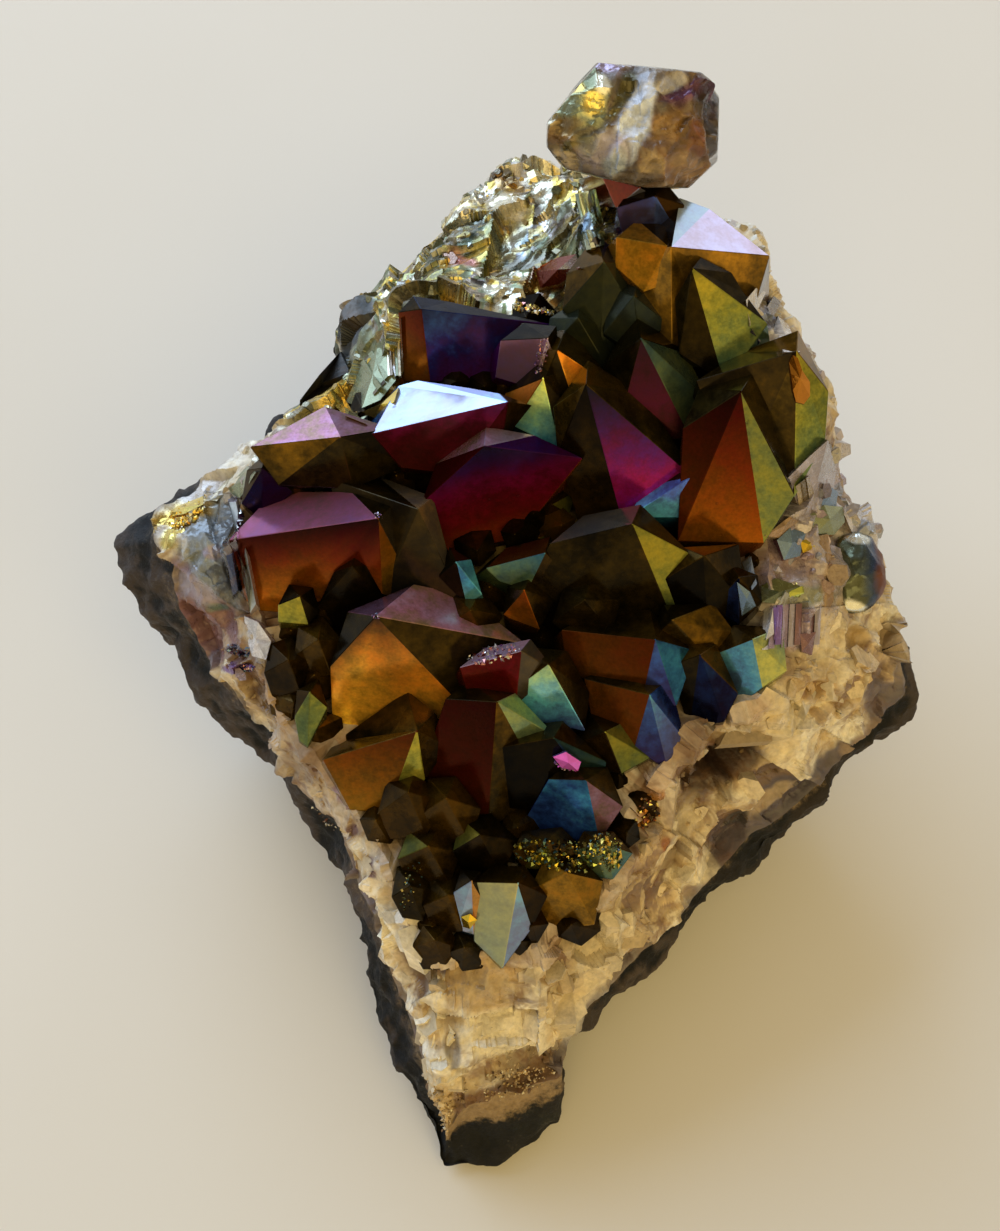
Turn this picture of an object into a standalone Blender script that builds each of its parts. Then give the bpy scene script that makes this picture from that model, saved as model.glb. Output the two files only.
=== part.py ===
"""A broken shard of a geode wall, its crystal side coated with a thin titanium film.

One stone: basalt rind below, a band of massive quartz over it, and quartz points grown
together on top. Everything is one closed solid, because the real thing grew as one piece.

Metres, +Z up. The shard rests on a flat patch of its rind at z = 0. The crystal side leans
back: it faces up and towards -Y. The origin is under the middle of the crystal side.

How it is laid out: a layout plane lies over the crystal side, square to SIGHT. A place is
given by X and Y on that plane, in units of GRID (X to the right, Y down towards the front
tip, CENTRE in the middle), and by the height in millimetres that it stands above the plane.
The plane is drawn in central projection from a sighting point SIGHT_DISTANCE above it, so
what stands higher is drawn in a little towards the middle.
"""
import math
import random

import bmesh
import bpy
from mathutils import Vector, noise

for old in list(bpy.data.objects):
    bpy.data.objects.remove(old, do_unlink=True)

# ---------------------------------------------------------------- driving dimensions
GRID = 0.00008  # one layout unit: 0.08 mm
CENTRE = (500.0, 615.5)  # layout position of the plane's middle
SIGHT_DISTANCE = 0.130  # sighting point above the layout plane
LEAN = math.radians(64.0)  # elevation of the crystal side's normal above the horizon
PLANE_HEIGHT = 0.0302  # height of the layout plane's middle above the resting face
MM = 0.001

ROOT_LEVEL = -5.0  # mm: how far down the crystals are rooted in the quartz band
FLOOR_LEVEL = -2.0  # mm: level of the quartz under the crystals
SPREAD = 1.10  # how far the pyramid faces run on past their drawn corners, into each other
REST_CENTRE = Vector((-0.0005, -0.0070, 0.0))  # middle of the flat resting patch
REST_SHARE = 0.60  # size of the resting patch, as a share of the rim around it
FRONT_REACH = 0.33  # how much further the patch reaches out at the front tip
SEED = 11

NORMAL = Vector((0.0, -math.cos(LEAN), math.sin(LEAN)))
ACROSS = Vector((1.0, 0.0, 0.0))
UPWARD = Vector((0.0, math.sin(LEAN), math.cos(LEAN)))
ORIGIN = Vector((0.0, 0.0, PLANE_HEIGHT))


def place(x, y, height):
    """World position of a layout point that stands height mm above the plane."""
    shrink = 1.0 - height * MM / SIGHT_DISTANCE
    u = (x - CENTRE[0]) * GRID * shrink
    v = (CENTRE[1] - y) * GRID * shrink
    return ORIGIN + ACROSS * u + UPWARD * v + NORMAL * (height * MM)


# ---------------------------------------------------------------- rind and quartz band
# Stations around the shard, clockwise from the front tip as seen from above. Each has the
# rim of the rind, the line where rind meets quartz, and the line where the crystals begin.
RIM = [
    ((443, 1168, -9.4), (445, 1140, -6.4), (434, 958, 0.5)),
    ((493, 1160, -9.5), (478, 1101, -5.0), (475, 946, 0.5)),
    ((558, 1124, -9.5), (559, 1081, -5.4), (520, 955, 0.5)),
    ((564, 1042, -9.2), (569, 1038, -7.6), (545, 945, 0.5)),
    ((590, 1015, -9.0), (586, 1008, -7.8), (566, 930, 0.5)),
    ((616, 988, -9.0), (610, 980, -7.8), (600, 900, 1.0)),
    ((646, 958, -9.0), (637, 947, -7.8), (622, 862, 1.0)),
    ((682, 921, -9.4), (674, 912, -7.8), (636, 824, 1.4)),
    ((718, 884, -9.5), (706, 868, -7.5), (652, 788, 1.8)),
    ((755, 858, -9.8), (737, 829, -7.5), (667, 765, 2.0)),
    ((785, 831, -10.0), (771, 803, -7.5), (680, 742, 2.0)),
    ((836, 775, -10.4), (820, 757, -7.5), (700, 720, 2.0)),
    ((875, 738, -10.8), (856, 721, -7.8), (735, 712, 2.0)),
    ((903, 718, -11.0), (885, 693, -8.0), (760, 703, 2.0)),
    ((916, 701, -11.0), (903, 676, -8.4), (776, 680, 2.0)),
    ((901, 650, -10.0), (894, 640, -7.8), (782, 655, 2.2)),
    ((892, 620, -9.4), (886, 612, -7.4), (778, 622, 2.6)),
    ((888, 586, -8.8), (881, 580, -6.4), (770, 592, 3.0)),
    ((884, 557, -8.0), (874, 552, -5.4), (768, 562, 3.0)),
    ((871, 531, -7.2), (860, 530, -4.4), (766, 532, 3.2)),
    ((849, 500, -6.6), (841, 500, -3.6), (776, 502, 3.4)),
    ((838, 465, -6.2), (831, 464, -2.8), (792, 480, 3.6)),
    ((833, 421, -6.0), (828, 420, -2.2), (806, 432, 4.0)),
    ((826, 380, -6.0), (820, 382, -2.0), (800, 386, 4.0)),
    ((800, 352, -6.2), (795, 354, -2.0), (776, 360, 4.0)),
    ((788, 322, -6.6), (782, 324, -2.2), (758, 334, 4.0)),
    ((775, 288, -7.0), (769, 291, -2.4), (744, 304, 4.0)),
    ((760, 258, -7.2), (754, 262, -2.6), (732, 276, 4.0)),
    ((735, 236, -7.6), (729, 241, -3.0), (704, 256, 3.8)),
    ((706, 215, -8.2), (701, 221, -3.2), (678, 244, 3.6)),
    ((681, 202, -9.0), (676, 210, -3.6), (652, 240, 3.0)),
    ((640, 188, -10.0), (640, 198, -4.2), (628, 240, 2.4)),
    ((602, 178, -11.2), (602, 190, -5.4), (606, 248, 1.8)),
    ((566, 172, -12.4), (566, 184, -6.6), (584, 268, 1.0)),
    ((532, 173, -13.2), (534, 188, -8.0), (562, 294, 0.4)),
    ((503, 172, -13.6), (505, 188, -8.6), (540, 312, 0.2)),
    ((481, 187, -13.6), (484, 203, -8.8), (502, 314, 0.2)),
    ((463, 199, -13.5), (466, 215, -8.8), (470, 310, 0.2)),
    ((440, 221, -13.3), (444, 237, -8.8), (442, 303, 0.2)),
    ((420, 240, -13.0), (426, 254, -8.6), (420, 303, 0.2)),
    ((400, 261, -12.8), (408, 274, -8.4), (408, 312, 0.2)),
    ((370, 296, -12.4), (381, 304, -8.0), (402, 342, 0.4)),
    ((345, 306, -12.2), (356, 318, -7.6), (400, 370, 0.6)),
    ((332, 333, -12.0), (345, 343, -7.2), (392, 394, 0.8)),
    ((339, 376, -11.6), (350, 380, -7.0), (378, 410, 1.0)),
    ((299, 407, -11.4), (312, 412, -6.6), (330, 414, 1.2)),
    ((270, 426, -11.0), (280, 431, -6.4), (292, 432, 1.2)),
    ((240, 456, -10.6), (248, 459, -6.0), (264, 452, 1.0)),
    ((200, 481, -10.2), (208, 484, -5.6), (250, 482, 1.0)),
    ((142, 515, -9.8), (156, 514, -5.0), (240, 512, 1.0)),
    ((116, 545, -9.2), (162, 540, -3.0), (232, 538, 1.0)),
    ((130, 581, -9.4), (172, 572, -3.4), (242, 570, 1.0)),
    ((141, 614, -9.8), (186, 612, -4.0), (254, 602, 0.8)),
    ((176, 631, -10.0), (202, 642, -5.0), (264, 636, 0.6)),
    ((190, 680, -10.0), (216, 673, -5.6), (264, 664, 0.6)),
    ((216, 706, -10.0), (240, 701, -6.0), (268, 700, 0.6)),
    ((270, 746, -10.0), (281, 738, -6.4), (300, 740, 0.6)),
    ((300, 790, -9.9), (309, 781, -6.4), (326, 770, 0.6)),
    ((330, 831, -9.8), (337, 824, -6.4), (352, 806, 0.6)),
    ((350, 880, -9.8), (357, 872, -6.4), (382, 850, 0.6)),
    ((360, 916, -9.8), (369, 906, -6.2), (396, 890, 0.6)),
    ((373, 1003, -9.7), (386, 962, -6.0), (408, 925, 0.6)),
    ((390, 1043, -9.6), (413, 1013, -6.0), (424, 944, 0.6)),
    ((408, 1082, -9.5), (427, 1074, -6.0), (430, 952, 0.5)),
    ((429, 1141, -9.4), (440, 1116, -6.0), (432, 956, 0.5)),
]

# ---------------------------------------------------------------- quartz points
# Each point: its tip, then the corners where its pyramid ends, clockwise. A corner's third
# number is how much it drops from the tip for each unit of distance; None puts the corner in
# the plane of the tip and the corners on both sides, so that the face stays flat.
N = None
POINTS = {
    "left_wedge": ((378, 518, 7.5), [(231, 538, 0.30), (279, 493, N), (354, 494, 1.2), (392, 505, 1.4), (400, 560, 1.0), (383, 612, 0.75), (253, 602, N)]),
    "left_ridge": ((418, 509, 6.8), [(336, 481, 0.45), (380, 478, 1.3), (432, 498, 1.4), (456, 590, 0.5), (420, 625, N), (375, 612, 0.62)]),
    "kite": ((376, 616, 7.6), [(334, 662, 0.75), (350, 612, 1.3), (411, 587, 1.0), (456, 596, N), (512, 641, 0.38), (458, 701, 0.55), (337, 746, N)]),
    "low_roof": ((417, 731, 5.6), [(331, 757, 0.30), (342, 741, 0.9), (408, 694, 1.0), (434, 714, 1.2), (446, 745, 1.2), (424, 776, 0.8), (390, 806, 0.65), (356, 803, N)]),
    "red_blade": ((497, 702, 7.0), [(450, 699, 0.40), (470, 682, 1.2), (514, 694, 1.2), (554, 736, 0.5), (545, 790, 0.75), (489, 816, 0.55), (427, 768, N)]),
    "teal_fin": ((548, 664, 6.6), [(513, 690, 0.55), (505, 665, 1.0), (528, 648, 1.2), (566, 652, 1.2), (586, 690, 0.8), (582, 725, 0.55), (538, 716, N)]),
    "chipped_red": ((521, 651, 7.4), [(465, 666, 0.35), (488, 648, 1.1), (530, 640, 1.2), (553, 670, 0.7), (516, 700, 0.7), (476, 701, N)]),
    "dark_low": ((554, 738, 6.2), [(497, 748, 0.35), (520, 727, 1.0), (562, 722, 1.2), (602, 760, 0.6), (596, 795, 0.7), (545, 802, 0.7), (497, 802, N)]),
    "blue_foot": ((586, 780, 5.6), [(552, 779, 0.35), (572, 762, 1.1), (606, 768, 1.2), (620, 804, 0.6), (598, 836, 0.75), (517, 838, N)]),
    "dark_crown": ((632, 524, 8.0), [(557, 542, 0.30), (588, 516, 1.2), (640, 506, 1.3), (688, 553, 0.45), (670, 615, 0.6), (622, 642, 0.7), (560, 624, 0.62), (532, 588, N)]),
    "olive_block": ((704, 556, 6.8), [(656, 584, 0.5), (684, 548, 0.9), (736, 545, 1.0), (742, 600, 0.65), (708, 620, 0.7), (668, 614, N)]),
    "bronze_stub": ((672, 620, 6.0), [(650, 640, 0.8), (664, 606, 1.2), (710, 605, 0.6), (730, 632, 0.5), (704, 654, 0.6), (668, 650, N)]),
    "rust_roof": ((656, 640, 6.8), [(570, 631, 0.32), (600, 612, 1.0), (650, 612, 1.2), (692, 650, 0.8), (675, 700, 0.62), (642, 702, 0.6), (575, 668, N)]),
    "violet_step": ((650, 695, 5.8), [(590, 680, 0.4), (620, 662, 1.0), (668, 680, 1.1), (682, 735, 0.7), (667, 764, 0.6), (636, 744, 0.6), (598, 722, N)]),
    "leaf": ((605, 732, 4.8), [(575, 745, 0.7), (590, 715, 1.1), (625, 722, 1.0), (646, 756, 0.5), (620, 770, 0.6), (596, 765, N)]),
    "blue_chip": ((739, 577, 5.6), [(722, 596, 0.8), (730, 565, 1.2), (756, 575, 1.0), (760, 600, 0.6), (739, 620, 0.6), (725, 612, N)]),
    "lime_chip": ((753, 639, 5.4), [(712, 655, 0.6), (735, 626, 1.0), (780, 628, 1.0), (784, 668, 0.65), (762, 683, 0.6), (723, 714, N)]),
    "night_chip": ((700, 655, 5.6), [(672, 665, 0.6), (688, 640, 1.0), (715, 645, 1.0), (735, 690, 0.6), (722, 716, 0.6), (690, 722, N)]),
    "magenta_blade": ((586, 384, 9.0), [(560, 448, 0.8), (556, 405, 1.1), (588, 362, 1.3), (640, 395, 1.0), (690, 474, 0.42), (622, 519, 0.55), (588, 538, N)]),
    "cyan_foot": ((691, 477, 5.8), [(633, 514, 0.3), (650, 485, 0.8), (690, 462, 1.1), (712, 480, 0.9), (706, 508, 0.7), (678, 514, N)]),
    "plum_spear": ((641, 338, 8.2), [(626, 396, 0.6), (606, 365, 1.1), (636, 312, 1.3), (682, 352, 1.0), (706, 398, 0.55), (686, 428, 0.55), (664, 432, N)]),
    "orange_spear": ((557, 350, 6.8), [(540, 392, 0.8), (528, 350, 1.2), (566, 328, 1.2), (618, 390, 0.42), (575, 404, 0.6), (556, 402, N)]),
    "green_wedge": ((543, 378, 6.4), [(515, 421, 0.65), (508, 392, 1.1), (535, 360, 1.2), (562, 372, 1.1), (578, 418, 0.8), (558, 442, 0.6)]),
    "purple_shield": ((484, 446, 8.2), [(427, 498, 0.5), (440, 462, 1.1), (486, 428, 1.2), (530, 436, 0.5), (574, 457, 0.36), (515, 530, N), (452, 544, N)]),
    "white_roof": ((508, 402, 8.4), [(384, 431, 0.22), (408, 387, 0.62), (426, 382, N), (473, 389, N), (500, 394, 0.83), (530, 405, 1.3), (502, 440, 1.0), (461, 468, 0.80), (411, 462, N)]),
    "navy_slab": ((421, 309, 5.5), [(400, 312, 0.9), (414, 297, 1.2), (446, 302, 1.0), (541, 323, 0.30), (489, 374, 0.52), (429, 375, 0.62), (405, 375, N)]),
    "pink_step": ((548, 338, 6.6), [(505, 340, 0.3), (526, 324, 1.1), (556, 327, 1.2), (560, 372, 0.8), (534, 384, 0.7), (500, 374, N)]),
    "pink_tent": ((340, 437, 7.0), [(258, 446, 0.28), (326, 409, 0.9), (388, 429, 0.4), (404, 462, 0.7), (352, 484, 0.8), (284, 481, 0.58)]),
    "indigo_chip": ((262, 468, 4.2), [(243, 500, 0.8), (248, 470, 1.0), (268, 452, 1.2), (290, 490, 0.6), (262, 515, 0.7)]),
    "cyan_chip": ((456, 562, 5.6), [(440, 575, 1.0), (450, 548, 1.1), (470, 560, 1.0), (480, 592, 0.5), (465, 600, 0.7)]),
    "teal_chip": ((545, 553, 5.8), [(491, 567, 0.35), (510, 548, 1.0), (550, 538, 1.2), (562, 570, 0.8), (529, 586, 0.7), (504, 579, N)]),
    "orange_chip": ((524, 590, 5.2), [(505, 612, 0.8), (508, 588, 1.1), (530, 575, 1.2), (552, 600, 0.8), (538, 626, 0.6), (511, 616, N)]),
    "yellow_chip": ((300, 596, 4.4), [(280, 604, 0.5), (290, 585, 1.1), (312, 588, 1.1), (318, 610, 0.7), (308, 622, 0.6), (280, 620, N)]),
    "slim_chip": ((310, 692, 4.0), [(296, 715, 0.7), (298, 690, 1.1), (318, 680, 1.1), (326, 706, 0.6), (308, 742, 0.5), (300, 736, N)]),
    "red_spire": ((741, 391, 10.0), [(688, 425, 0.5), (703, 388, 1.1), (755, 370, 1.3), (790, 486, 0.42), (762, 530, 0.52), (683, 528, 0.52)]),
    "east_spire": ((797, 351, 9.5), [(705, 378, 0.32), (745, 352, 0.9), (800, 332, 1.3), (838, 390, 0.7), (832, 428, 0.6), (795, 484, 0.42), (742, 476, 0.55)]),
    "lavender_roof": ((671, 247, 9.5), [(679, 202, 0.85), (706, 212, N), (761, 255, 0.42), (750, 293, 0.6), (706, 340, 0.7), (672, 352, 0.6), (640, 294, 0.8), (636, 252, 1.1)]),
    "green_spear": ((692, 268, 9.8), [(676, 296, 1.0), (680, 346, 0.62), (722, 373, 0.50), (761, 319, 0.42), (739, 290, 0.6), (728, 272, 0.8), (700, 258, 1.2)]),
    "amber_break": ((668, 246, 9.2), [(621, 238, 0.35), (640, 222, 1.0), (672, 228, 1.2), (690, 262, 1.0), (667, 281, 0.7), (646, 288, 0.6), (620, 265, N)]),
    "navy_block": ((655, 196, 8.2), [(620, 207, 0.4), (632, 190, 1.0), (665, 184, 1.2), (682, 204, 0.6), (676, 230, 0.7), (655, 240, 0.7), (626, 235, N)]),
    "maroon_chip": ((640, 188, 7.5), [(604, 174, 0.4), (625, 165, 1.0), (650, 170, 1.2), (660, 200, 0.8), (618, 206, 0.6)]),
    "grey_gable": ((604, 262, 7.6), [(566, 305, 0.6), (570, 272, 1.0), (596, 238, 1.3), (634, 262, 1.0), (646, 330, 0.55), (600, 348, 0.6)]),
    "grey_spear": ((634, 296, 7.4), [(606, 330, 0.7), (612, 290, 1.1), (640, 272, 1.2), (664, 320, 0.6), (640, 352, 0.7)]),
    "grey_stub": ((578, 318, 5.8), [(548, 350, 0.7), (552, 318, 1.1), (580, 300, 1.2), (612, 330, 0.8), (610, 372, 0.6), (575, 365, N)]),
    "low_a": ((408, 792, 4.6), [(380, 812, 0.8), (388, 782, 1.1), (415, 772, 1.2), (440, 800, 0.8), (425, 832, 0.6), (392, 835, N)]),
    "low_b": ((446, 798, 4.8), [(420, 815, 0.8), (430, 780, 1.1), (455, 778, 1.2), (478, 808, 0.7), (468, 840, 0.6), (432, 838, N)]),
    "low_c": ((480, 835, 4.4), [(455, 850, 0.8), (462, 820, 1.1), (490, 815, 1.2), (515, 840, 0.7), (500, 872, 0.6), (466, 872, N)]),
    "low_d": ((428, 846, 3.8), [(400, 858, 0.7), (410, 832, 1.1), (438, 828, 1.2), (458, 852, 0.7), (448, 882, 0.6), (412, 885, N)]),
    "low_e": ((410, 886, 3.0), [(393, 896, 0.7), (398, 868, 1.1), (418, 865, 1.2), (432, 890, 0.7), (422, 918, 0.6), (403, 915, N)]),
    "low_f": ((448, 895, 3.4), [(425, 905, 0.7), (432, 878, 1.1), (455, 874, 1.2), (472, 895, 0.7), (462, 928, 0.6), (436, 932, N)]),
    "pale_tooth": ((518, 883, 4.8), [(477, 882, 0.35), (495, 866, 1.0), (525, 868, 1.2), (545, 895, 0.9), (531, 924, 0.65), (504, 961, 0.5), (478, 936, N)]),
    "pale_chip": ((472, 881, 4.2), [(455, 892, 0.6), (462, 870, 1.1), (480, 872, 1.1), (486, 905, 0.7), (474, 930, 0.6), (458, 925, N)]),
    "amber_knot": ((566, 872, 4.2), [(532, 890, 0.6), (545, 862, 1.0), (575, 855, 1.2), (600, 880, 0.8), (592, 920, 0.7), (552, 926, N)]),
    "crumb_a": ((545, 842, 4.4), [(515, 850, 0.8), (525, 832, 1.1), (560, 828, 1.2), (580, 848, 0.8), (560, 868, 0.7), (525, 866, N)]),
    "crumb_b": ((600, 842, 4.2), [(575, 850, 0.8), (585, 832, 1.1), (612, 832, 1.2), (630, 852, 0.8), (612, 876, 0.7), (580, 872, N)]),
    "mid_a": ((470, 610, 4.8), [(445, 625, 0.8), (455, 595, 1.1), (480, 590, 1.2), (500, 615, 0.8), (485, 640, 0.7), (455, 645, N)]),
    "mid_b": ((318, 640, 4.4), [(296, 655, 0.8), (300, 628, 1.1), (322, 618, 1.2), (340, 640, 0.8), (330, 672, 0.7), (302, 676, N)]),
    "mid_c": ((288, 660, 3.8), [(266, 672, 0.8), (272, 645, 1.1), (292, 638, 1.2), (308, 660, 0.8), (300, 690, 0.7), (274, 695, N)]),
    "mid_d": ((585, 600, 6.0), [(555, 620, 0.8), (565, 590, 1.1), (590, 580, 1.2), (618, 600, 0.8), (610, 630, 0.7), (572, 635, N)]),
    "mid_e": ((352, 566, 5.6), [(322, 600, 0.7), (335, 572, 1.1), (356, 552, 1.2), (384, 566, 1.0), (384, 606, 0.7), (345, 632, N)]),
}

# Small points that fill the gaps between the big ones: their spacing on the layout plane,
# the range of their half widths, and the range of their tip levels in mm.
FILL_SPACING = 28.0
FILL_HALF_WIDTH = (17.0, 25.0)
FILL_LEVEL = (0.8, 3.0)

# ---------------------------------------------------------------- broken knob at the top
# Slices of the big broken crystal that stands over the top end, lowest first: its middle,
# half width and half height in layout units, and its level in mm.
KNOB = [
    (646, 226, 30, 20, -4.6),
    (646, 208, 38, 24, -1.0),
    (644, 180, 50, 34, 2.0),
    (638, 146, 74, 48, 4.2),
    (634, 126, 86, 60, 6.4),
    (632, 123, 87, 62, 9.0),
    (630, 121, 74, 52, 11.2),
    (627, 119, 48, 34, 12.4),
]
KNOB_SIDES = 12


def pyramid(tip, corners):
    """World positions of a point's tip and of the corners of its pyramid."""
    apex = place(*tip)
    ring = []
    for x, y, drop in corners:
        far = math.hypot(x - tip[0], y - tip[1]) * GRID / MM
        ring.append(None if drop is None else place(x, y, tip[2] - drop * far))
    count = len(ring)
    known = [i for i in range(count) if ring[i] is not None]
    eye = ORIGIN + NORMAL * SIGHT_DISTANCE
    flat_corners = [p for p in ring]
    for i in range(count):
        if ring[i] is not None:
            continue
        before = max((k - count if k > i else k) for k in known) % count
        after = min((k + count if k < i else k) for k in known) % count
        face = (ring[before] - apex).cross(ring[after] - apex)
        sight = place(corners[i][0], corners[i][1], 0.0) - eye
        flat_corners[i] = eye + sight * ((apex - eye).dot(face) / sight.dot(face))
    return apex, [apex + (p - apex) * SPREAD for p in flat_corners]


def inside(x, y, outline):
    """Whether a layout point lies inside an outline."""
    hit = False
    for i in range(len(outline)):
        x1, y1 = outline[i][:2]
        x2, y2 = outline[i - 1][:2]
        if (y1 > y) != (y2 > y) and x < (x2 - x1) * (y - y1) / (y2 - y1) + x1:
            hit = not hit
    return hit


def filler_points():
    """Six-sided points on a jittered grid, wherever no big point already stands."""
    rng = random.Random(SEED)
    edge = [s[2] for s in RIM]
    found = []
    row = 0
    y = min(p[1] for p in edge)
    while y < max(p[1] for p in edge):
        x = min(p[0] for p in edge) + (row % 2) * FILL_SPACING / 2.0
        while x < max(p[0] for p in edge):
            px = x + rng.uniform(-0.3, 0.3) * FILL_SPACING
            py = y + rng.uniform(-0.3, 0.3) * FILL_SPACING
            half = rng.uniform(*FILL_HALF_WIDTH)
            level = rng.uniform(*FILL_LEVEL)
            spin = rng.uniform(0.0, 60.0)
            tilt = rng.uniform(0.0, 360.0)
            x += FILL_SPACING
            if not inside(px, py, edge) or any(inside(px, py, c) for _, c in POINTS.values()):
                continue
            off = half * 0.3
            corners = []
            for k in range(6):
                a = math.radians(spin - 60.0 * k)
                cx = px + half * math.cos(a) + off * math.cos(math.radians(tilt))
                cy = py - half * math.sin(a) - off * math.sin(math.radians(tilt))
                corners.append((cx, cy, 0.95))
            found.append(((px, py, level), corners))
        y += FILL_SPACING * 0.87
        row += 1
    return found


def new_object(name, verts, faces, material, helper=False):
    mesh = bpy.data.meshes.new(name)
    mesh.from_pydata([tuple(v) for v in verts], [], faces)
    mesh.update()
    obj = bpy.data.objects.new(name, mesh)
    bpy.context.scene.collection.objects.link(obj)
    if material is not None:
        mesh.materials.append(material)
    bm = bmesh.new()
    bm.from_mesh(mesh)
    bmesh.ops.recalc_face_normals(bm, faces=bm.faces)
    bm.to_mesh(mesh)
    bm.free()
    if helper:
        obj.hide_render = True
        obj.display_type = "WIRE"
    return obj


def finish(name, colour, roughness, metallic):
    material = bpy.data.materials.new(name)
    material.use_nodes = True
    shader = material.node_tree.nodes["Principled BSDF"]
    shader.inputs["Base Color"].default_value = (*colour, 1.0)
    shader.inputs["Roughness"].default_value = roughness
    shader.inputs["Metallic"].default_value = metallic
    return material


def lerp(a, b, t):
    return a + (b - a) * t


def rough(point, size, amount):
    """A small seeded push, the same on every run."""
    q = point / size + Vector((SEED, SEED * 2.0, SEED * 3.0))
    return noise.noise_vector(q) * amount


def matrix_mesh():
    """Rind and quartz band: rings of stations from the resting patch up to the crystals."""
    rim = [place(*s[0]) for s in RIM]
    seam = [place(*s[1]) for s in RIM]
    edge = [place(*s[2]) for s in RIM]
    tip = min(rim, key=lambda p: p.y)
    count = len(RIM)

    patch, skirt, belly = [], [], []
    for p in rim:
        near_tip = math.exp(-((p - tip).length / 0.015) ** 2)
        share = REST_SHARE + FRONT_REACH * near_tip
        foot = REST_CENTRE + (Vector((p.x, p.y, 0.0)) - REST_CENTRE) * share
        foot.z = 0.0
        patch.append(foot)
        out = Vector((p.x - REST_CENTRE.x, p.y - REST_CENTRE.y, 0.0)).normalized()
        low = lerp(foot, p, 0.38) + out * (0.0022 * (1.0 - near_tip)) + rough(p, 0.009, 0.0012 * (1.0 - near_tip))
        low.z = max(low.z, 0.0006)
        skirt.append(low)
        mid = lerp(foot, p, 0.76) + out * (0.0020 * (1.0 - near_tip)) + rough(p, 0.006, 0.0009 * (1.0 - near_tip))
        mid.z = max(mid.z, 0.0009)
        belly.append(mid)

    band = [lerp(a, b, 0.5) + NORMAL * 0.0006 + rough(a, 0.004, 0.0006) for a, b in zip(seam, edge)]
    heart = sum(edge, Vector()) / count
    hollow = []
    for p in edge:
        q = lerp(p, heart, 0.22)
        high = (q - ORIGIN).dot(NORMAL)
        hollow.append(q + NORMAL * (FLOOR_LEVEL * MM - high))
    inner = []
    for p in edge:
        q = lerp(p, heart, 0.62)
        high = (q - ORIGIN).dot(NORMAL)
        inner.append(q + NORMAL * ((FLOOR_LEVEL - 0.4) * MM - high))

    rings = [patch, skirt, belly, rim, seam, band, edge, hollow, inner]
    verts = [v for ring in rings for v in ring]
    faces = [tuple(range(count))]
    for r in range(len(rings) - 1):
        for i in range(count):
            j = (i + 1) % count
            faces.append((r * count + i, r * count + j, (r + 1) * count + j, (r + 1) * count + i))
    top = len(verts)
    middle = sum(inner, Vector()) / count
    verts.append(middle)
    last = (len(rings) - 1) * count
    for i in range(count):
        faces.append((last + i, last + (i + 1) % count, top))
    return verts, faces


def point_mesh(tip, corners):
    """One quartz point: a pyramid over a prism that narrows a little into the band."""
    apex, ring = pyramid(tip, corners)
    middle = sum(ring, Vector()) / len(ring)
    axis = ((apex - middle).normalized() + NORMAL).normalized()
    drop = ((middle - ORIGIN).dot(NORMAL) - ROOT_LEVEL * MM) / axis.dot(NORMAL)
    root = []
    for p in ring:
        down = ((p - ORIGIN).dot(NORMAL) - ROOT_LEVEL * MM) / axis.dot(NORMAL)
        q = p - axis * max(down, 0.0004)
        home = middle - axis * drop
        root.append(home + (q - home) * 0.82)
    count = len(ring)
    verts = [apex] + ring + root
    faces = []
    for i in range(count):
        j = (i + 1) % count
        faces.append((0, 1 + i, 1 + j))
        faces.append((1 + i, 1 + count + i, 1 + count + j, 1 + j))
    faces.append(tuple(range(1 + count, 1 + 2 * count)))
    return verts, faces


def knob_mesh():
    """The broken knob: stacked uneven slices, closed at both ends."""
    rng = random.Random(SEED)
    verts, faces = [], []
    swing = [rng.uniform(-0.07, 0.07) for _ in range(KNOB_SIDES)]
    for cx, cy, half_w, half_h, level in KNOB:
        for k in range(KNOB_SIDES):
            angle = 2.0 * math.pi * (k + 0.5) / KNOB_SIDES
            reach = 1.0 + swing[k] + rng.uniform(-0.04, 0.04)
            square = 1.0 / max(abs(math.cos(angle)), abs(math.sin(angle)))
            reach *= 1.0 + 0.35 * (square - 1.0)
            verts.append(place(cx + half_w * reach * math.cos(angle), cy - half_h * reach * math.sin(angle), level + rng.uniform(-0.2, 0.2)))
    faces.append(tuple(range(KNOB_SIDES)))
    for r in range(len(KNOB) - 1):
        for i in range(KNOB_SIDES):
            j = (i + 1) % KNOB_SIDES
            faces.append((r * KNOB_SIDES + i, r * KNOB_SIDES + j, (r + 1) * KNOB_SIDES + j, (r + 1) * KNOB_SIDES + i))
    faces.append(tuple(range((len(KNOB) - 1) * KNOB_SIDES, len(KNOB) * KNOB_SIDES)))
    return verts, faces


def build():
    stone = finish("coated_quartz_on_basalt", (0.20, 0.15, 0.08), 0.35, 0.0)
    shard = new_object("druzy_shard", *matrix_mesh(), stone)
    grown = bpy.data.collections.new("grown_points")
    bpy.context.scene.collection.children.link(grown)
    helpers = [new_object("point_" + name, *point_mesh(tip, corners), None, helper=True) for name, (tip, corners) in POINTS.items()]
    helpers += [new_object("filler_%02d" % i, *point_mesh(tip, corners), None, helper=True) for i, (tip, corners) in enumerate(filler_points())]
    helpers.append(new_object("point_knob", *knob_mesh(), None, helper=True))
    for obj in helpers:
        bpy.context.scene.collection.objects.unlink(obj)
        grown.objects.link(obj)
    join = shard.modifiers.new("grown together", "BOOLEAN")
    join.operation = "UNION"
    join.solver = "EXACT"
    join.operand_type = "COLLECTION"
    join.collection = grown
    keep_outer_skin(shard)
    for obj in helpers:
        bpy.data.objects.remove(obj, do_unlink=True)
    bpy.data.collections.remove(grown)


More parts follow.
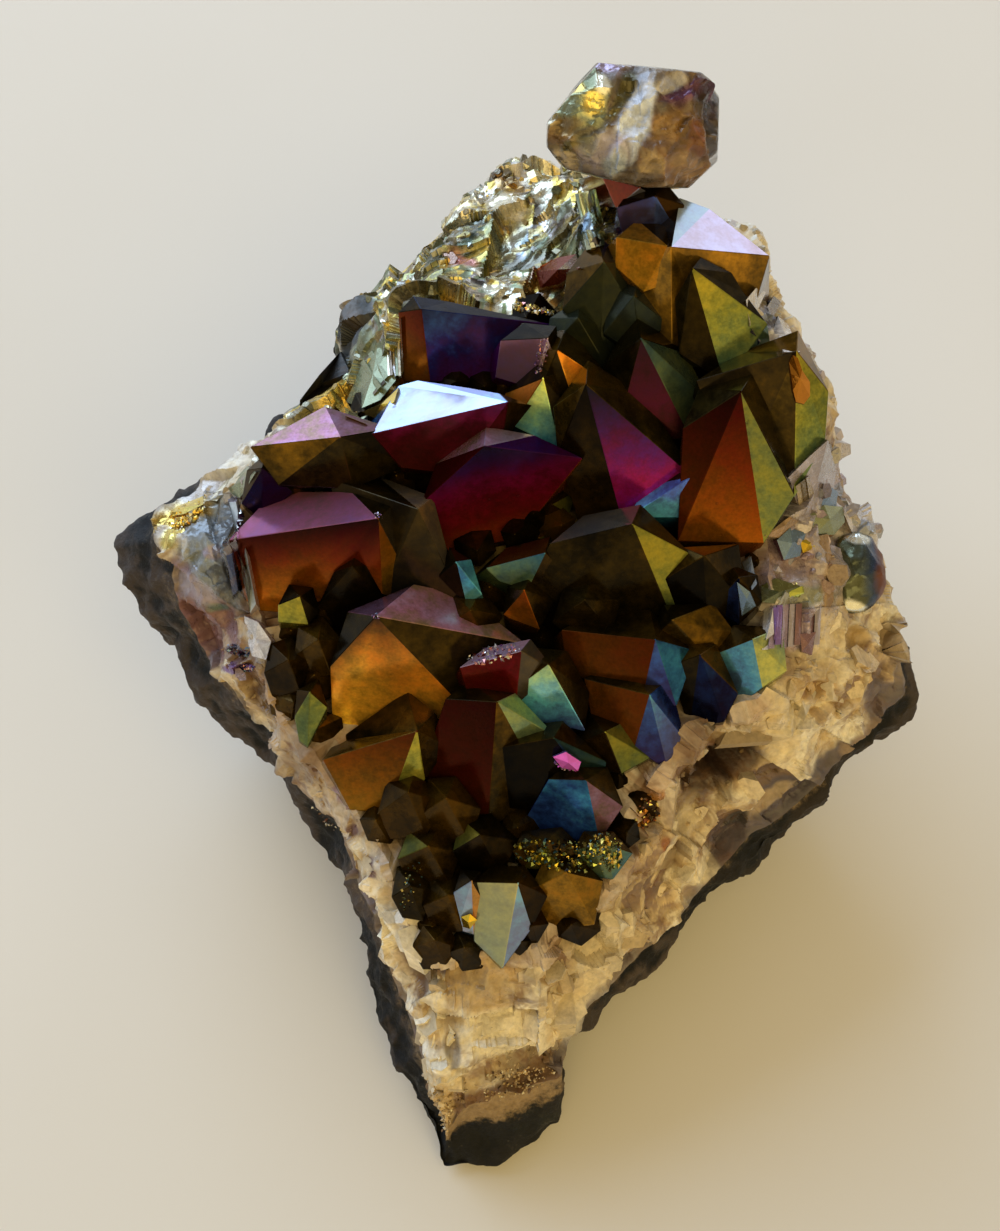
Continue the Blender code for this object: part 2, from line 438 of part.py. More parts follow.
def keep_outer_skin(obj):
    """Apply the union and fill the pockets that it closed in between the roots."""
    graph = bpy.context.evaluated_depsgraph_get()
    joined = bpy.data.meshes.new_from_object(obj.evaluated_get(graph))
    bm = bmesh.new()
    bm.from_mesh(joined)
    bm.faces.ensure_lookup_table()
    group = [-1] * len(bm.faces)
    sizes = []
    for start in bm.faces:
        if group[start.index] >= 0:
            continue
        label, stack, size = len(sizes), [start], 0
        group[start.index] = label
        while stack:
            face = stack.pop()
            size += 1
            for edge in face.edges:
                for other in edge.link_faces:
                    if group[other.index] < 0:
                        group[other.index] = label
                        stack.append(other)
        sizes.append(size)
    outer = sizes.index(max(sizes))
    lost = [f for f in bm.faces if group[f.index] != outer]
    bmesh.ops.delete(bm, geom=lost, context="FACES")
    bmesh.ops.triangulate(bm, faces=bm.faces)
    bm.to_mesh(joined)
    bm.free()
    obj.modifiers.clear()
    obj.data = joined
    joined.name = obj.name


build()
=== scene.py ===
"""Looks of the coated druzy quartz shard: rind, quartz band, crinkled ridge, coated points
and the broken knob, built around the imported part. Metres, +Z up, in the part's own frame."""
import math
import random

import bmesh
import bpy
import numpy as np
from mathutils import Matrix, Vector, noise
from mathutils.bvhtree import BVHTree


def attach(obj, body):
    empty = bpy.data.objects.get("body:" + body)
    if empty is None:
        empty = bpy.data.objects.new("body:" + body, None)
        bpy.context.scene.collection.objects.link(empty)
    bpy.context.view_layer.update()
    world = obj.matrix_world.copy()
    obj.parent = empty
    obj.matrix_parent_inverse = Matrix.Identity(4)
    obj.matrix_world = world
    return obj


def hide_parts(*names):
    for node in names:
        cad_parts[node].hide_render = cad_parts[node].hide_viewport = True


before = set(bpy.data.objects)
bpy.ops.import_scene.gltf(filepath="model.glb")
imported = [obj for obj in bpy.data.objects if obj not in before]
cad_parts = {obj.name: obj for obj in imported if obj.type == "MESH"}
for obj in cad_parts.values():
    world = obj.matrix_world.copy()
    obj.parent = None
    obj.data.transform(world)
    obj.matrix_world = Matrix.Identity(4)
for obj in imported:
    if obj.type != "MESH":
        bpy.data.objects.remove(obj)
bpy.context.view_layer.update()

# ---------------------------------------------------------------- driving dimensions
GRID = 0.00008  # one layout unit: 0.08 mm
CENTRE = (500.0, 615.5)  # layout position of the plane's middle
SIGHT_DISTANCE = 0.130  # sighting point above the layout plane
LEAN = math.radians(64.0)  # elevation of the crystal side's normal above the horizon
PLANE_HEIGHT = 0.0302  # height of the layout plane's middle above the resting face
MM = 0.001

ROOT_LEVEL = -5.0  # mm: how far down the crystals are rooted in the quartz band
FLOOR_LEVEL = -2.0  # mm: level of the quartz under the crystals
SPREAD = 1.10  # how far the pyramid faces run on past their drawn corners, into each other
REST_CENTRE = Vector((-0.0005, -0.0070, 0.0))  # middle of the flat resting patch
REST_SHARE = 0.60  # size of the resting patch, as a share of the rim around it
FRONT_REACH = 0.33  # how much further the patch reaches out at the front tip
SEED = 11

NORMAL = Vector((0.0, -math.cos(LEAN), math.sin(LEAN)))
ACROSS = Vector((1.0, 0.0, 0.0))
UPWARD = Vector((0.0, math.sin(LEAN), math.cos(LEAN)))
ORIGIN = Vector((0.0, 0.0, PLANE_HEIGHT))


def place(x, y, height):
    """World position of a layout point that stands height mm above the plane."""
    shrink = 1.0 - height * MM / SIGHT_DISTANCE
    u = (x - CENTRE[0]) * GRID * shrink
    v = (CENTRE[1] - y) * GRID * shrink
    return ORIGIN + ACROSS * u + UPWARD * v + NORMAL * (height * MM)


# ---------------------------------------------------------------- rind and quartz band
# Stations around the shard, clockwise from the front tip as seen from above. Each has the
# rim of the rind, the line where rind meets quartz, and the line where the crystals begin.
RIM = [
    ((443, 1168, -9.4), (445, 1140, -6.4), (434, 958, 0.5)),
    ((493, 1160, -9.5), (478, 1101, -5.0), (475, 946, 0.5)),
    ((558, 1124, -9.5), (559, 1081, -5.4), (520, 955, 0.5)),
    ((564, 1042, -9.2), (569, 1038, -7.6), (545, 945, 0.5)),
    ((590, 1015, -9.0), (586, 1008, -7.8), (566, 930, 0.5)),
    ((616, 988, -9.0), (610, 980, -7.8), (600, 900, 1.0)),
    ((646, 958, -9.0), (637, 947, -7.8), (622, 862, 1.0)),
    ((682, 921, -9.4), (674, 912, -7.8), (636, 824, 1.4)),
    ((718, 884, -9.5), (706, 868, -7.5), (652, 788, 1.8)),
    ((755, 858, -9.8), (737, 829, -7.5), (667, 765, 2.0)),
    ((785, 831, -10.0), (771, 803, -7.5), (680, 742, 2.0)),
    ((836, 775, -10.4), (820, 757, -7.5), (700, 720, 2.0)),
    ((875, 738, -10.8), (856, 721, -7.8), (735, 712, 2.0)),
    ((903, 718, -11.0), (885, 693, -8.0), (760, 703, 2.0)),
    ((916, 701, -11.0), (903, 676, -8.4), (776, 680, 2.0)),
    ((901, 650, -10.0), (894, 640, -7.8), (782, 655, 2.2)),
    ((892, 620, -9.4), (886, 612, -7.4), (778, 622, 2.6)),
    ((888, 586, -8.8), (881, 580, -6.4), (770, 592, 3.0)),
    ((884, 557, -8.0), (874, 552, -5.4), (768, 562, 3.0)),
    ((871, 531, -7.2), (860, 530, -4.4), (766, 532, 3.2)),
    ((849, 500, -6.6), (841, 500, -3.6), (776, 502, 3.4)),
    ((838, 465, -6.2), (831, 464, -2.8), (792, 480, 3.6)),
    ((833, 421, -6.0), (828, 420, -2.2), (806, 432, 4.0)),
    ((826, 380, -6.0), (820, 382, -2.0), (800, 386, 4.0)),
    ((800, 352, -6.2), (795, 354, -2.0), (776, 360, 4.0)),
    ((788, 322, -6.6), (782, 324, -2.2), (758, 334, 4.0)),
    ((775, 288, -7.0), (769, 291, -2.4), (744, 304, 4.0)),
    ((760, 258, -7.2), (754, 262, -2.6), (732, 276, 4.0)),
    ((735, 236, -7.6), (729, 241, -3.0), (704, 256, 3.8)),
    ((706, 215, -8.2), (701, 221, -3.2), (678, 244, 3.6)),
    ((681, 202, -9.0), (676, 210, -3.6), (652, 240, 3.0)),
    ((640, 188, -10.0), (640, 198, -4.2), (628, 240, 2.4)),
    ((602, 178, -11.2), (602, 190, -5.4), (606, 248, 1.8)),
    ((566, 172, -12.4), (566, 184, -6.6), (584, 268, 1.0)),
    ((532, 173, -13.2), (534, 188, -8.0), (562, 294, 0.4)),
    ((503, 172, -13.6), (505, 188, -8.6), (540, 312, 0.2)),
    ((481, 187, -13.6), (484, 203, -8.8), (502, 314, 0.2)),
    ((463, 199, -13.5), (466, 215, -8.8), (470, 310, 0.2)),
    ((440, 221, -13.3), (444, 237, -8.8), (442, 303, 0.2)),
    ((420, 240, -13.0), (426, 254, -8.6), (420, 303, 0.2)),
    ((400, 261, -12.8), (408, 274, -8.4), (408, 312, 0.2)),
    ((370, 296, -12.4), (381, 304, -8.0), (402, 342, 0.4)),
    ((345, 306, -12.2), (356, 318, -7.6), (400, 370, 0.6)),
    ((332, 333, -12.0), (345, 343, -7.2), (392, 394, 0.8)),
    ((339, 376, -11.6), (350, 380, -7.0), (378, 410, 1.0)),
    ((299, 407, -11.4), (312, 412, -6.6), (330, 414, 1.2)),
    ((270, 426, -11.0), (280, 431, -6.4), (292, 432, 1.2)),
    ((240, 456, -10.6), (248, 459, -6.0), (264, 452, 1.0)),
    ((200, 481, -10.2), (208, 484, -5.6), (250, 482, 1.0)),
    ((142, 515, -9.8), (156, 514, -5.0), (240, 512, 1.0)),
    ((116, 545, -9.2), (162, 540, -3.0), (232, 538, 1.0)),
    ((130, 581, -9.4), (172, 572, -3.4), (242, 570, 1.0)),
    ((141, 614, -9.8), (186, 612, -4.0), (254, 602, 0.8)),
    ((176, 631, -10.0), (202, 642, -5.0), (264, 636, 0.6)),
    ((190, 680, -10.0), (216, 673, -5.6), (264, 664, 0.6)),
    ((216, 706, -10.0), (240, 701, -6.0), (268, 700, 0.6)),
    ((270, 746, -10.0), (281, 738, -6.4), (300, 740, 0.6)),
    ((300, 790, -9.9), (309, 781, -6.4), (326, 770, 0.6)),
    ((330, 831, -9.8), (337, 824, -6.4), (352, 806, 0.6)),
    ((350, 880, -9.8), (357, 872, -6.4), (382, 850, 0.6)),
    ((360, 916, -9.8), (369, 906, -6.2), (396, 890, 0.6)),
    ((373, 1003, -9.7), (386, 962, -6.0), (408, 925, 0.6)),
    ((390, 1043, -9.6), (413, 1013, -6.0), (424, 944, 0.6)),
    ((408, 1082, -9.5), (427, 1074, -6.0), (430, 952, 0.5)),
    ((429, 1141, -9.4), (440, 1116, -6.0), (432, 956, 0.5)),
]

# ---------------------------------------------------------------- quartz points
# Each point: its tip, then the corners where its pyramid ends, clockwise. A corner's third
# number is how much it drops from the tip for each unit of distance; None puts the corner in
# the plane of the tip and the corners on both sides, so that the face stays flat.
N = None
POINTS = {
    "left_wedge": ((378, 518, 7.5), [(231, 538, 0.30), (279, 493, N), (354, 494, 1.2), (392, 505, 1.4), (400, 560, 1.0), (383, 612, 0.75), (253, 602, N)]),
    "left_ridge": ((418, 509, 6.8), [(336, 481, 0.45), (380, 478, 1.3), (432, 498, 1.4), (456, 590, 0.5), (420, 625, N), (375, 612, 0.62)]),
    "kite": ((376, 616, 7.6), [(334, 662, 0.75), (350, 612, 1.3), (411, 587, 1.0), (456, 596, N), (512, 641, 0.38), (458, 701, 0.55), (337, 746, N)]),
    "low_roof": ((417, 731, 5.6), [(331, 757, 0.30), (342, 741, 0.9), (408, 694, 1.0), (434, 714, 1.2), (446, 745, 1.2), (424, 776, 0.8), (390, 806, 0.65), (356, 803, N)]),
    "red_blade": ((497, 702, 7.0), [(450, 699, 0.40), (470, 682, 1.2), (514, 694, 1.2), (554, 736, 0.5), (545, 790, 0.75), (489, 816, 0.55), (427, 768, N)]),
    "teal_fin": ((548, 664, 6.6), [(513, 690, 0.55), (505, 665, 1.0), (528, 648, 1.2), (566, 652, 1.2), (586, 690, 0.8), (582, 725, 0.55), (538, 716, N)]),
    "chipped_red": ((521, 651, 7.4), [(465, 666, 0.35), (488, 648, 1.1), (530, 640, 1.2), (553, 670, 0.7), (516, 700, 0.7), (476, 701, N)]),
    "dark_low": ((554, 738, 6.2), [(497, 748, 0.35), (520, 727, 1.0), (562, 722, 1.2), (602, 760, 0.6), (596, 795, 0.7), (545, 802, 0.7), (497, 802, N)]),
    "blue_foot": ((586, 780, 5.6), [(552, 779, 0.35), (572, 762, 1.1), (606, 768, 1.2), (620, 804, 0.6), (598, 836, 0.75), (517, 838, N)]),
    "dark_crown": ((632, 524, 8.0), [(557, 542, 0.30), (588, 516, 1.2), (640, 506, 1.3), (688, 553, 0.45), (670, 615, 0.6), (622, 642, 0.7), (560, 624, 0.62), (532, 588, N)]),
    "olive_block": ((704, 556, 6.8), [(656, 584, 0.5), (684, 548, 0.9), (736, 545, 1.0), (742, 600, 0.65), (708, 620, 0.7), (668, 614, N)]),
    "bronze_stub": ((672, 620, 6.0), [(650, 640, 0.8), (664, 606, 1.2), (710, 605, 0.6), (730, 632, 0.5), (704, 654, 0.6), (668, 650, N)]),
    "rust_roof": ((656, 640, 6.8), [(570, 631, 0.32), (600, 612, 1.0), (650, 612, 1.2), (692, 650, 0.8), (675, 700, 0.62), (642, 702, 0.6), (575, 668, N)]),
    "violet_step": ((650, 695, 5.8), [(590, 680, 0.4), (620, 662, 1.0), (668, 680, 1.1), (682, 735, 0.7), (667, 764, 0.6), (636, 744, 0.6), (598, 722, N)]),
    "leaf": ((605, 732, 4.8), [(575, 745, 0.7), (590, 715, 1.1), (625, 722, 1.0), (646, 756, 0.5), (620, 770, 0.6), (596, 765, N)]),
    "blue_chip": ((739, 577, 5.6), [(722, 596, 0.8), (730, 565, 1.2), (756, 575, 1.0), (760, 600, 0.6), (739, 620, 0.6), (725, 612, N)]),
    "lime_chip": ((753, 639, 5.4), [(712, 655, 0.6), (735, 626, 1.0), (780, 628, 1.0), (784, 668, 0.65), (762, 683, 0.6), (723, 714, N)]),
    "night_chip": ((700, 655, 5.6), [(672, 665, 0.6), (688, 640, 1.0), (715, 645, 1.0), (735, 690, 0.6), (722, 716, 0.6), (690, 722, N)]),
    "magenta_blade": ((586, 384, 9.0), [(560, 448, 0.8), (556, 405, 1.1), (588, 362, 1.3), (640, 395, 1.0), (690, 474, 0.42), (622, 519, 0.55), (588, 538, N)]),
    "cyan_foot": ((691, 477, 5.8), [(633, 514, 0.3), (650, 485, 0.8), (690, 462, 1.1), (712, 480, 0.9), (706, 508, 0.7), (678, 514, N)]),
    "plum_spear": ((641, 338, 8.2), [(626, 396, 0.6), (606, 365, 1.1), (636, 312, 1.3), (682, 352, 1.0), (706, 398, 0.55), (686, 428, 0.55), (664, 432, N)]),
    "orange_spear": ((557, 350, 6.8), [(540, 392, 0.8), (528, 350, 1.2), (566, 328, 1.2), (618, 390, 0.42), (575, 404, 0.6), (556, 402, N)]),
    "green_wedge": ((543, 378, 6.4), [(515, 421, 0.65), (508, 392, 1.1), (535, 360, 1.2), (562, 372, 1.1), (578, 418, 0.8), (558, 442, 0.6)]),
    "purple_shield": ((484, 446, 8.2), [(427, 498, 0.5), (440, 462, 1.1), (486, 428, 1.2), (530, 436, 0.5), (574, 457, 0.36), (515, 530, N), (452, 544, N)]),
    "white_roof": ((508, 402, 8.4), [(384, 431, 0.22), (408, 387, 0.62), (426, 382, N), (473, 389, N), (500, 394, 0.83), (530, 405, 1.3), (502, 440, 1.0), (461, 468, 0.80), (411, 462, N)]),
    "navy_slab": ((421, 309, 5.5), [(400, 312, 0.9), (414, 297, 1.2), (446, 302, 1.0), (541, 323, 0.30), (489, 374, 0.52), (429, 375, 0.62), (405, 375, N)]),
    "pink_step": ((548, 338, 6.6), [(505, 340, 0.3), (526, 324, 1.1), (556, 327, 1.2), (560, 372, 0.8), (534, 384, 0.7), (500, 374, N)]),
    "pink_tent": ((340, 437, 7.0), [(258, 446, 0.28), (326, 409, 0.9), (388, 429, 0.4), (404, 462, 0.7), (352, 484, 0.8), (284, 481, 0.58)]),
    "indigo_chip": ((262, 468, 4.2), [(243, 500, 0.8), (248, 470, 1.0), (268, 452, 1.2), (290, 490, 0.6), (262, 515, 0.7)]),
    "cyan_chip": ((456, 562, 5.6), [(440, 575, 1.0), (450, 548, 1.1), (470, 560, 1.0), (480, 592, 0.5), (465, 600, 0.7)]),
    "teal_chip": ((545, 553, 5.8), [(491, 567, 0.35), (510, 548, 1.0), (550, 538, 1.2), (562, 570, 0.8), (529, 586, 0.7), (504, 579, N)]),
    "orange_chip": ((524, 590, 5.2), [(505, 612, 0.8), (508, 588, 1.1), (530, 575, 1.2), (552, 600, 0.8), (538, 626, 0.6), (511, 616, N)]),
    "yellow_chip": ((300, 596, 4.4), [(280, 604, 0.5), (290, 585, 1.1), (312, 588, 1.1), (318, 610, 0.7), (308, 622, 0.6), (280, 620, N)]),
    "slim_chip": ((310, 692, 4.0), [(296, 715, 0.7), (298, 690, 1.1), (318, 680, 1.1), (326, 706, 0.6), (308, 742, 0.5), (300, 736, N)]),
    "red_spire": ((741, 391, 10.0), [(688, 425, 0.5), (703, 388, 1.1), (755, 370, 1.3), (790, 486, 0.42), (762, 530, 0.52), (683, 528, 0.52)]),
    "east_spire": ((797, 351, 9.5), [(705, 378, 0.32), (745, 352, 0.9), (800, 332, 1.3), (838, 390, 0.7), (832, 428, 0.6), (795, 484, 0.42), (742, 476, 0.55)]),
    "lavender_roof": ((671, 247, 9.5), [(679, 202, 0.85), (706, 212, N), (761, 255, 0.42), (750, 293, 0.6), (706, 340, 0.7), (672, 352, 0.6), (640, 294, 0.8), (636, 252, 1.1)]),
    "green_spear": ((692, 268, 9.8), [(676, 296, 1.0), (680, 346, 0.62), (722, 373, 0.50), (761, 319, 0.42), (739, 290, 0.6), (728, 272, 0.8), (700, 258, 1.2)]),
    "amber_break": ((668, 246, 9.2), [(621, 238, 0.35), (640, 222, 1.0), (672, 228, 1.2), (690, 262, 1.0), (667, 281, 0.7), (646, 288, 0.6), (620, 265, N)]),
    "navy_block": ((655, 196, 8.2), [(620, 207, 0.4), (632, 190, 1.0), (665, 184, 1.2), (682, 204, 0.6), (676, 230, 0.7), (655, 240, 0.7), (626, 235, N)]),
    "maroon_chip": ((640, 188, 7.5), [(604, 174, 0.4), (625, 165, 1.0), (650, 170, 1.2), (660, 200, 0.8), (618, 206, 0.6)]),
    "grey_gable": ((604, 262, 7.6), [(566, 305, 0.6), (570, 272, 1.0), (596, 238, 1.3), (634, 262, 1.0), (646, 330, 0.55), (600, 348, 0.6)]),
    "grey_spear": ((634, 296, 7.4), [(606, 330, 0.7), (612, 290, 1.1), (640, 272, 1.2), (664, 320, 0.6), (640, 352, 0.7)]),
    "grey_stub": ((578, 318, 5.8), [(548, 350, 0.7), (552, 318, 1.1), (580, 300, 1.2), (612, 330, 0.8), (610, 372, 0.6), (575, 365, N)]),
    "low_a": ((408, 792, 4.6), [(380, 812, 0.8), (388, 782, 1.1), (415, 772, 1.2), (440, 800, 0.8), (425, 832, 0.6), (392, 835, N)]),
    "low_b": ((446, 798, 4.8), [(420, 815, 0.8), (430, 780, 1.1), (455, 778, 1.2), (478, 808, 0.7), (468, 840, 0.6), (432, 838, N)]),
    "low_c": ((480, 835, 4.4), [(455, 850, 0.8), (462, 820, 1.1), (490, 815, 1.2), (515, 840, 0.7), (500, 872, 0.6), (466, 872, N)]),
    "low_d": ((428, 846, 3.8), [(400, 858, 0.7), (410, 832, 1.1), (438, 828, 1.2), (458, 852, 0.7), (448, 882, 0.6), (412, 885, N)]),
    "low_e": ((410, 886, 3.0), [(393, 896, 0.7), (398, 868, 1.1), (418, 865, 1.2), (432, 890, 0.7), (422, 918, 0.6), (403, 915, N)]),
    "low_f": ((448, 895, 3.4), [(425, 905, 0.7), (432, 878, 1.1), (455, 874, 1.2), (472, 895, 0.7), (462, 928, 0.6), (436, 932, N)]),
    "pale_tooth": ((518, 883, 4.8), [(477, 882, 0.35), (495, 866, 1.0), (525, 868, 1.2), (545, 895, 0.9), (531, 924, 0.65), (504, 961, 0.5), (478, 936, N)]),
    "pale_chip": ((472, 881, 4.2), [(455, 892, 0.6), (462, 870, 1.1), (480, 872, 1.1), (486, 905, 0.7), (474, 930, 0.6), (458, 925, N)]),
    "amber_knot": ((566, 872, 4.2), [(532, 890, 0.6), (545, 862, 1.0), (575, 855, 1.2), (600, 880, 0.8), (592, 920, 0.7), (552, 926, N)]),
    "crumb_a": ((545, 842, 4.4), [(515, 850, 0.8), (525, 832, 1.1), (560, 828, 1.2), (580, 848, 0.8), (560, 868, 0.7), (525, 866, N)]),
    "crumb_b": ((600, 842, 4.2), [(575, 850, 0.8), (585, 832, 1.1), (612, 832, 1.2), (630, 852, 0.8), (612, 876, 0.7), (580, 872, N)]),
    "mid_a": ((470, 610, 4.8), [(445, 625, 0.8), (455, 595, 1.1), (480, 590, 1.2), (500, 615, 0.8), (485, 640, 0.7), (455, 645, N)]),
    "mid_b": ((318, 640, 4.4), [(296, 655, 0.8), (300, 628, 1.1), (322, 618, 1.2), (340, 640, 0.8), (330, 672, 0.7), (302, 676, N)]),
    "mid_c": ((288, 660, 3.8), [(266, 672, 0.8), (272, 645, 1.1), (292, 638, 1.2), (308, 660, 0.8), (300, 690, 0.7), (274, 695, N)]),
    "mid_d": ((585, 600, 6.0), [(555, 620, 0.8), (565, 590, 1.1), (590, 580, 1.2), (618, 600, 0.8), (610, 630, 0.7), (572, 635, N)]),
    "mid_e": ((352, 566, 5.6), [(322, 600, 0.7), (335, 572, 1.1), (356, 552, 1.2), (384, 566, 1.0), (384, 606, 0.7), (345, 632, N)]),
}

# Small points that fill the gaps between the big ones: their spacing on the layout plane,
# the range of their half widths, and the range of their tip levels in mm.
FILL_SPACING = 28.0
FILL_HALF_WIDTH = (17.0, 25.0)
FILL_LEVEL = (0.8, 3.0)

# ---------------------------------------------------------------- broken knob at the top
# Slices of the big broken crystal that stands over the top end, lowest first: its middle,
# half width and half height in layout units, and its level in mm.
KNOB = [
    (646, 226, 30, 20, -4.6),
    (646, 208, 38, 24, -1.0),
    (644, 180, 50, 34, 2.0),
    (638, 146, 74, 48, 4.2),
    (634, 126, 86, 60, 6.4),
    (632, 123, 87, 62, 9.0),
    (630, 121, 74, 52, 11.2),
    (627, 119, 48, 34, 12.4),
]
KNOB_SIDES = 12


def pyramid(tip, corners):
    """World positions of a point's tip and of the corners of its pyramid."""
    apex = place(*tip)
    ring = []
    for x, y, drop in corners:
        far = math.hypot(x - tip[0], y - tip[1]) * GRID / MM
        ring.append(None if drop is None else place(x, y, tip[2] - drop * far))
    count = len(ring)
    known = [i for i in range(count) if ring[i] is not None]
    eye = ORIGIN + NORMAL * SIGHT_DISTANCE
    flat_corners = [p for p in ring]
    for i in range(count):
        if ring[i] is not None:
            continue
        before = max((k - count if k > i else k) for k in known) % count
        after = min((k + count if k < i else k) for k in known) % count
        face = (ring[before] - apex).cross(ring[after] - apex)
        sight = place(corners[i][0], corners[i][1], 0.0) - eye
        flat_corners[i] = eye + sight * ((apex - eye).dot(face) / sight.dot(face))
    return apex, [apex + (p - apex) * SPREAD for p in flat_corners]


def inside(x, y, outline):
    """Whether a layout point lies inside an outline."""
    hit = False
    for i in range(len(outline)):
        x1, y1 = outline[i][:2]
        x2, y2 = outline[i - 1][:2]
        if (y1 > y) != (y2 > y) and x < (x2 - x1) * (y - y1) / (y2 - y1) + x1:
            hit = not hit
    return hit


def filler_points():
    """Six-sided points on a jittered grid, wherever no big point already stands."""
    rng = random.Random(SEED)
    edge = [s[2] for s in RIM]
    found = []
    row = 0
    y = min(p[1] for p in edge)
    while y < max(p[1] for p in edge):
        x = min(p[0] for p in edge) + (row % 2) * FILL_SPACING / 2.0
        while x < max(p[0] for p in edge):
            px = x + rng.uniform(-0.3, 0.3) * FILL_SPACING
            py = y + rng.uniform(-0.3, 0.3) * FILL_SPACING
            half = rng.uniform(*FILL_HALF_WIDTH)
            level = rng.uniform(*FILL_LEVEL)
            spin = rng.uniform(0.0, 60.0)
            tilt = rng.uniform(0.0, 360.0)
            x += FILL_SPACING
            if not inside(px, py, edge) or any(inside(px, py, c) for _, c in POINTS.values()):
                continue
            off = half * 0.3
            corners = []
            for k in range(6):
                a = math.radians(spin - 60.0 * k)
                cx = px + half * math.cos(a) + off * math.cos(math.radians(tilt))
                cy = py - half * math.sin(a) - off * math.sin(math.radians(tilt))
                corners.append((cx, cy, 0.95))
            found.append(((px, py, level), corners))
        y += FILL_SPACING * 0.87
        row += 1
    return found


def lerp(a, b, t):
    return a + (b - a) * t


def rough(point, size, amount):
    """A small seeded push, the same on every run."""
    q = point / size + Vector((SEED, SEED * 2.0, SEED * 3.0))
    return noise.noise_vector(q) * amount


def point_mesh(tip, corners):
    """One quartz point: a pyramid over a prism that narrows a little into the band."""
    apex, ring = pyramid(tip, corners)
    middle = sum(ring, Vector()) / len(ring)
    axis = ((apex - middle).normalized() + NORMAL).normalized()
    drop = ((middle - ORIGIN).dot(NORMAL) - ROOT_LEVEL * MM) / axis.dot(NORMAL)
    root = []
    for p in ring:
        down = ((p - ORIGIN).dot(NORMAL) - ROOT_LEVEL * MM) / axis.dot(NORMAL)
        q = p - axis * max(down, 0.0004)
        home = middle - axis * drop
        root.append(home + (q - home) * 0.82)
    count = len(ring)
    verts = [apex] + ring + root
    faces = []
    for i in range(count):
        j = (i + 1) % count
        faces.append((0, 1 + i, 1 + j))
        faces.append((1 + i, 1 + count + i, 1 + count + j, 1 + j))
    faces.append(tuple(range(1 + count, 1 + 2 * count)))
    return verts, faces


def knob_mesh():
    """The broken knob: stacked uneven slices, closed at both ends."""
    rng = random.Random(SEED)
    verts, faces = [], []
    swing = [rng.uniform(-0.07, 0.07) for _ in range(KNOB_SIDES)]
    for cx, cy, half_w, half_h, level in KNOB:
        for k in range(KNOB_SIDES):
            angle = 2.0 * math.pi * (k + 0.5) / KNOB_SIDES
            reach = 1.0 + swing[k] + rng.uniform(-0.04, 0.04)
            square = 1.0 / max(abs(math.cos(angle)), abs(math.sin(angle)))
            reach *= 1.0 + 0.35 * (square - 1.0)
            verts.append(place(cx + half_w * reach * math.cos(angle), cy - half_h * reach * math.sin(angle), level + rng.uniform(-0.2, 0.2)))
    faces.append(tuple(range(KNOB_SIDES)))
    for r in range(len(KNOB) - 1):
        for i in range(KNOB_SIDES):
            j = (i + 1) % KNOB_SIDES
            faces.append((r * KNOB_SIDES + i, r * KNOB_SIDES + j, (r + 1) * KNOB_SIDES + j, (r + 1) * KNOB_SIDES + i))
    faces.append(tuple(range((len(KNOB) - 1) * KNOB_SIDES, len(KNOB) * KNOB_SIDES)))
    return verts, faces



# ---------------------------------------------------------------- numbers in bulk
def hash01(i, j, k, seed):
    """A repeatable number from 0 to 1 for each lattice cell."""
    h = (i.astype(np.int64) * 73856093) ^ (j.astype(np.int64) * 19349663) ^ (k.astype(np.int64) * 83492791) ^ (seed * 2654435761)
    h = ((h ^ (h >> 13)) * 1274126177) & 0x7FFFFFFF
    h = ((h ^ (h >> 15)) * 73244475) & 0x7FFFFFFF
    return ((h ^ (h >> 16)) & 0xFFFFFF) / float(0xFFFFFF)


def value_noise(points, size, seed):
    """Smooth noise from -1 to 1 with features of this size."""
    q = points / size
    base = np.floor(q)
    f = q - base
    f = f * f * (3.0 - 2.0 * f)
    i, j, k = base[:, 0], base[:, 1], base[:, 2]
    total = np.zeros(len(points))
    for a in (0, 1):
        for b in (0, 1):
            for c in (0, 1):
                w = (f[:, 0] if a else 1 - f[:, 0]) * (f[:, 1] if b else 1 - f[:, 1]) * (f[:, 2] if c else 1 - f[:, 2])
                total += w * hash01(i + a, j + b, k + c, seed)
    return total * 2.0 - 1.0


def rumble(points, size, seed, octaves=4, gain=0.5):
    total, amp, norm = np.zeros(len(points)), 1.0, 0.0
    for o in range(octaves):
        total += value_noise(points, size / 2.0 ** o, seed + 17 * o) * amp
        norm += amp
        amp *= gain
    return total / norm


def scoops(points, cell, seed, lean=0.7, bowl=0.6, step=0.35, stretch=None):
    """Height of conchoidal breaks: shallow scoops and flat chips that meet in sharp ridges.
    Gives the height in metres and a repeatable number from 0 to 1 for each chip."""
    q = points.copy()
    if stretch is not None:
        axis, factor = stretch
        axis = axis / np.linalg.norm(axis)
        q = q - np.outer((q @ axis) * (1.0 - 1.0 / factor), axis)
    q = q / cell
    base = np.floor(q)
    low = np.full(len(q), 1e9)
    number = np.zeros(len(q))
    for a in (-1, 0, 1):
        for b in (-1, 0, 1):
            for c in (-1, 0, 1):
                i, j, k = base[:, 0] + a, base[:, 1] + b, base[:, 2] + c
                middle = np.stack([i + hash01(i, j, k, seed), j + hash01(i, j, k, seed + 1), k + hash01(i, j, k, seed + 2)], 1)
                d = q - middle
                tilt = np.stack([hash01(i, j, k, seed + 3 + n) for n in range(3)], 1) * 2.0 - 1.0
                h = bowl * (d * d).sum(1) + (d * tilt).sum(1) * lean + (hash01(i, j, k, seed + 7) - 0.5) * step
                lower = h < low
                low = np.where(lower, h, low)
                number = np.where(lower, hash01(i, j, k, seed + 9), number)
    return (low - low.mean()) * cell, number


def array(vectors):
    return np.array([tuple(v) for v in vectors], float)


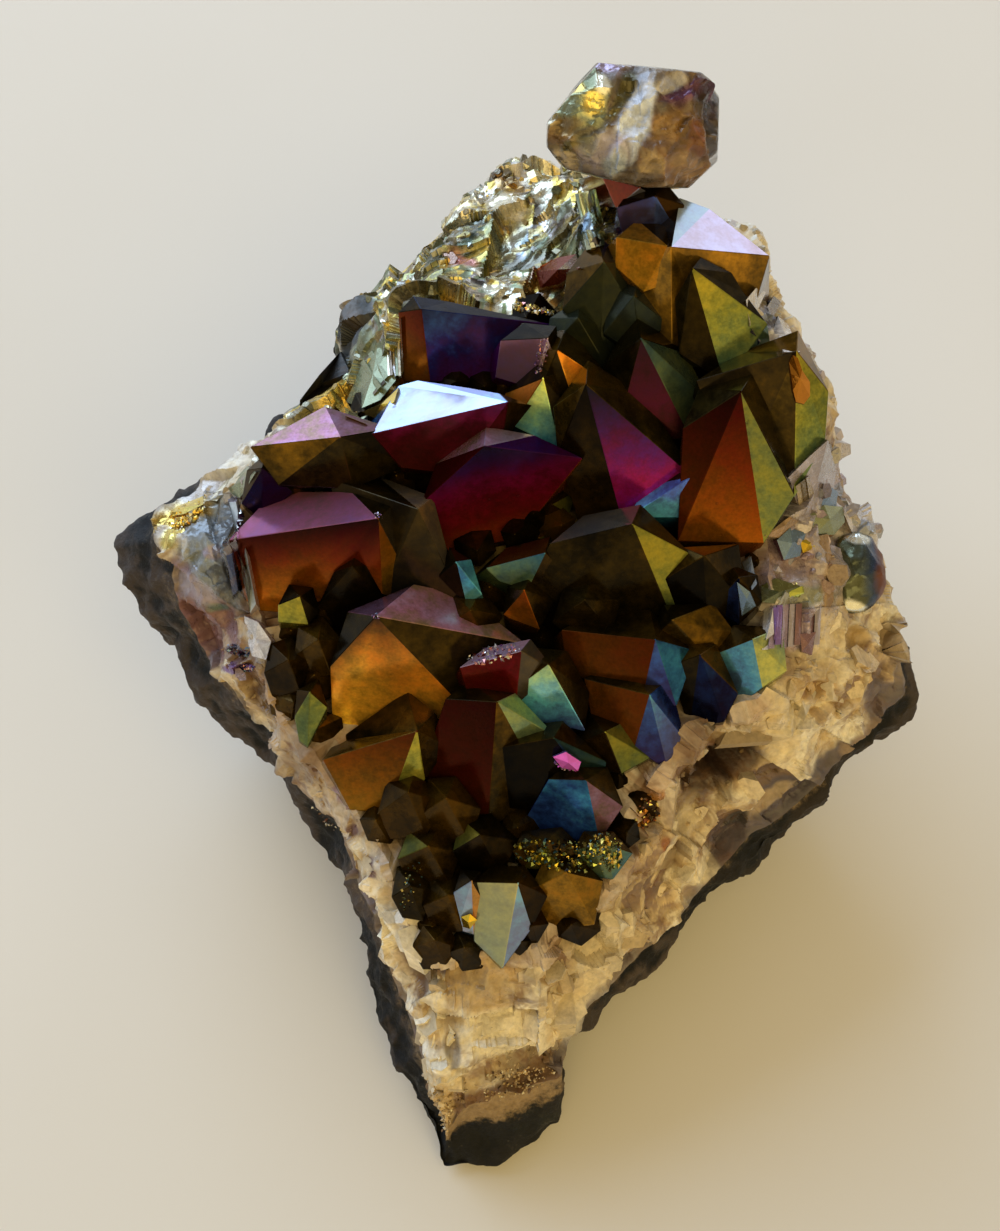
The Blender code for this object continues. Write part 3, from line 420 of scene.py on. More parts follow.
NORMAL_A, UPWARD_A, ACROSS_A, ORIGIN_A = map(np.array, (tuple(NORMAL), tuple(UPWARD), tuple(ACROSS), tuple(ORIGIN)))
EYE_A = ORIGIN_A + NORMAL_A * SIGHT_DISTANCE


def layout_of(points):
    """Layout X, Y and height in mm of world points, the inverse of place()."""
    rel = points - ORIGIN_A
    h = rel @ NORMAL_A
    shrink = 1.0 - h / SIGHT_DISTANCE
    x = (rel @ ACROSS_A) / shrink / GRID + CENTRE[0]
    y = CENTRE[1] - (rel @ UPWARD_A) / shrink / GRID
    return x, y, h / MM


def smoothstep(a, b, x):
    t = np.clip((x - a) / (b - a), 0.0, 1.0)
    return t * t * (3.0 - 2.0 * t)


# ---------------------------------------------------------------- mesh helpers
def make_piece(name, verts, faces, material, sharp_deg=35.0, layers=None):
    """A closed mesh piece, with its colour attributes, one colour per point."""
    mesh = bpy.data.meshes.new(name)
    mesh.from_pydata([tuple(v) for v in verts], [], [tuple(f) for f in faces])
    mesh.update()
    bm = bmesh.new()
    bm.from_mesh(mesh)
    bmesh.ops.recalc_face_normals(bm, faces=bm.faces)
    bm.to_mesh(mesh)
    bm.free()
    for title, values in (layers or {}).items():
        layer = mesh.color_attributes.new(title, "FLOAT_COLOR", "POINT")
        flat = np.ones((len(mesh.vertices), 4), np.float32)
        flat[:, :3] = values
        layer.data.foreach_set("color", flat.ravel())
    mesh.shade_smooth()
    mesh.set_sharp_from_angle(angle=math.radians(sharp_deg))
    obj = bpy.data.objects.new(name, mesh)
    bpy.context.scene.collection.objects.link(obj)
    mesh.materials.append(material)
    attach(obj, "root")
    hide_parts("druzy_shard")
    return obj


def faceted(name, verts, faces, material, corner_layers):
    """A closed mesh piece with flat faces; the layers give one colour per face."""
    mesh = bpy.data.meshes.new(name)
    mesh.from_pydata([tuple(v) for v in verts], [], [tuple(f) for f in faces])
    mesh.update()
    for title, values in corner_layers.items():
        layer = mesh.color_attributes.new(title, "FLOAT_COLOR", "CORNER")
        flat = np.ones((len(mesh.loops), 4), np.float32)
        for p in mesh.polygons:
            flat[p.loop_start : p.loop_start + p.loop_total, :3] = values[p.index]
        layer.data.foreach_set("color", flat.ravel())
    obj = bpy.data.objects.new(name, mesh)
    bpy.context.scene.collection.objects.link(obj)
    mesh.materials.append(material)
    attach(obj, "root")
    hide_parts("druzy_shard")
    return obj


class Heap:
    """Many small closed solids gathered in one mesh."""

    def __init__(self):
        self.verts, self.faces, self.tint, self.feel = [], [], [], []

    def add(self, verts, faces, tints, feels):
        b = len(self.verts)
        self.verts += [tuple(v) for v in verts]
        self.faces += [tuple(b + i for i in f) for f in faces]
        self.tint += list(tints)
        self.feel += list(feels)

    def done(self, name, material, slot):
        return faceted(name, self.verts, self.faces, material, {"tint": self.tint, "feel": self.feel})


def outward(verts, faces):
    """Turns the faces of a star-shaped solid outward."""
    middle = np.mean(verts, 0)
    out = []
    for f in faces:
        a, b, c = verts[f[0]], verts[f[1]], verts[f[2]]
        facing = np.dot(np.cross(b - a, c - a), np.mean([verts[i] for i in f], 0) - middle)
        out.append(tuple(f) if facing > 0 else tuple(reversed(f)))
    return out


# ---------------------------------------------------------------- rings of the matrix
def matrix_rings():
    rim = [place(*s[0]) for s in RIM]
    seam = [place(*s[1]) for s in RIM]
    edge = [place(*s[2]) for s in RIM]
    tip = min(rim, key=lambda p: p.y)
    patch, skirt, belly = [], [], []
    for p in rim:
        near_tip = math.exp(-((p - tip).length / 0.015) ** 2)
        share = REST_SHARE + FRONT_REACH * near_tip
        foot = REST_CENTRE + (Vector((p.x, p.y, 0.0)) - REST_CENTRE) * share
        foot.z = 0.0
        patch.append(foot)
        out = Vector((p.x - REST_CENTRE.x, p.y - REST_CENTRE.y, 0.0)).normalized()
        low = lerp(foot, p, 0.38) + out * (0.0022 * (1.0 - near_tip)) + rough(p, 0.009, 0.0012 * (1.0 - near_tip))
        low.z = max(low.z, 0.0006)
        skirt.append(low)
        mid = lerp(foot, p, 0.76) + out * (0.0020 * (1.0 - near_tip)) + rough(p, 0.006, 0.0009 * (1.0 - near_tip))
        mid.z = max(mid.z, 0.0009)
        belly.append(mid)
    band = [lerp(a, b, 0.5) + NORMAL * 0.0006 + rough(a, 0.004, 0.0006) for a, b in zip(seam, edge)]
    heart = sum(edge, Vector()) / len(edge)
    hollow = []
    for p in edge:
        q = lerp(p, heart, 0.22)
        high = (q - ORIGIN).dot(NORMAL)
        hollow.append(q + NORMAL * (FLOOR_LEVEL * MM - high))
    return {k: array(v) for k, v in dict(patch=patch, skirt=skirt, belly=belly, rim=rim, seam=seam, band=band, edge=edge, hollow=hollow).items()}


def around(rings, columns, soften=2):
    """The same stations, resampled evenly around the rim."""
    rim = rings["rim"]
    seg = np.linalg.norm(np.roll(rim, -1, 0) - rim, axis=1)
    cum = np.concatenate([[0.0], np.cumsum(seg)])
    s = np.linspace(0.0, cum[-1], columns, endpoint=False)
    i = np.searchsorted(cum, s, side="right") - 1
    f = ((s - cum[i]) / seg[i])[:, None]
    j = (i + 1) % len(rim)
    out = {}
    for name, ring in rings.items():
        q = ring[i] * (1.0 - f) + ring[j] * f
        for _ in range(soften):
            q = q * 0.5 + (np.roll(q, 1, 0) + np.roll(q, -1, 0)) * 0.25
        out[name] = q
    return out, i + f[:, 0]


def sweep(path, counts):
    """Rows between successive rings: an array of rows x columns x 3, and each row's share."""
    rows, share = [], []
    for n, (a, b) in enumerate(zip(path[:-1], path[1:])):
        for r in range(counts[n]):
            t = r / counts[n]
            rows.append(a * (1.0 - t) + b * t)
            share.append(n + t)
    rows.append(path[-1])
    share.append(float(len(path) - 1))
    return np.stack(rows), np.array(share)


def grid_normals(grid, closed):
    """Outward normals of a grid of rows x columns, by its own slopes."""
    if closed:
        du = np.roll(grid, -1, 1) - np.roll(grid, 1, 1)
    else:
        du = np.gradient(grid, axis=1)
    dv = np.gradient(grid, axis=0)
    n = np.cross(du, dv)
    length = np.linalg.norm(n, axis=2, keepdims=True)
    return n / np.maximum(length, 1e-12)


def grid_faces(rows, columns, closed, offset=0):
    last = columns if closed else columns - 1
    return [
        (offset + r * columns + c, offset + r * columns + (c + 1) % columns, offset + (r + 1) * columns + (c + 1) % columns, offset + (r + 1) * columns + c)
        for r in range(rows - 1) for c in range(last)
    ]


# ---------------------------------------------------------------- node material helpers
class Nodes:
    """Short names for building a node tree."""

    def __init__(self, name):
        self.material = bpy.data.materials.new(name)
        self.material.use_nodes = True
        self.tree = self.material.node_tree
        self.shader = self.tree.nodes["Principled BSDF"]
        self.links = self.tree.links

    def node(self, kind, **settings):
        n = self.tree.nodes.new(kind)
        for k, v in settings.items():
            setattr(n, k, v)
        return n

    def put(self, socket, value):
        if isinstance(value, bpy.types.NodeSocket):
            self.links.new(value, socket)
        elif value is not None:
            socket.default_value = value

    def coords(self):
        return self.node("ShaderNodeTexCoord").outputs["Object"]

    def scaled(self, factors, vector=None):
        m = self.node("ShaderNodeMapping")
        self.put(m.inputs["Vector"], vector or self.coords())
        m.inputs["Scale"].default_value = factors
        return m.outputs["Vector"]

    def noise(self, scale, detail=4.0, rough=0.55, vector=None, distortion=0.0, colour=False):
        n = self.node("ShaderNodeTexNoise")
        self.put(n.inputs["Vector"], vector or self.coords())
        n.inputs["Scale"].default_value = scale
        n.inputs["Detail"].default_value = detail
        n.inputs["Roughness"].default_value = rough
        n.inputs["Distortion"].default_value = distortion
        return n.outputs["Color" if colour else "Fac"]

    def voronoi(self, scale, feature="F1", vector=None, out="Distance", randomness=1.0):
        n = self.node("ShaderNodeTexVoronoi", feature=feature)
        self.put(n.inputs["Vector"], vector or self.coords())
        n.inputs["Scale"].default_value = scale
        n.inputs["Randomness"].default_value = randomness
        return n.outputs[out]

    def math(self, op, a, b=0.0, c=None, clamp=False):
        n = self.node("ShaderNodeMath", operation=op, use_clamp=clamp)
        self.put(n.inputs[0], a)
        self.put(n.inputs[1], b)
        if c is not None:
            self.put(n.inputs[2], c)
        return n.outputs[0]

    def ramp(self, fac, stops, interpolation="LINEAR"):
        n = self.node("ShaderNodeValToRGB")
        n.color_ramp.interpolation = interpolation
        e = n.color_ramp.elements
        while len(e) > 1:
            e.remove(e[-1])
        e[0].position, e[0].color = stops[0][0], (*stops[0][1], 1.0)
        for pos, col in stops[1:]:
            x = e.new(pos)
            x.color = (*col, 1.0)
        self.put(n.inputs["Fac"], fac)
        return n.outputs["Color"]

    def span(self, value, a, b, lo=0.0, hi=1.0, smooth=True):
        n = self.node("ShaderNodeMapRange", interpolation_type="SMOOTHSTEP" if smooth else "LINEAR")
        self.put(n.inputs["Value"], value)
        n.inputs["From Min"].default_value = a
        n.inputs["From Max"].default_value = b
        n.inputs["To Min"].default_value = lo
        n.inputs["To Max"].default_value = hi
        return n.outputs["Result"]

    def mix(self, fac, a, b, blend="MIX"):
        n = self.node("ShaderNodeMix", data_type="RGBA", blend_type=blend)
        self.put(n.inputs[0], fac)
        self.put(n.inputs[6], a if isinstance(a, bpy.types.NodeSocket) else (*a, 1.0))
        self.put(n.inputs[7], b if isinstance(b, bpy.types.NodeSocket) else (*b, 1.0))
        return n.outputs[2]

    def attribute(self, name):
        n = self.node("ShaderNodeAttribute", attribute_type="GEOMETRY", attribute_name=name)
        s = self.node("ShaderNodeSeparateColor")
        self.links.new(n.outputs["Color"], s.inputs["Color"])
        return s.outputs["Red"], s.outputs["Green"], s.outputs["Blue"]

    def tint(self, name):
        return self.node("ShaderNodeAttribute", attribute_type="GEOMETRY", attribute_name=name).outputs["Color"]

    def grey(self, value):
        n = self.node("ShaderNodeCombineColor")
        for s in n.inputs[:3]:
            self.put(s, value)
        return n.outputs["Color"]

    def bump(self, height, strength, distance, normal=None):
        n = self.node("ShaderNodeBump")
        n.inputs["Strength"].default_value = strength
        n.inputs["Distance"].default_value = distance
        self.put(n.inputs["Height"], height)
        if normal is not None:
            self.put(n.inputs["Normal"], normal)
        return n.outputs["Normal"]

    def set(self, **values):
        for k, v in values.items():
            self.put(self.shader.inputs[k.replace("_", " ")], v)
        return self.material


def srgb(r, g, b):
    """A colour given as it looks on screen, 0 to 255, made linear."""
    return tuple(((c / 255.0) / 12.92 if c <= 10.3 else ((c / 255.0 + 0.055) / 1.055) ** 2.4) for c in (r, g, b))



# ---------------------------------------------------------------- materials
# The film's interference colours, from the thinnest to the thickest.
FILM_RAMP = [
    (0.00, srgb(52, 44, 22)),
    (0.07, srgb(104, 84, 32)),
    (0.14, srgb(186, 138, 40)),
    (0.21, srgb(194, 112, 24)),
    (0.28, srgb(160, 66, 18)),
    (0.34, srgb(122, 26, 18)),
    (0.40, srgb(126, 8, 40)),
    (0.46, srgb(146, 4, 86)),
    (0.52, srgb(88, 12, 100)),
    (0.58, srgb(34, 28, 116)),
    (0.64, srgb(48, 92, 184)),
    (0.70, srgb(76, 172, 216)),
    (0.76, srgb(132, 176, 138)),
    (0.82, srgb(170, 178, 84)),
    (0.88, srgb(200, 182, 62)),
    (0.93, srgb(206, 142, 168)),
    (1.00, srgb(186, 184, 240)),
]


def film_material(name, roughness=(0.16, 0.34), bump=0.25):
    """Quartz faces under the metal film: red is the film's thickness, green the brightness, partly the film's own tone
    and partly painted light and shade, and blue the share of white, partly the film's pale colour and partly a painted
    reflection of the window."""
    m = Nodes(name)
    thickness, tone_and_painted_light, pale = m.attribute("film")
    broad = m.noise(230.0, 3.0, 0.55, distortion=0.3)
    fine = m.noise(1300.0, 3.0, 0.65)
    shift = m.math("ADD", m.math("MULTIPLY", m.math("SUBTRACT", broad, 0.5), 0.15), m.math("MULTIPLY", m.math("SUBTRACT", fine, 0.5), 0.07))
    t = m.math("ADD", thickness, shift, clamp=True)
    colour = m.ramp(t, FILM_RAMP)
    speckle = m.noise(4200.0, 2.0, 0.6)
    cloud = m.math("ADD", m.math("MULTIPLY", broad, 0.45), m.math("ADD", m.math("MULTIPLY", fine, 0.35), m.math("MULTIPLY", speckle, 0.2)))
    # green: brightness, partly the film's own tone and partly painted light and shade
    tone = m.math("MULTIPLY", tone_and_painted_light, m.span(cloud, 0.32, 0.68, 0.48, 1.30))
    colour = m.mix(1.0, colour, m.grey(tone), blend="MULTIPLY")
    # blue: share of white, partly the film's pale colour and partly a painted reflection of the window on the roofs
    colour = m.mix(pale, colour, srgb(226, 222, 230))
    pits = m.span(m.voronoi(900.0), 0.0, 0.22, 1.0, 0.0)
    pits = m.math("MULTIPLY", pits, m.span(m.noise(420.0, 2.0), 0.55, 0.7))
    colour = m.mix(m.math("MULTIPLY", pits, 0.55), colour, srgb(30, 22, 14))
    waves = m.noise(240.0, 2.0, 0.5)
    height = m.math("ADD", m.math("MULTIPLY", waves, 2.2), m.math("MULTIPLY", fine, 0.35))
    height = m.math("SUBTRACT", height, m.math("MULTIPLY", pits, 0.5))
    m.set(Base_Color=colour, Metallic=0.62, Roughness=m.span(m.math("ADD", m.math("MULTIPLY", fine, 0.7), m.math("MULTIPLY", pits, 0.5)), 0.2, 0.9, roughness[0], roughness[1]),
          Normal=m.bump(height, bump, 0.00010))
    m.shader.inputs["Specular IOR Level"].default_value = 0.12
    return m.material


def basalt_material():
    """Dark rind: red is how close the quartz seam is, green the weathering, blue the height of the small ridges, which
    brings out rust-brown on the ridge tops as a painted highlight."""
    m = Nodes("basalt_rind")
    seam, weather, ridge_height_highlight = m.attribute("film")
    big = m.noise(110.0, 5.0, 0.6)
    grain = m.noise(1500.0, 5.0, 0.7)
    colour = m.ramp(m.math("ADD", m.math("MULTIPLY", big, 0.5), m.math("MULTIPLY", grain, 0.5)), [
        (0.28, srgb(4, 5, 6)), (0.45, srgb(11, 12, 13)), (0.58, srgb(24, 25, 27)), (0.72, srgb(66, 66, 64))])
    green = m.span(m.noise(160.0, 4.0, 0.6, distortion=1.0), 0.56, 0.72)
    colour = m.mix(m.math("MULTIPLY", green, 0.35), colour, srgb(30, 38, 34))
    # rust-brown where weathered, more on the ridge tops: weathering, and a painted highlight on the ridges
    rust = m.span(m.math("ADD", m.math("MULTIPLY", m.noise(240.0, 4.0, 0.65, distortion=0.6), 0.6), m.math("MULTIPLY", ridge_height_highlight, 0.4)), 0.46, 0.60)
    rust = m.math("MULTIPLY", rust, weather, clamp=True)
    colour = m.mix(m.math("MULTIPLY", rust, 0.66), colour, srgb(112, 98, 90))
    speckled = m.span(m.math("ADD", m.math("MULTIPLY", m.noise(900.0, 5.0, 0.75), 0.6), m.math("MULTIPLY", seam, 0.45)), 0.50, 0.74)
    colour = m.mix(m.math("MULTIPLY", speckled, m.span(seam, 0.1, 0.6)), colour, m.mix(m.noise(1900.0, 3.0), srgb(96, 76, 54), srgb(184, 160, 124)))
    dots = m.math("MULTIPLY", m.span(m.voronoi(1100.0), 0.0, 0.16, 1.0, 0.0), 0.35)
    colour = m.mix(dots, colour, srgb(104, 100, 90))
    height = m.math("ADD", m.math("MULTIPLY", grain, 0.8), m.math("MULTIPLY", m.noise(420.0, 3.0), 0.9))
    m.set(Base_Color=colour, Metallic=0.0, Roughness=m.span(grain, 0.3, 0.7, 0.48, 0.85), Normal=m.bump(height, 0.95, 0.00030))
    m.shader.inputs["Specular IOR Level"].default_value = 0.25
    return m.material


def broken_material(name, subsurface, bump, mottle=(0.74, 1.20)):
    """Broken quartz: the painted tint, which carries painted shade in the hollows of the band and the knob, mottled,
    stained and pitted. Of the second attribute, red is the share of film, green the roughness and blue the stain."""
    m = Nodes(name)
    tint = m.tint("tint")
    film, rough_at, stain = m.attribute("feel")
    big = m.noise(170.0, 3.0, 0.6, distortion=0.4)
    mid = m.noise(620.0, 3.0, 0.65)
    fine = m.noise(2300.0, 2.0, 0.7)
    tone = m.math("ADD", m.math("MULTIPLY", big, 0.3), m.math("ADD", m.math("MULTIPLY", mid, 0.4), m.math("MULTIPLY", fine, 0.3)))
    colour = m.mix(1.0, tint, m.grey(m.span(tone, 0.32, 0.68, mottle[0], mottle[1])), blend="MULTIPLY")
    brown = m.math("MULTIPLY", m.span(m.noise(360.0, 3.0, 0.7, distortion=0.8), 0.46, 0.66), stain, clamp=True)
    colour = m.mix(m.math("MULTIPLY", brown, 0.85), colour, srgb(112, 76, 42))
    pits = m.math("MULTIPLY", m.span(m.voronoi(700.0), 0.0, 0.2, 1.0, 0.0), m.span(m.noise(260.0, 3.0), 0.58, 0.68))
    pits = m.math("MULTIPLY", pits, m.math("ADD", stain, 0.2), clamp=True)
    colour = m.mix(m.math("MULTIPLY", pits, 0.75), colour, srgb(66, 46, 32))
    height = m.math("ADD", m.math("MULTIPLY", mid, 0.9), m.math("MULTIPLY", fine, 0.35))
    height = m.math("SUBTRACT", height, m.math("MULTIPLY", pits, 1.0))
    m.set(Base_Color=colour, Metallic=film, Roughness=m.math("ADD", rough_at, m.span(fine, 0.3, 0.7, -0.08, 0.10), clamp=True), Normal=m.bump(height, bump, 0.00014))
    m.shader.inputs["IOR"].default_value = 1.54
    if subsurface:
        m.shader.inputs["Subsurface Weight"].default_value = subsurface
        m.shader.inputs["Subsurface Radius"].default_value = (1.0, 0.78, 0.55)
        m.shader.inputs["Subsurface Scale"].default_value = 0.0012
    return m.material


def glass_material(name, tint, absorb, density, roughness=(0.04, 0.22), bump=0.35):
    """See-through quartz: plain transmission, index and absorption."""
    m = Nodes(name)
    mid = m.noise(500.0, 5.0, 0.65, distortion=0.5)
    fine = m.noise(2200.0, 3.0, 0.7)
    colour = m.mix(m.span(mid, 0.35, 0.65), tuple(c * 0.86 for c in tint), tint)
    m.set(Base_Color=colour, Roughness=m.span(mid, 0.35, 0.70, roughness[0], roughness[1]), Normal=m.bump(m.math("ADD", mid, m.math("MULTIPLY", fine, 0.3)), bump, 0.00012))
    m.shader.inputs["Transmission Weight"].default_value = 1.0
    m.shader.inputs["IOR"].default_value = 1.54
    volume = m.node("ShaderNodeVolumeAbsorption")
    volume.inputs["Color"].default_value = (*absorb, 1.0)
    volume.inputs["Density"].default_value = density
    m.links.new(volume.outputs["Volume"], m.tree.nodes["Material Output"].inputs["Volume"])
    return m.material


def floor_material():
    m = Nodes("floor")
    soft = m.noise(7.0, 3.0, 0.5)
    fibre = m.noise(700.0, 3.0, 0.6)
    colour = m.mix(m.span(soft, 0.3, 0.7), srgb(224, 221, 215), srgb(218, 214, 206))
    m.set(Base_Color=colour, Roughness=0.65, Normal=m.bump(fibre, 0.05, 0.0001))
    m.shader.inputs["Specular IOR Level"].default_value = 0.2
    return m.material


BASALT = basalt_material()
QUARTZ = broken_material("quartz_band", 0.0, 0.85, mottle=(0.66, 1.22))
RIDGE = broken_material("crinkled_ridge", 0.0, 0.6, mottle=(0.62, 1.24))
GRAINS = broken_material("crystal_grains", 0.0, 0.2, mottle=(0.85, 1.15))
FILM = film_material("coated_points")
CLEAR = glass_material("clear_quartz", srgb(250, 248, 244), srgb(220, 204, 180), 40.0, roughness=(0.01, 0.05), bump=0.10)

# ---------------------------------------------------------------- tints
TINTS = {name: np.array(srgb(*value)) for name, value in {
    "milk": (236, 226, 198), "cream": (218, 202, 166), "tan": (190, 168, 134), "straw": (198, 172, 124), "honey": (186, 156, 104),
    "fawn": (160, 134, 106), "earth": (112, 84, 54), "umber": (74, 52, 34), "rust": (132, 70, 36), "amber": (176, 112, 30),
    "mauve": (128, 96, 100), "lilac": (164, 146, 164), "violet": (128, 98, 160), "plum": (84, 46, 78), "slate": (84, 76, 84),
    "pearl": (206, 202, 200), "snow": (210, 222, 246), "ice": (168, 180, 190), "steel": (104, 128, 158), "navy": (36, 50, 88), "teal": (66, 96, 96),
    "moss": (98, 102, 66), "olive": (92, 84, 40), "gold": (214, 184, 92), "foil": (236, 214, 120), "silver": (222, 218, 196),
    "lime": (186, 196, 104), "yellow": (214, 184, 58), "black": (26, 24, 20), "bark": (78, 68, 56), "rose": (214, 150, 146),
    "oxblood": (108, 40, 24), "sage": (132, 140, 112), "taupe": (166, 152, 130), "smoke": (124, 112, 98), "ochre": (160, 118, 48),
    "soot": (46, 50, 50), "pitch": (40, 26, 18), "haze": (160, 152, 164), "glass": (122, 136, 150), "fuchsia": (232, 112, 244),
}.items()}

# Stains, coatings and pockets on the broken faces. Layout position, half lengths, turn of the
# first half length (clockwise, degrees), tint, strength, share of film, roughness, stain.
BAND_SPOTS = [
    (820, 540, 62, 104, 8, "haze", 0.82, 0.30, 0.20, 0.10),
    (214, 545, 34, 66, -14, "glass", 0.90, 0.20, 0.18, 0.00),
    (478, 984, 46, 34, 0, "honey", 0.80, 0.0, 0.34, 0.10),
    (500, 1036, 46, 24, 0, "milk", 0.85, 0.0, 0.30, 0.05),
    (590, 968, 54, 20, -50, "cream", 0.85, 0.0, 0.34, 0.10),
    (570, 932, 44, 14, -35, "fawn", 0.75, 0.0, 0.40, 0.45),
    (512, 1092, 72, 15, -14, "earth", 0.92, 0.0, 0.62, 0.90),
    (444, 1108, 9, 34, 0, "straw", 0.80, 0.0, 0.45, 0.60),
    (452, 1046, 9, 16, 0, "umber", 0.60, 0.1, 0.30, 0.80),
    (388, 928, 9, 26, -22, "milk", 0.85, 0.0, 0.34, 0.05),
    (432, 994, 11, 22, -30, "milk", 0.80, 0.0, 0.34, 0.05),
    (376, 866, 5, 13, -15, "plum", 0.90, 0.3, 0.25, 0.20),
    (330, 790, 60, 90, -35, "fawn", 0.50, 0.0, 0.40, 0.80),
    (342, 796, 8, 12, -30, "violet", 0.55, 0.2, 0.35, 0.20),
    (354, 830, 5, 8, -30, "plum", 0.80, 0.2, 0.35, 0.20),
    (306, 760, 12, 26, -35, "earth", 0.60, 0.0, 0.50, 0.95),
    (282, 716, 14, 16, 0, "fawn", 0.60, 0.0, 0.45, 0.50),
    (262, 640, 11, 24, -15, "pearl", 0.90, 0.1, 0.28, 0.05),
    (186, 602, 24, 56, -20, "mauve", 0.95, 0.20, 0.36, 0.00),
    (178, 582, 9, 26, -24, "smoke", 0.80, 0.20, 0.40, 0.00),
    (222, 628, 18, 42, -32, "mauve", 0.92, 0.25, 0.32, 0.50),
    (205, 607, 17, 5, 22, "teal", 0.85, 0.3, 0.30, 0.10),
    (216, 636, 22, 5, 38, "tan", 0.80, 0.0, 0.45, 0.40),
    (238, 650, 12, 6, 10, "navy", 0.85, 0.6, 0.20, 0.00),
    (238, 667, 15, 5, 4, "violet", 0.95, 0.8, 0.16, 0.00),
    (228, 684, 18, 6, 12, "straw", 0.80, 0.2, 0.30, 0.30),
    (222, 506, 16, 14, 0, "ice", 0.70, 0.12, 0.20, 0.05),
    (196, 588, 28, 13, 38, "haze", 0.80, 0.1, 0.35, 0.10),
    (200, 628, 18, 40, -32, "mauve", 0.92, 0.2, 0.34, 0.20),
    (232, 577, 5, 20, -14, "navy", 0.95, 0.3, 0.20, 0.00),
    (216, 552, 10, 7, 0, "lilac", 0.60, 0.1, 0.25, 0.20),
    (182, 516, 32, 12, -32, "gold", 0.95, 0.92, 0.20, 0.00),
    (176, 538, 9, 10, 0, "foil", 0.95, 0.92, 0.16, 0.00),
    (206, 486, 30, 9, -32, "pearl", 0.80, 0.20, 0.30, 0.10),
    (262, 460, 20, 10, -40, "silver", 0.80, 0.60, 0.24, 0.00),
    (722, 764, 54, 27, -34, "umber", 0.97, 0.0, 0.50, 0.60),
    (726, 762, 44, 20, -36, "pitch", 0.98, 0.0, 0.50, 0.10),
    (690, 746, 14, 34, 30, "earth", 0.70, 0.0, 0.42, 0.95),
    (654, 812, 18, 22, 0, "amber", 0.85, 0.25, 0.22, 0.60),
    (634, 838, 22, 10, -40, "umber", 0.75, 0.1, 0.35, 0.80),
    (661, 840, 7, 11, 0, "rust", 0.85, 0.2, 0.20, 0.20),
    # pale quartz, with a painted highlight on the raised knob
    (696, 872, 30, 14, -45, "milk", 0.80, 0.0, 0.34, 0.10),
    (690, 826, 26, 10, -40, "cream", 0.60, 0.0, 0.36, 0.10),
    # pale quartz, with a painted highlight on the raised knob
    (780, 716, 20, 40, 10, "cream", 0.80, 0.0, 0.36, 0.15),
    (818, 690, 22, 14, 0, "ochre", 0.50, 0.0, 0.40, 0.80),
    (808, 780, 116, 16, -39, "slate", 0.94, 0.0, 0.50, 0.06),
    (866, 728, 34, 9, -36, "fawn", 0.60, 0.0, 0.50, 0.60),
    (884, 700, 30, 18, -32, "slate", 0.90, 0.0, 0.50, 0.30),
    (776, 800, 40, 5, -40, "tan", 0.60, 0.0, 0.50, 0.60),
    (728, 838, 18, 13, -30, "slate", 0.92, 0.0, 0.50, 0.30),
    (742, 826, 14, 7, -40, "soot", 0.80, 0.0, 0.50, 0.30),
    (856, 640, 13, 18, 0, "honey", 0.80, 0.0, 0.36, 0.70),
    (884, 640, 10, 24, 0, "tan", 0.60, 0.0, 0.36, 0.20),
    (820, 640, 40, 30, 0, "cream", 0.50, 0.0, 0.36, 0.10),
    (790, 628, 32, 28, 0, "lilac", 0.85, 0.35, 0.24, 0.05),
    (782, 562, 34, 26, 0, "mauve", 0.50, 0.25, 0.24, 0.20),
    (800, 596, 36, 12, 0, "sage", 0.70, 0.55, 0.20, 0.00),
    (824, 576, 8, 44, 0, "fawn", 0.85, 0.10, 0.30, 0.40),
    (812, 500, 26, 30, -35, "haze", 0.85, 0.20, 0.20, 0.10),
    (826, 498, 10, 11, 0, "steel", 0.85, 0.40, 0.22, 0.00),
    (850, 520, 14, 34, -35, "pearl", 0.85, 0.10, 0.22, 0.00),
    (766, 520, 14, 24, 0, "fawn", 0.60, 0.20, 0.26, 0.20),
    (806, 370, 12, 60, 0, "taupe", 0.70, 0.12, 0.26, 0.10),
    (768, 310, 14, 34, -25, "smoke", 0.80, 0.20, 0.26, 0.10),
    (764, 322, 6, 24, 22, "navy", 0.75, 0.30, 0.20, 0.00),
]
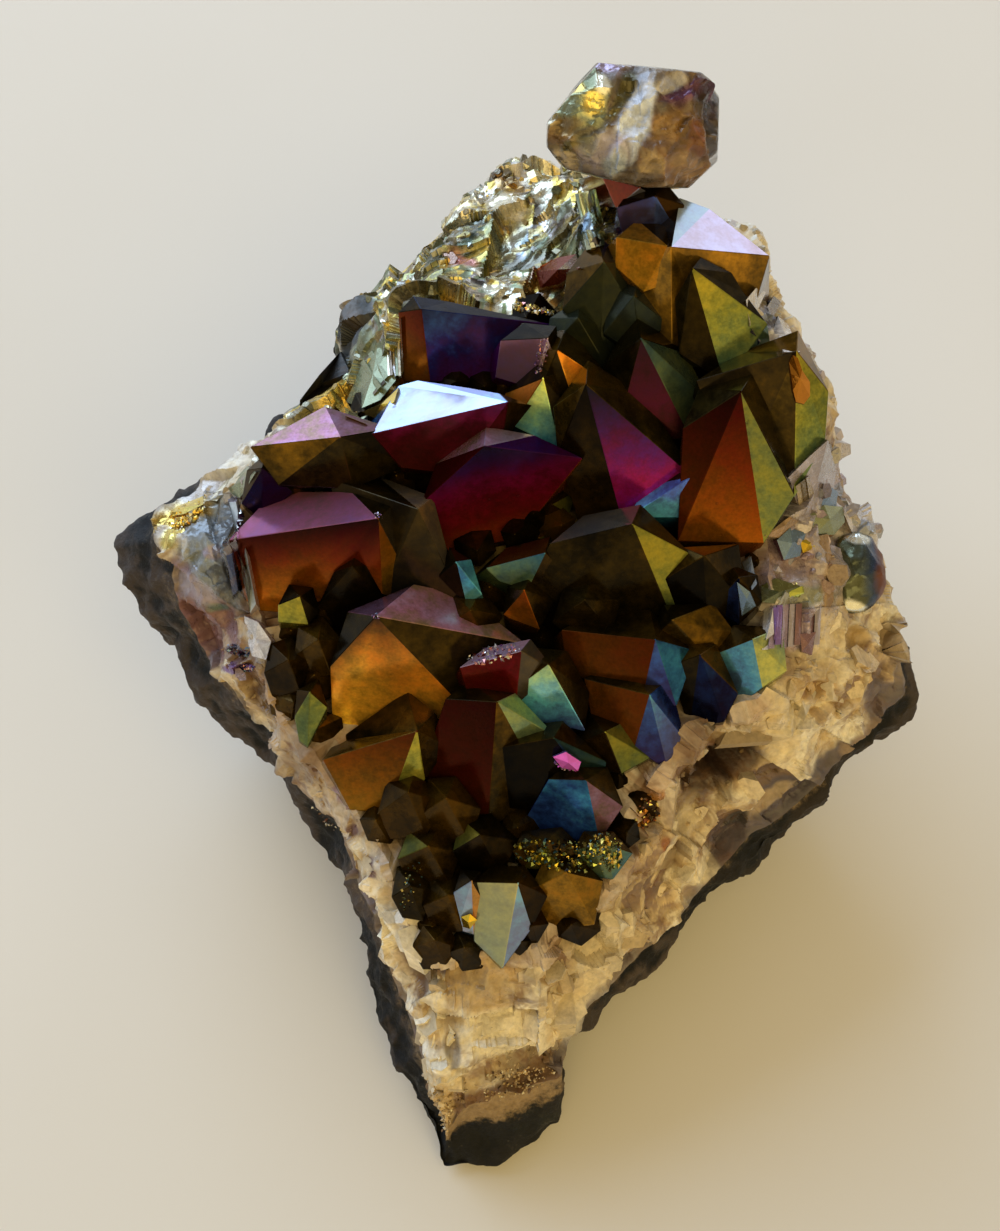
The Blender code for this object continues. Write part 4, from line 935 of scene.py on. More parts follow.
RIDGE_SPOTS = [
    (428, 285, 46, 20, -38, "moss", 0.70, 0.80, 0.24, 0.10),
    (408, 300, 26, 12, -30, "bark", 0.60, 0.50, 0.30, 0.10),
    (490, 245, 60, 9, -45, "foil", 0.55, 0.92, 0.20, 0.00),
    (520, 240, 26, 22, -40, "steel", 0.50, 0.80, 0.22, 0.00),
    (462, 264, 18, 8, 15, "rose", 0.90, 0.75, 0.22, 0.00),
    (486, 280, 28, 5, 24, "silver", 0.95, 0.85, 0.18, 0.00),
    (507, 302, 52, 6, 14, "silver", 0.85, 0.85, 0.18, 0.00),
    (557, 272, 24, 17, -20, "oxblood", 0.95, 0.70, 0.24, 0.00),
    (536, 296, 18, 8, 10, "ochre", 0.80, 0.80, 0.22, 0.00),
    (560, 240, 20, 20, 0, "moss", 0.80, 0.75, 0.24, 0.00),
    (510, 184, 16, 9, 10, "ochre", 0.80, 0.85, 0.22, 0.00),
    (545, 190, 12, 22, 0, "silver", 0.85, 0.80, 0.20, 0.00),
    (508, 204, 24, 12, -30, "milk", 0.90, 0.40, 0.22, 0.00),
    (470, 214, 40, 8, -40, "milk", 0.55, 0.70, 0.20, 0.00),
    (590, 232, 10, 26, 0, "steel", 0.60, 0.60, 0.22, 0.00),
    (355, 334, 28, 44, 10, "soot", 0.98, 0.06, 0.42, 0.10),
    (350, 318, 14, 10, -30, "bark", 0.70, 0.20, 0.40, 0.30),
    (340, 306, 14, 10, -30, "taupe", 0.60, 0.30, 0.40, 0.20),
    (372, 362, 22, 26, 0, "sage", 0.85, 0.40, 0.30, 0.10),
    (340, 402, 30, 12, -12, "gold", 0.90, 0.90, 0.20, 0.00),
    (386, 402, 22, 10, -30, "foil", 0.85, 0.92, 0.18, 0.00),
    (300, 426, 26, 10, -30, "olive", 0.70, 0.60, 0.26, 0.20),
    (312, 388, 32, 15, -42, "black", 0.95, 0.10, 0.45, 0.10),
    (425, 236, 92, 7, -39, "silver", 0.60, 0.90, 0.18, 0.00),
    (484, 236, 26, 12, -42, "teal", 0.55, 0.80, 0.22, 0.00),
    (532, 238, 16, 12, -30, "moss", 0.70, 0.80, 0.22, 0.00),
    (400, 290, 18, 10, -30, "soot", 0.60, 0.50, 0.26, 0.00),
    (446, 330, 52, 12, -8, "moss", 0.55, 0.60, 0.24, 0.00),
    (512, 262, 30, 20, -30, "olive", 0.60, 0.60, 0.24, 0.00),
    (560, 214, 16, 22, 10, "bark", 0.60, 0.50, 0.26, 0.00),
    (450, 252, 40, 8, -38, "soot", 0.50, 0.55, 0.26, 0.00),
]
# Pockets pressed into the broken faces (and, below zero, knobs raised from them), in mm.
HOLLOWS = [
    (722, 764, 40, 19, -36, 3.0), (690, 742, 9, 28, 30, -0.9), (652, 815, 15, 19, 0, 1.3), (632, 840, 12, 8, -40, 0.9),
    (856, 640, 11, 15, 0, 1.2), (224, 624, 11, 28, -34, 0.9), (232, 577, 4, 16, -14, 0.8), (238, 655, 12, 7, 10, 0.9),
    (700, 865, 22, 12, -45, -0.7), (780, 716, 12, 26, 10, -0.7), (505, 1036, 26, 14, 0, -0.6), (590, 968, 34, 12, -50, -0.5),
    (262, 640, 8, 20, -15, -0.6), (820, 690, 14, 9, 0, 0.8), (452, 1046, 7, 12, 0, 0.6), (770, 640, 6, 20, 5, 0.6),
]


def spot_mask(x, y, cx, cy, rx, ry, turn, wobble, soft=0.35):
    c, s = math.cos(math.radians(turn)), math.sin(math.radians(turn))
    u, v = (x - cx) * c + (y - cy) * s, -(x - cx) * s + (y - cy) * c
    d = np.sqrt((u / rx) ** 2 + (v / ry) ** 2) + wobble * 0.32
    return 1.0 - smoothstep(1.0 - soft, 1.0 + soft * 0.4, d)


def put_spots(points, tint, feel, spots):
    x, y, h = layout_of(points)
    wobble = rumble(points, 0.0016, 611, 4) * 1.6
    for cx, cy, rx, ry, turn, name, strength, film, rough_at, stain in spots:
        m = (spot_mask(x, y, cx, cy, rx, ry, turn, wobble) * strength)[:, None]
        tint[:] = tint * (1.0 - m) + TINTS[name] * m
        feel[:] = feel * (1.0 - m) + np.array([film, rough_at, stain]) * m


# ---------------------------------------------------------------- rind
COLUMNS = 900
rings, station = around(matrix_rings(), COLUMNS)
HEART = rings["edge"].mean(0)

# the seam between rind and quartz wanders a little, and runs down the back where only
# quartz shows from the crystal side
wander = rumble(rings["seam"], 0.004, 5, 4)[:, None]
rings["seam"] = rings["seam"] + (rings["rim"] - rings["seam"]) * np.clip(wander * 0.5, -0.4, 0.5)
rings["shelf"] = rings["seam"].copy()
cover = (smoothstep(14.6, 17.0, station) * (1.0 - smoothstep(44.6, 46.4, station)))[:, None]
nearer = (smoothstep(3.6, 5.4, station) * (1.0 - smoothstep(13.4, 14.8, station)) * 0.50)[:, None]
rings["seam"] = rings["seam"] + (rings["rim"] - rings["seam"]) * nearer
rings["seam"] = rings["seam"] + (rings["rim"] + (rings["belly"] - rings["rim"]) * 0.16 - rings["seam"]) * cover
rings["top"] = rings["rim"] + (rings["belly"] - rings["rim"]) * 0.26 * cover


def build_rind():
    low = []
    for share in (0.25, 0.5, 0.72, 0.88):
        q = rings["patch"] * share + np.array(tuple(REST_CENTRE)) * (1.0 - share)
        q[:, 2] = 0.0
        low.append(q)
    path = low + [rings["patch"], rings["skirt"], rings["belly"], rings["top"], rings["seam"]]
    counts = [5, 5, 4, 3, 24, 24, 14, 14]
    grid, share = sweep(path, counts)
    first_side = 17
    flat = grid.reshape(-1, 3)
    n = grid_normals(grid, True).reshape(-1, 3)
    if (n * (flat - flat.mean(0))).sum(1).mean() < 0:
        n = -n
    chips, number = scoops(flat, 0.0046, 31, lean=0.65, bowl=0.45, step=0.3)
    small, number2 = scoops(flat, 0.0017, 47, lean=0.65, bowl=0.5, step=0.35)
    tiny, number3 = scoops(flat, 0.0007, 57, lean=0.6, bowl=0.5, step=0.3)
    grain = rumble(flat, 0.0011, 71, 3)
    push = chips * 0.50 + small * 0.62 + tiny * 0.55 + grain * 0.00012 - 0.00002
    rows, cols = grid.shape[:2]
    row = np.repeat(np.arange(rows), cols)
    side = smoothstep(first_side - 1, first_side + 8, row)
    hold = smoothstep(0, 6, rows - 1 - row) * 0.65 + 0.35
    out = flat + n * (push * side * hold)[:, None]
    under = row <= first_side
    dent = np.clip(rumble(flat, 0.006, 12, 4) * 0.5 + 0.35 * small / 0.0016, 0.0, 1.0)
    out[under, 2] = dent[under] * 0.00035 * smoothstep(0.0, 1.0, 1.0 - side[under])
    out[:, 2] = np.maximum(out[:, 2], 0.0)
    seam_line = out.reshape(rows, cols, 3)[-1].copy()
    inner = seam_line * 0.94 + HEART * 0.06 - NORMAL_A * 0.0046
    verts = np.concatenate([out, inner, low[0].mean(0)[None]])
    verts[-1, 2] = 0.0
    faces = grid_faces(rows, cols, True)
    base = rows * cols
    for c in range(cols):
        d = (c + 1) % cols
        faces.append(((rows - 1) * cols + c, (rows - 1) * cols + d, base + d, base + c))
        faces.append((d, c, base + cols))
    faces.append(tuple(base + c for c in range(cols)))
    row_share = np.repeat(share, cols)
    x, y, h = layout_of(flat)
    seam_near = smoothstep(7.2, 8.0, row_share)
    tip = np.exp(-(((x - 500) / 90.0) ** 2 + ((y - 1110) / 60.0) ** 2))
    seam_near = np.clip(seam_near * (0.55 + 0.75 * tip), 0.0, 1.0)
    weather = np.clip(0.25 + rumble(flat, 0.012, 3, 3) * 0.7, 0.0, 1.0)
    weather = np.clip(weather + 0.28 * smoothstep(300.0, 210.0, x), 0.0, 1.0)
    weather = np.clip(weather + 0.35 * smoothstep(840.0, 880.0, x), 0.0, 1.0) * (1.0 - 0.8 * tip)
    # ridge height, used for the painted highlight on the rind's ridges
    ridge_height_highlight = np.clip(0.5 + (chips * 0.40 + small * 0.6) / 0.0011, 0.0, 1.0)
    colours = np.zeros((len(verts), 3))
    colours[: len(flat)] = np.stack([seam_near, weather, ridge_height_highlight], 1)
    make_piece("basalt_rind", verts, faces, BASALT, sharp_deg=40.0, layers={"film": colours})
    return seam_line


rings["seam_out"] = build_rind()


# ---------------------------------------------------------------- broken faces of the quartz
def relief(flat, n, row_share, ring_at):
    """Breaks of the quartz band and, between its stations, of the crinkled ridge."""
    ridge = smoothstep(28.4, 30.0, ring_at) * (1.0 - smoothstep(45.2, 46.4, ring_at))
    big, number = scoops(flat, 0.0030, 101, lean=1.0, bowl=0.42, step=0.5)
    small, number2 = scoops(flat, 0.0012, 131, lean=0.95, bowl=0.45, step=0.45)
    tiny, number3 = scoops(flat, 0.0005, 141, lean=0.8, bowl=0.5, step=0.35)
    band_push = big * 0.66 + small * 0.50 + tiny * 0.40 + rumble(flat, 0.0009, 151, 3) * 0.00004
    fold = UPWARD_A * 0.72 + ACROSS_A * 0.69
    wide, r1 = scoops(flat, 0.0034, 301, lean=1.0, bowl=0.4, step=0.5, stretch=(fold, 1.8))
    narrow, r2 = scoops(flat, 0.0014, 331, lean=1.0, bowl=0.42, step=0.5, stretch=(fold, 1.8))
    fine, r3 = scoops(flat, 0.0006, 351, lean=0.9, bowl=0.5, step=0.4)
    ridge_push = wide * 0.62 + narrow * 0.60 + fine * 0.22
    push = band_push * (1.0 - ridge) + ridge_push * ridge
    x, y, h = layout_of(flat)
    wobble = rumble(flat, 0.0016, 621, 3) * 1.2
    for cx, cy, rx, ry, turn, depth in HOLLOWS:
        push = push - spot_mask(x, y, cx, cy, rx, ry, turn, wobble, soft=0.6) * depth * MM
    return push, ridge, (number, number2, number3, r1, r2, r3)


RIDGE_CHIPS = ["silver", "foil", "taupe", "gold", "silver", "moss", "sage", "olive", "silver", "bark", "pearl", "sage", "foil", "taupe", "sage", "gold"]


def paint_broken(flat, row_share, covered, ridge, numbers, push):
    number, number2, number3, r1, r2, r3 = numbers
    count = len(flat)
    # band: cream to brown chip by chip, with painted shade from the relief: lighter on raised chips, darker and umber
    # down in the hollows; greyer beside the rind
    level = np.clip(push / 0.00065, -1.2, 1.0)
    tone = np.clip(0.50 * number + 0.34 * number2 + 0.18 * number3 + level * 0.30 + rumble(flat, 0.007, 161, 3) * 0.44 - 0.02, 0.0, 1.0)[:, None]
    low, mid, high = smoothstep(0.05, 0.40, tone), smoothstep(0.35, 0.70, tone), smoothstep(0.70, 0.98, tone)
    tint = (TINTS["fawn"] * 0.45 + TINTS["earth"] * 0.55) * (1.0 - low) + TINTS["straw"] * low
    tint = tint * (1.0 - mid) + TINTS["cream"] * mid
    tint = tint * (1.0 - high) + TINTS["milk"] * high
    # painted shade: umber in the deepest hollows of the relief
    crevice_painted_shade = (1.0 - smoothstep(-1.1, -0.35, level))[:, None]
    tint = tint * (1.0 - 0.55 * crevice_painted_shade) + TINTS["umber"] * 0.55 * crevice_painted_shade
    rind = (1.0 - smoothstep(0.02, 0.26, row_share + 0.14 * rumble(flat, 0.0015, 171, 3)))[:, None] * (1.0 - covered)[:, None]
    tint = tint * (1.0 - 0.75 * rind) + TINTS["slate"] * 0.75 * rind
    stain = np.clip(0.50 + rumble(flat, 0.006, 181, 3) * 1.1, 0.0, 1.0)
    feel = np.stack([np.zeros(count), 0.30 + 0.20 * number3, stain], 1)
    near = (smoothstep(1.45, 1.95, row_share + 0.2 * rumble(flat, 0.002, 191, 3)))[:, None]
    tint = tint * (1.0 - 0.35 * near) + TINTS["mauve"] * 0.35 * near
    # ridge: crinkled film, each fold its own silver, pale gold or grey-green
    keys = np.array([TINTS[k] for k in RIDGE_CHIPS])
    pick = (np.floor((0.62 * r2 + 0.30 * r1 + 0.08 * r3) * 2.0 % 1.0 * len(keys))).astype(int) % len(keys)
    r_tint = keys[pick] * (0.80 + 0.35 * r3)[:, None]
    r_feel = np.stack([np.full(count, 0.85), 0.20 + 0.14 * r3, np.zeros(count)], 1)
    m = ridge[:, None]
    tint = tint * (np.array([1.02, 1.06, 1.20]) * (1.0 - m) + m)
    tint = tint * (1.0 - m) + r_tint * m
    feel = feel * (1.0 - m) + r_feel * m
    put_spots(flat, tint, feel, BAND_SPOTS)
    r_only_t, r_only_f = tint.copy(), feel.copy()
    put_spots(flat, r_only_t, r_only_f, RIDGE_SPOTS)
    tint = tint * (1.0 - m) + r_only_t * m
    feel = feel * (1.0 - m) + r_only_f * m
    return np.clip(tint, 0.0, 1.0), np.clip(feel, 0.0, 1.0)


def section(name, first, last, material, fineness, rows, sharp):
    """A stretch of the broken face from station first to last, as a closed sweep."""
    if first < last:
        chosen = np.where((station >= first) & (station <= last))[0]
    else:
        chosen = np.concatenate([np.where(station >= first)[0], np.where(station <= last)[0]])
    spread = np.linspace(0, len(chosen) - 1, int(len(chosen) * fineness))
    lo = np.floor(spread).astype(int)
    hi = np.minimum(lo + 1, len(chosen) - 1)
    f = (spread - lo)[:, None]

    def pick(ring):
        return ring[chosen][lo] * (1.0 - f) + ring[chosen][hi] * f

    seam, rim, shelf, band, edge, hollow = (pick(rings[k]) for k in ("seam_out", "rim", "shelf", "band", "edge", "hollow"))
    over = pick(cover)
    brow = rim * over + (seam * 0.92 + band * 0.08) * (1.0 - over)
    shelf = shelf * over + (seam * 0.75 + band * 0.25) * (1.0 - over)
    at = station[chosen][lo]
    grid, share = sweep([seam, brow, shelf, band, edge, hollow], rows)
    share = np.interp(share, [0, 1, 2, 3, 4, 5], [0.0, 0.08, 0.25, 1.0, 2.0, 3.0])
    r, c = grid.shape[:2]
    flat = grid.reshape(-1, 3)
    n = grid_normals(grid, False).reshape(-1, 3)
    if (n @ NORMAL_A).mean() < 0:
        n = -n
    row_share = np.repeat(share, c)
    covered = np.tile(over[:, 0], r)
    ring_at = np.tile(at, r)
    hold = smoothstep(0.0, 0.06, row_share)
    push, ridge, numbers = relief(flat, n, row_share, ring_at)
    out = flat + n * (push * hold)[:, None]
    under_hollow = hollow - NORMAL_A * 0.0025
    under_seam = seam * 0.955 + HEART * 0.045 - NORMAL_A * 0.0034
    verts = np.concatenate([out, under_hollow, under_seam])
    faces = grid_faces(r, c, False)
    base = r * c
    for k in range(c - 1):
        faces.append(((r - 1) * c + k, (r - 1) * c + k + 1, base + k + 1, base + k))
        faces.append((base + k, base + k + 1, base + c + k + 1, base + c + k))
        faces.append((base + c + k, base + c + k + 1, k + 1, k))
    for k in (0, c - 1):
        loop = [q * c + k for q in range(r)] + [base + k, base + c + k]
        faces.append(tuple(loop) if k == 0 else tuple(reversed(loop)))
    tint, feel = np.zeros((len(verts), 3)), np.zeros((len(verts), 3))
    tint[: len(flat)], feel[: len(flat)] = paint_broken(flat, row_share, covered, ridge, numbers, push)
    tint[len(flat) :] = TINTS["fawn"]
    return make_piece(name, verts, faces, material, sharp_deg=sharp, layers={"tint": tint, "feel": feel})


section("quartz_band_front", 62.2, 16.4, QUARTZ, 2.1, [6, 10, 36, 40, 6], 32.0)
section("quartz_band_left", 45.8, 62.4, QUARTZ, 2.0, [6, 10, 34, 38, 6], 32.0)
section("quartz_band_right", 16.2, 29.2, QUARTZ, 2.0, [8, 14, 34, 38, 6], 32.0)
section("crinkled_ridge", 29.0, 46.0, RIDGE, 2.0, [8, 26, 44, 50, 6], 26.0)


# ---------------------------------------------------------------- crystals standing in the broken faces
def crystal(rng, middle, axis, side, radius, length, broken):
    """A six-sided quartz prism, a little flattened, with an uneven point or a slanted break."""
    axis = axis / np.linalg.norm(axis)
    side = side - axis * (side @ axis)
    side = side / max(np.linalg.norm(side), 1e-9)
    third = np.cross(axis, side)
    squash = 0.62 + 0.38 * rng.random()
    foot, shoulder, top = [], [], []
    lean = np.array([rng.uniform(-0.7, 0.7), rng.uniform(-0.7, 0.7)])
    for k in range(6):
        a = math.radians(60.0 * k + rng.uniform(-9.0, 9.0))
        reach = radius * rng.uniform(0.82, 1.12)
        u, v = math.cos(a) * reach, math.sin(a) * reach * squash
        base = middle + side * u + third * v
        foot.append(base - axis * length * 0.5)
        if broken:
            shoulder.append(base + axis * (length * 0.5 + lean[0] * u + lean[1] * v))
        else:
            shoulder.append(base + axis * (length * 0.5 - radius * rng.uniform(0.7, 1.5)))
    verts = foot + shoulder
    faces = [tuple(range(6))] + [(k, (k + 1) % 6, 6 + (k + 1) % 6, 6 + k) for k in range(6)]
    if broken:
        faces.append(tuple(range(6, 12)))
    else:
        verts.append(middle + axis * length * 0.5 + side * radius * rng.uniform(-0.25, 0.25) + third * radius * squash * rng.uniform(-0.25, 0.25))
        faces += [(6 + k, 6 + (k + 1) % 6, 12) for k in range(6)]
    return np.array(verts), faces


# layout X, Y, half lengths and turn of the places that carry no such crystals
CLEARINGS = [(310, 388, 30, 16, -42), (214, 545, 32, 66, -14), (857, 573, 30, 42, 0), (355, 334, 22, 34, 10), (800, 784, 120, 14, -40), (722, 764, 42, 20, -34)]


def crust(name, material, seed, spans):
    """Many small crystals rooted in the broken faces. Each span: first and last station, from
    and to (0 at the seam, 1 where the points begin, below 0 out to the rim), count, radius
    range and length range in mm, how far they lean along the wall, how deep they sit, share
    of broken tops, tints, share of those tints."""
    rng = random.Random(seed)
    sites, plans = [], []
    for first, last, v0, v1, count, radii, lengths, along, sink, broken, names, own in spans:
        if first < last:
            chosen = np.where((station >= first) & (station <= last))[0]
        else:
            chosen = np.concatenate([np.where(station >= first)[0], np.where(station <= last)[0]])
        for _ in range(count):
            k = int(chosen[rng.randrange(len(chosen))])
            v = rng.uniform(v0, v1)
            if v < 0.0:
                p = rings["shelf"][k] * (1.0 + v) - rings["rim"][k] * v
            elif v < 0.5:
                p = rings["shelf"][k] * (1.0 - 2.0 * v) + rings["band"][k] * 2.0 * v
            else:
                p = rings["band"][k] * (2.0 - 2.0 * v) + rings["edge"][k] * (2.0 * v - 1.0)
            run = rings["edge"][k] - rings["shelf"][k]
            run = run / np.linalg.norm(run)
            step = rings["band"][(k + 4) % COLUMNS] - rings["band"][(k - 4) % COLUMNS]
            n = np.cross(step, run)
            n = n / np.linalg.norm(n)
            if n @ NORMAL_A < 0:
                n = -n
            sites.append((p, n, run, max(v * 2.0, 0.02), float(station[k]), float(cover[k, 0])))
            plans.append((radii, lengths, along, sink, broken, names, own))
    flat = np.array([s[0] for s in sites])
    n = np.array([s[1] for s in sites])
    row_share, ring_at, covered = (np.array([s[k] for s in sites]) for k in (3, 4, 5))
    push, ridge, numbers = relief(flat, n, row_share, ring_at)
    # the crystals take the tint of the face they stand in, with its painted shade from the relief, a little lighter
    tint, feel = paint_broken(flat, row_share, covered, ridge, numbers, push + 0.0002)
    x, y, h = layout_of(flat)
    pocket = np.zeros(len(flat), bool)
    for cx, cy, rx, ry, turn in CLEARINGS:
        pocket |= spot_mask(x, y, cx, cy, rx, ry, turn, x * 0.0, soft=0.1) > 0.5
    for cx, cy, rx, ry, turn, depth in HOLLOWS:
        if depth > 1.0:
            pocket |= spot_mask(x, y, cx, cy, rx, ry, turn, x * 0.0) > 0.3
    verts, faces, tints, feels = [], [], [], []
    for k, (radii, lengths, along, sink, broken, names, own) in enumerate(plans):
        if pocket[k]:
            continue
        spread = rng.random() ** 1.7
        radius = (radii[0] + (radii[1] - radii[0]) * spread) * MM
        length = (lengths[0] + (lengths[1] - lengths[0]) * (0.5 * spread + 0.5 * rng.random())) * MM
        wild = np.array([rng.gauss(0, 1) for _ in range(3)]) * 0.33
        axis = sites[k][2] * along + n[k] * (1.0 - 0.6 * along) + wild
        middle = flat[k] + n[k] * (push[k] - radius * sink * (0.6 + 0.8 * rng.random())) - axis / np.linalg.norm(axis) * length * (0.30 * (1.0 - along) + 0.1)
        v, f = crystal(rng, middle, axis, np.array([rng.gauss(0, 1) for _ in range(3)]), radius, length, rng.random() < broken)
        base = len(verts)
        verts += list(v)
        faces += [tuple(base + i for i in loop) for loop in outward(v, f)]
        shade = TINTS[rng.choice(names)] * own + tint[k] * (1.0 - own)
        for loop in f:
            tints.append(np.clip(shade * (0.80 + 0.36 * rng.random()), 0.0, 1.0))
            feels.append((feel[k][0], min(max(feel[k][1] + rng.uniform(-0.10, 0.06), 0.08), 1.0), feel[k][2] * 0.6))
    faceted(name, verts, faces, material, {"tint": tints, "feel": feels})


FRESH = ["milk", "cream", "cream", "straw", "milk", "tan", "cream"]
crust("band_crystals_front", QUARTZ, 1201, [
    (2.2, 9.0, 0.20, 0.90, 44, (0.9, 2.2), (3.2, 7.0), 0.90, 0.84, 0.30, FRESH, 0.30),
    (9.0, 15.0, 0.20, 0.92, 30, (0.8, 2.0), (3.0, 6.5), 0.90, 0.86, 0.35, ["cream", "milk", "straw", "tan"], 0.25),
    (2.0, 15.0, 0.12, 0.95, 60, (0.25, 0.7), (1.0, 2.4), 0.7, 0.70, 0.40, ["cream", "tan", "straw", "fawn", "honey"], 0.25),
    (62.8, 2.2, 0.30, 0.56, 30, (0.9, 1.8), (2.0, 3.6), 0.5, 0.72, 0.50, ["milk", "cream", "milk"], 0.70),
    (62.6, 1.8, 0.60, 1.00, 16, (0.8, 1.6), (1.8, 3.0), 0.4, 0.92, 0.60, ["honey", "straw", "tan"], 0.5),
    (62.6, 2.2, 0.00, 0.28, 200, (0.10, 0.34), (0.3, 0.8), 0.2, 0.55, 0.5, ["tan", "umber", "straw", "earth", "cream"], 0.45),
])
crust("band_crystals_left", QUARTZ, 1301, [
    (58.5, 62.8, 0.10, 0.92, 36, (0.6, 1.4), (2.0, 4.2), 0.80, 0.82, 0.40, ["cream", "milk", "tan", "fawn"], 0.30),
    (53.0, 59.0, 0.15, 0.92, 34, (0.4, 1.0), (1.4, 3.0), 0.75, 0.80, 0.40, ["cream", "fawn", "tan", "earth"], 0.25),
    (53.0, 60.0, 0.20, 0.95, 90, (0.15, 0.45), (0.4, 1.2), 0.4, 0.55, 0.40, ["earth", "fawn", "plum", "tan", "umber"], 0.35),
    (46.5, 53.5, 0.10, 0.95, 30, (0.35, 0.9), (1.2, 2.6), 0.80, 0.84, 0.45, ["lilac", "slate", "taupe", "pearl", "mauve"], 0.30),
])
crust("band_crystals_right", QUARTZ, 1401, [
    (13.5, 17.5, 0.10, 0.95, 34, (0.6, 1.5), (2.0, 4.6), 0.85, 0.82, 0.40, ["cream", "tan", "fawn", "straw", "milk"], 0.25),
    (17.0, 21.5, -0.6, 0.95, 120, (0.35, 1.1), (1.8, 4.6), 0.80, 0.76, 0.40, ["lilac", "haze", "pearl", "steel", "mauve", "haze", "glass"], 0.45),
    (21.0, 29.2, -0.8, 0.95, 100, (0.3, 0.8), (1.4, 3.4), 0.75, 0.72, 0.40, ["haze", "smoke", "lilac", "ice", "glass"], 0.40),
])
FOIL = ["silver", "foil", "sage", "gold", "silver", "moss", "pearl", "taupe"]
crust("ridge_crystals", RIDGE, 1501, [
    (30.0, 44.5, -1.0, 1.04, 460, (0.28, 0.85), (0.5, 1.5), 0.40, 0.55, 0.35, FOIL, 0.22),
    (32.0, 40.5, -1.0, 0.50, 150, (0.30, 0.9), (0.6, 1.9), 0.50, 0.50, 0.3, ["silver", "foil", "pearl", "silver"], 0.40),
    (44.0, 47.0, -0.6, 0.95, 70, (0.18, 0.5), (0.5, 1.2), 0.5, 0.5, 0.5, ["gold", "foil", "olive", "silver"], 0.35),
])

# ---------------------------------------------------------------- quartz points
OLV, BRZ, GLD, ORG, RST, MAR, MAG, PLM, IND, BLU, CYN, TEA, LIM, YEL, PNK, LAV = (
    0.02, 0.08, 0.15, 0.22, 0.28, 0.35, 0.45, 0.51, 0.57, 0.63, 0.70, 0.76, 0.82, 0.88, 0.93, 1.0)
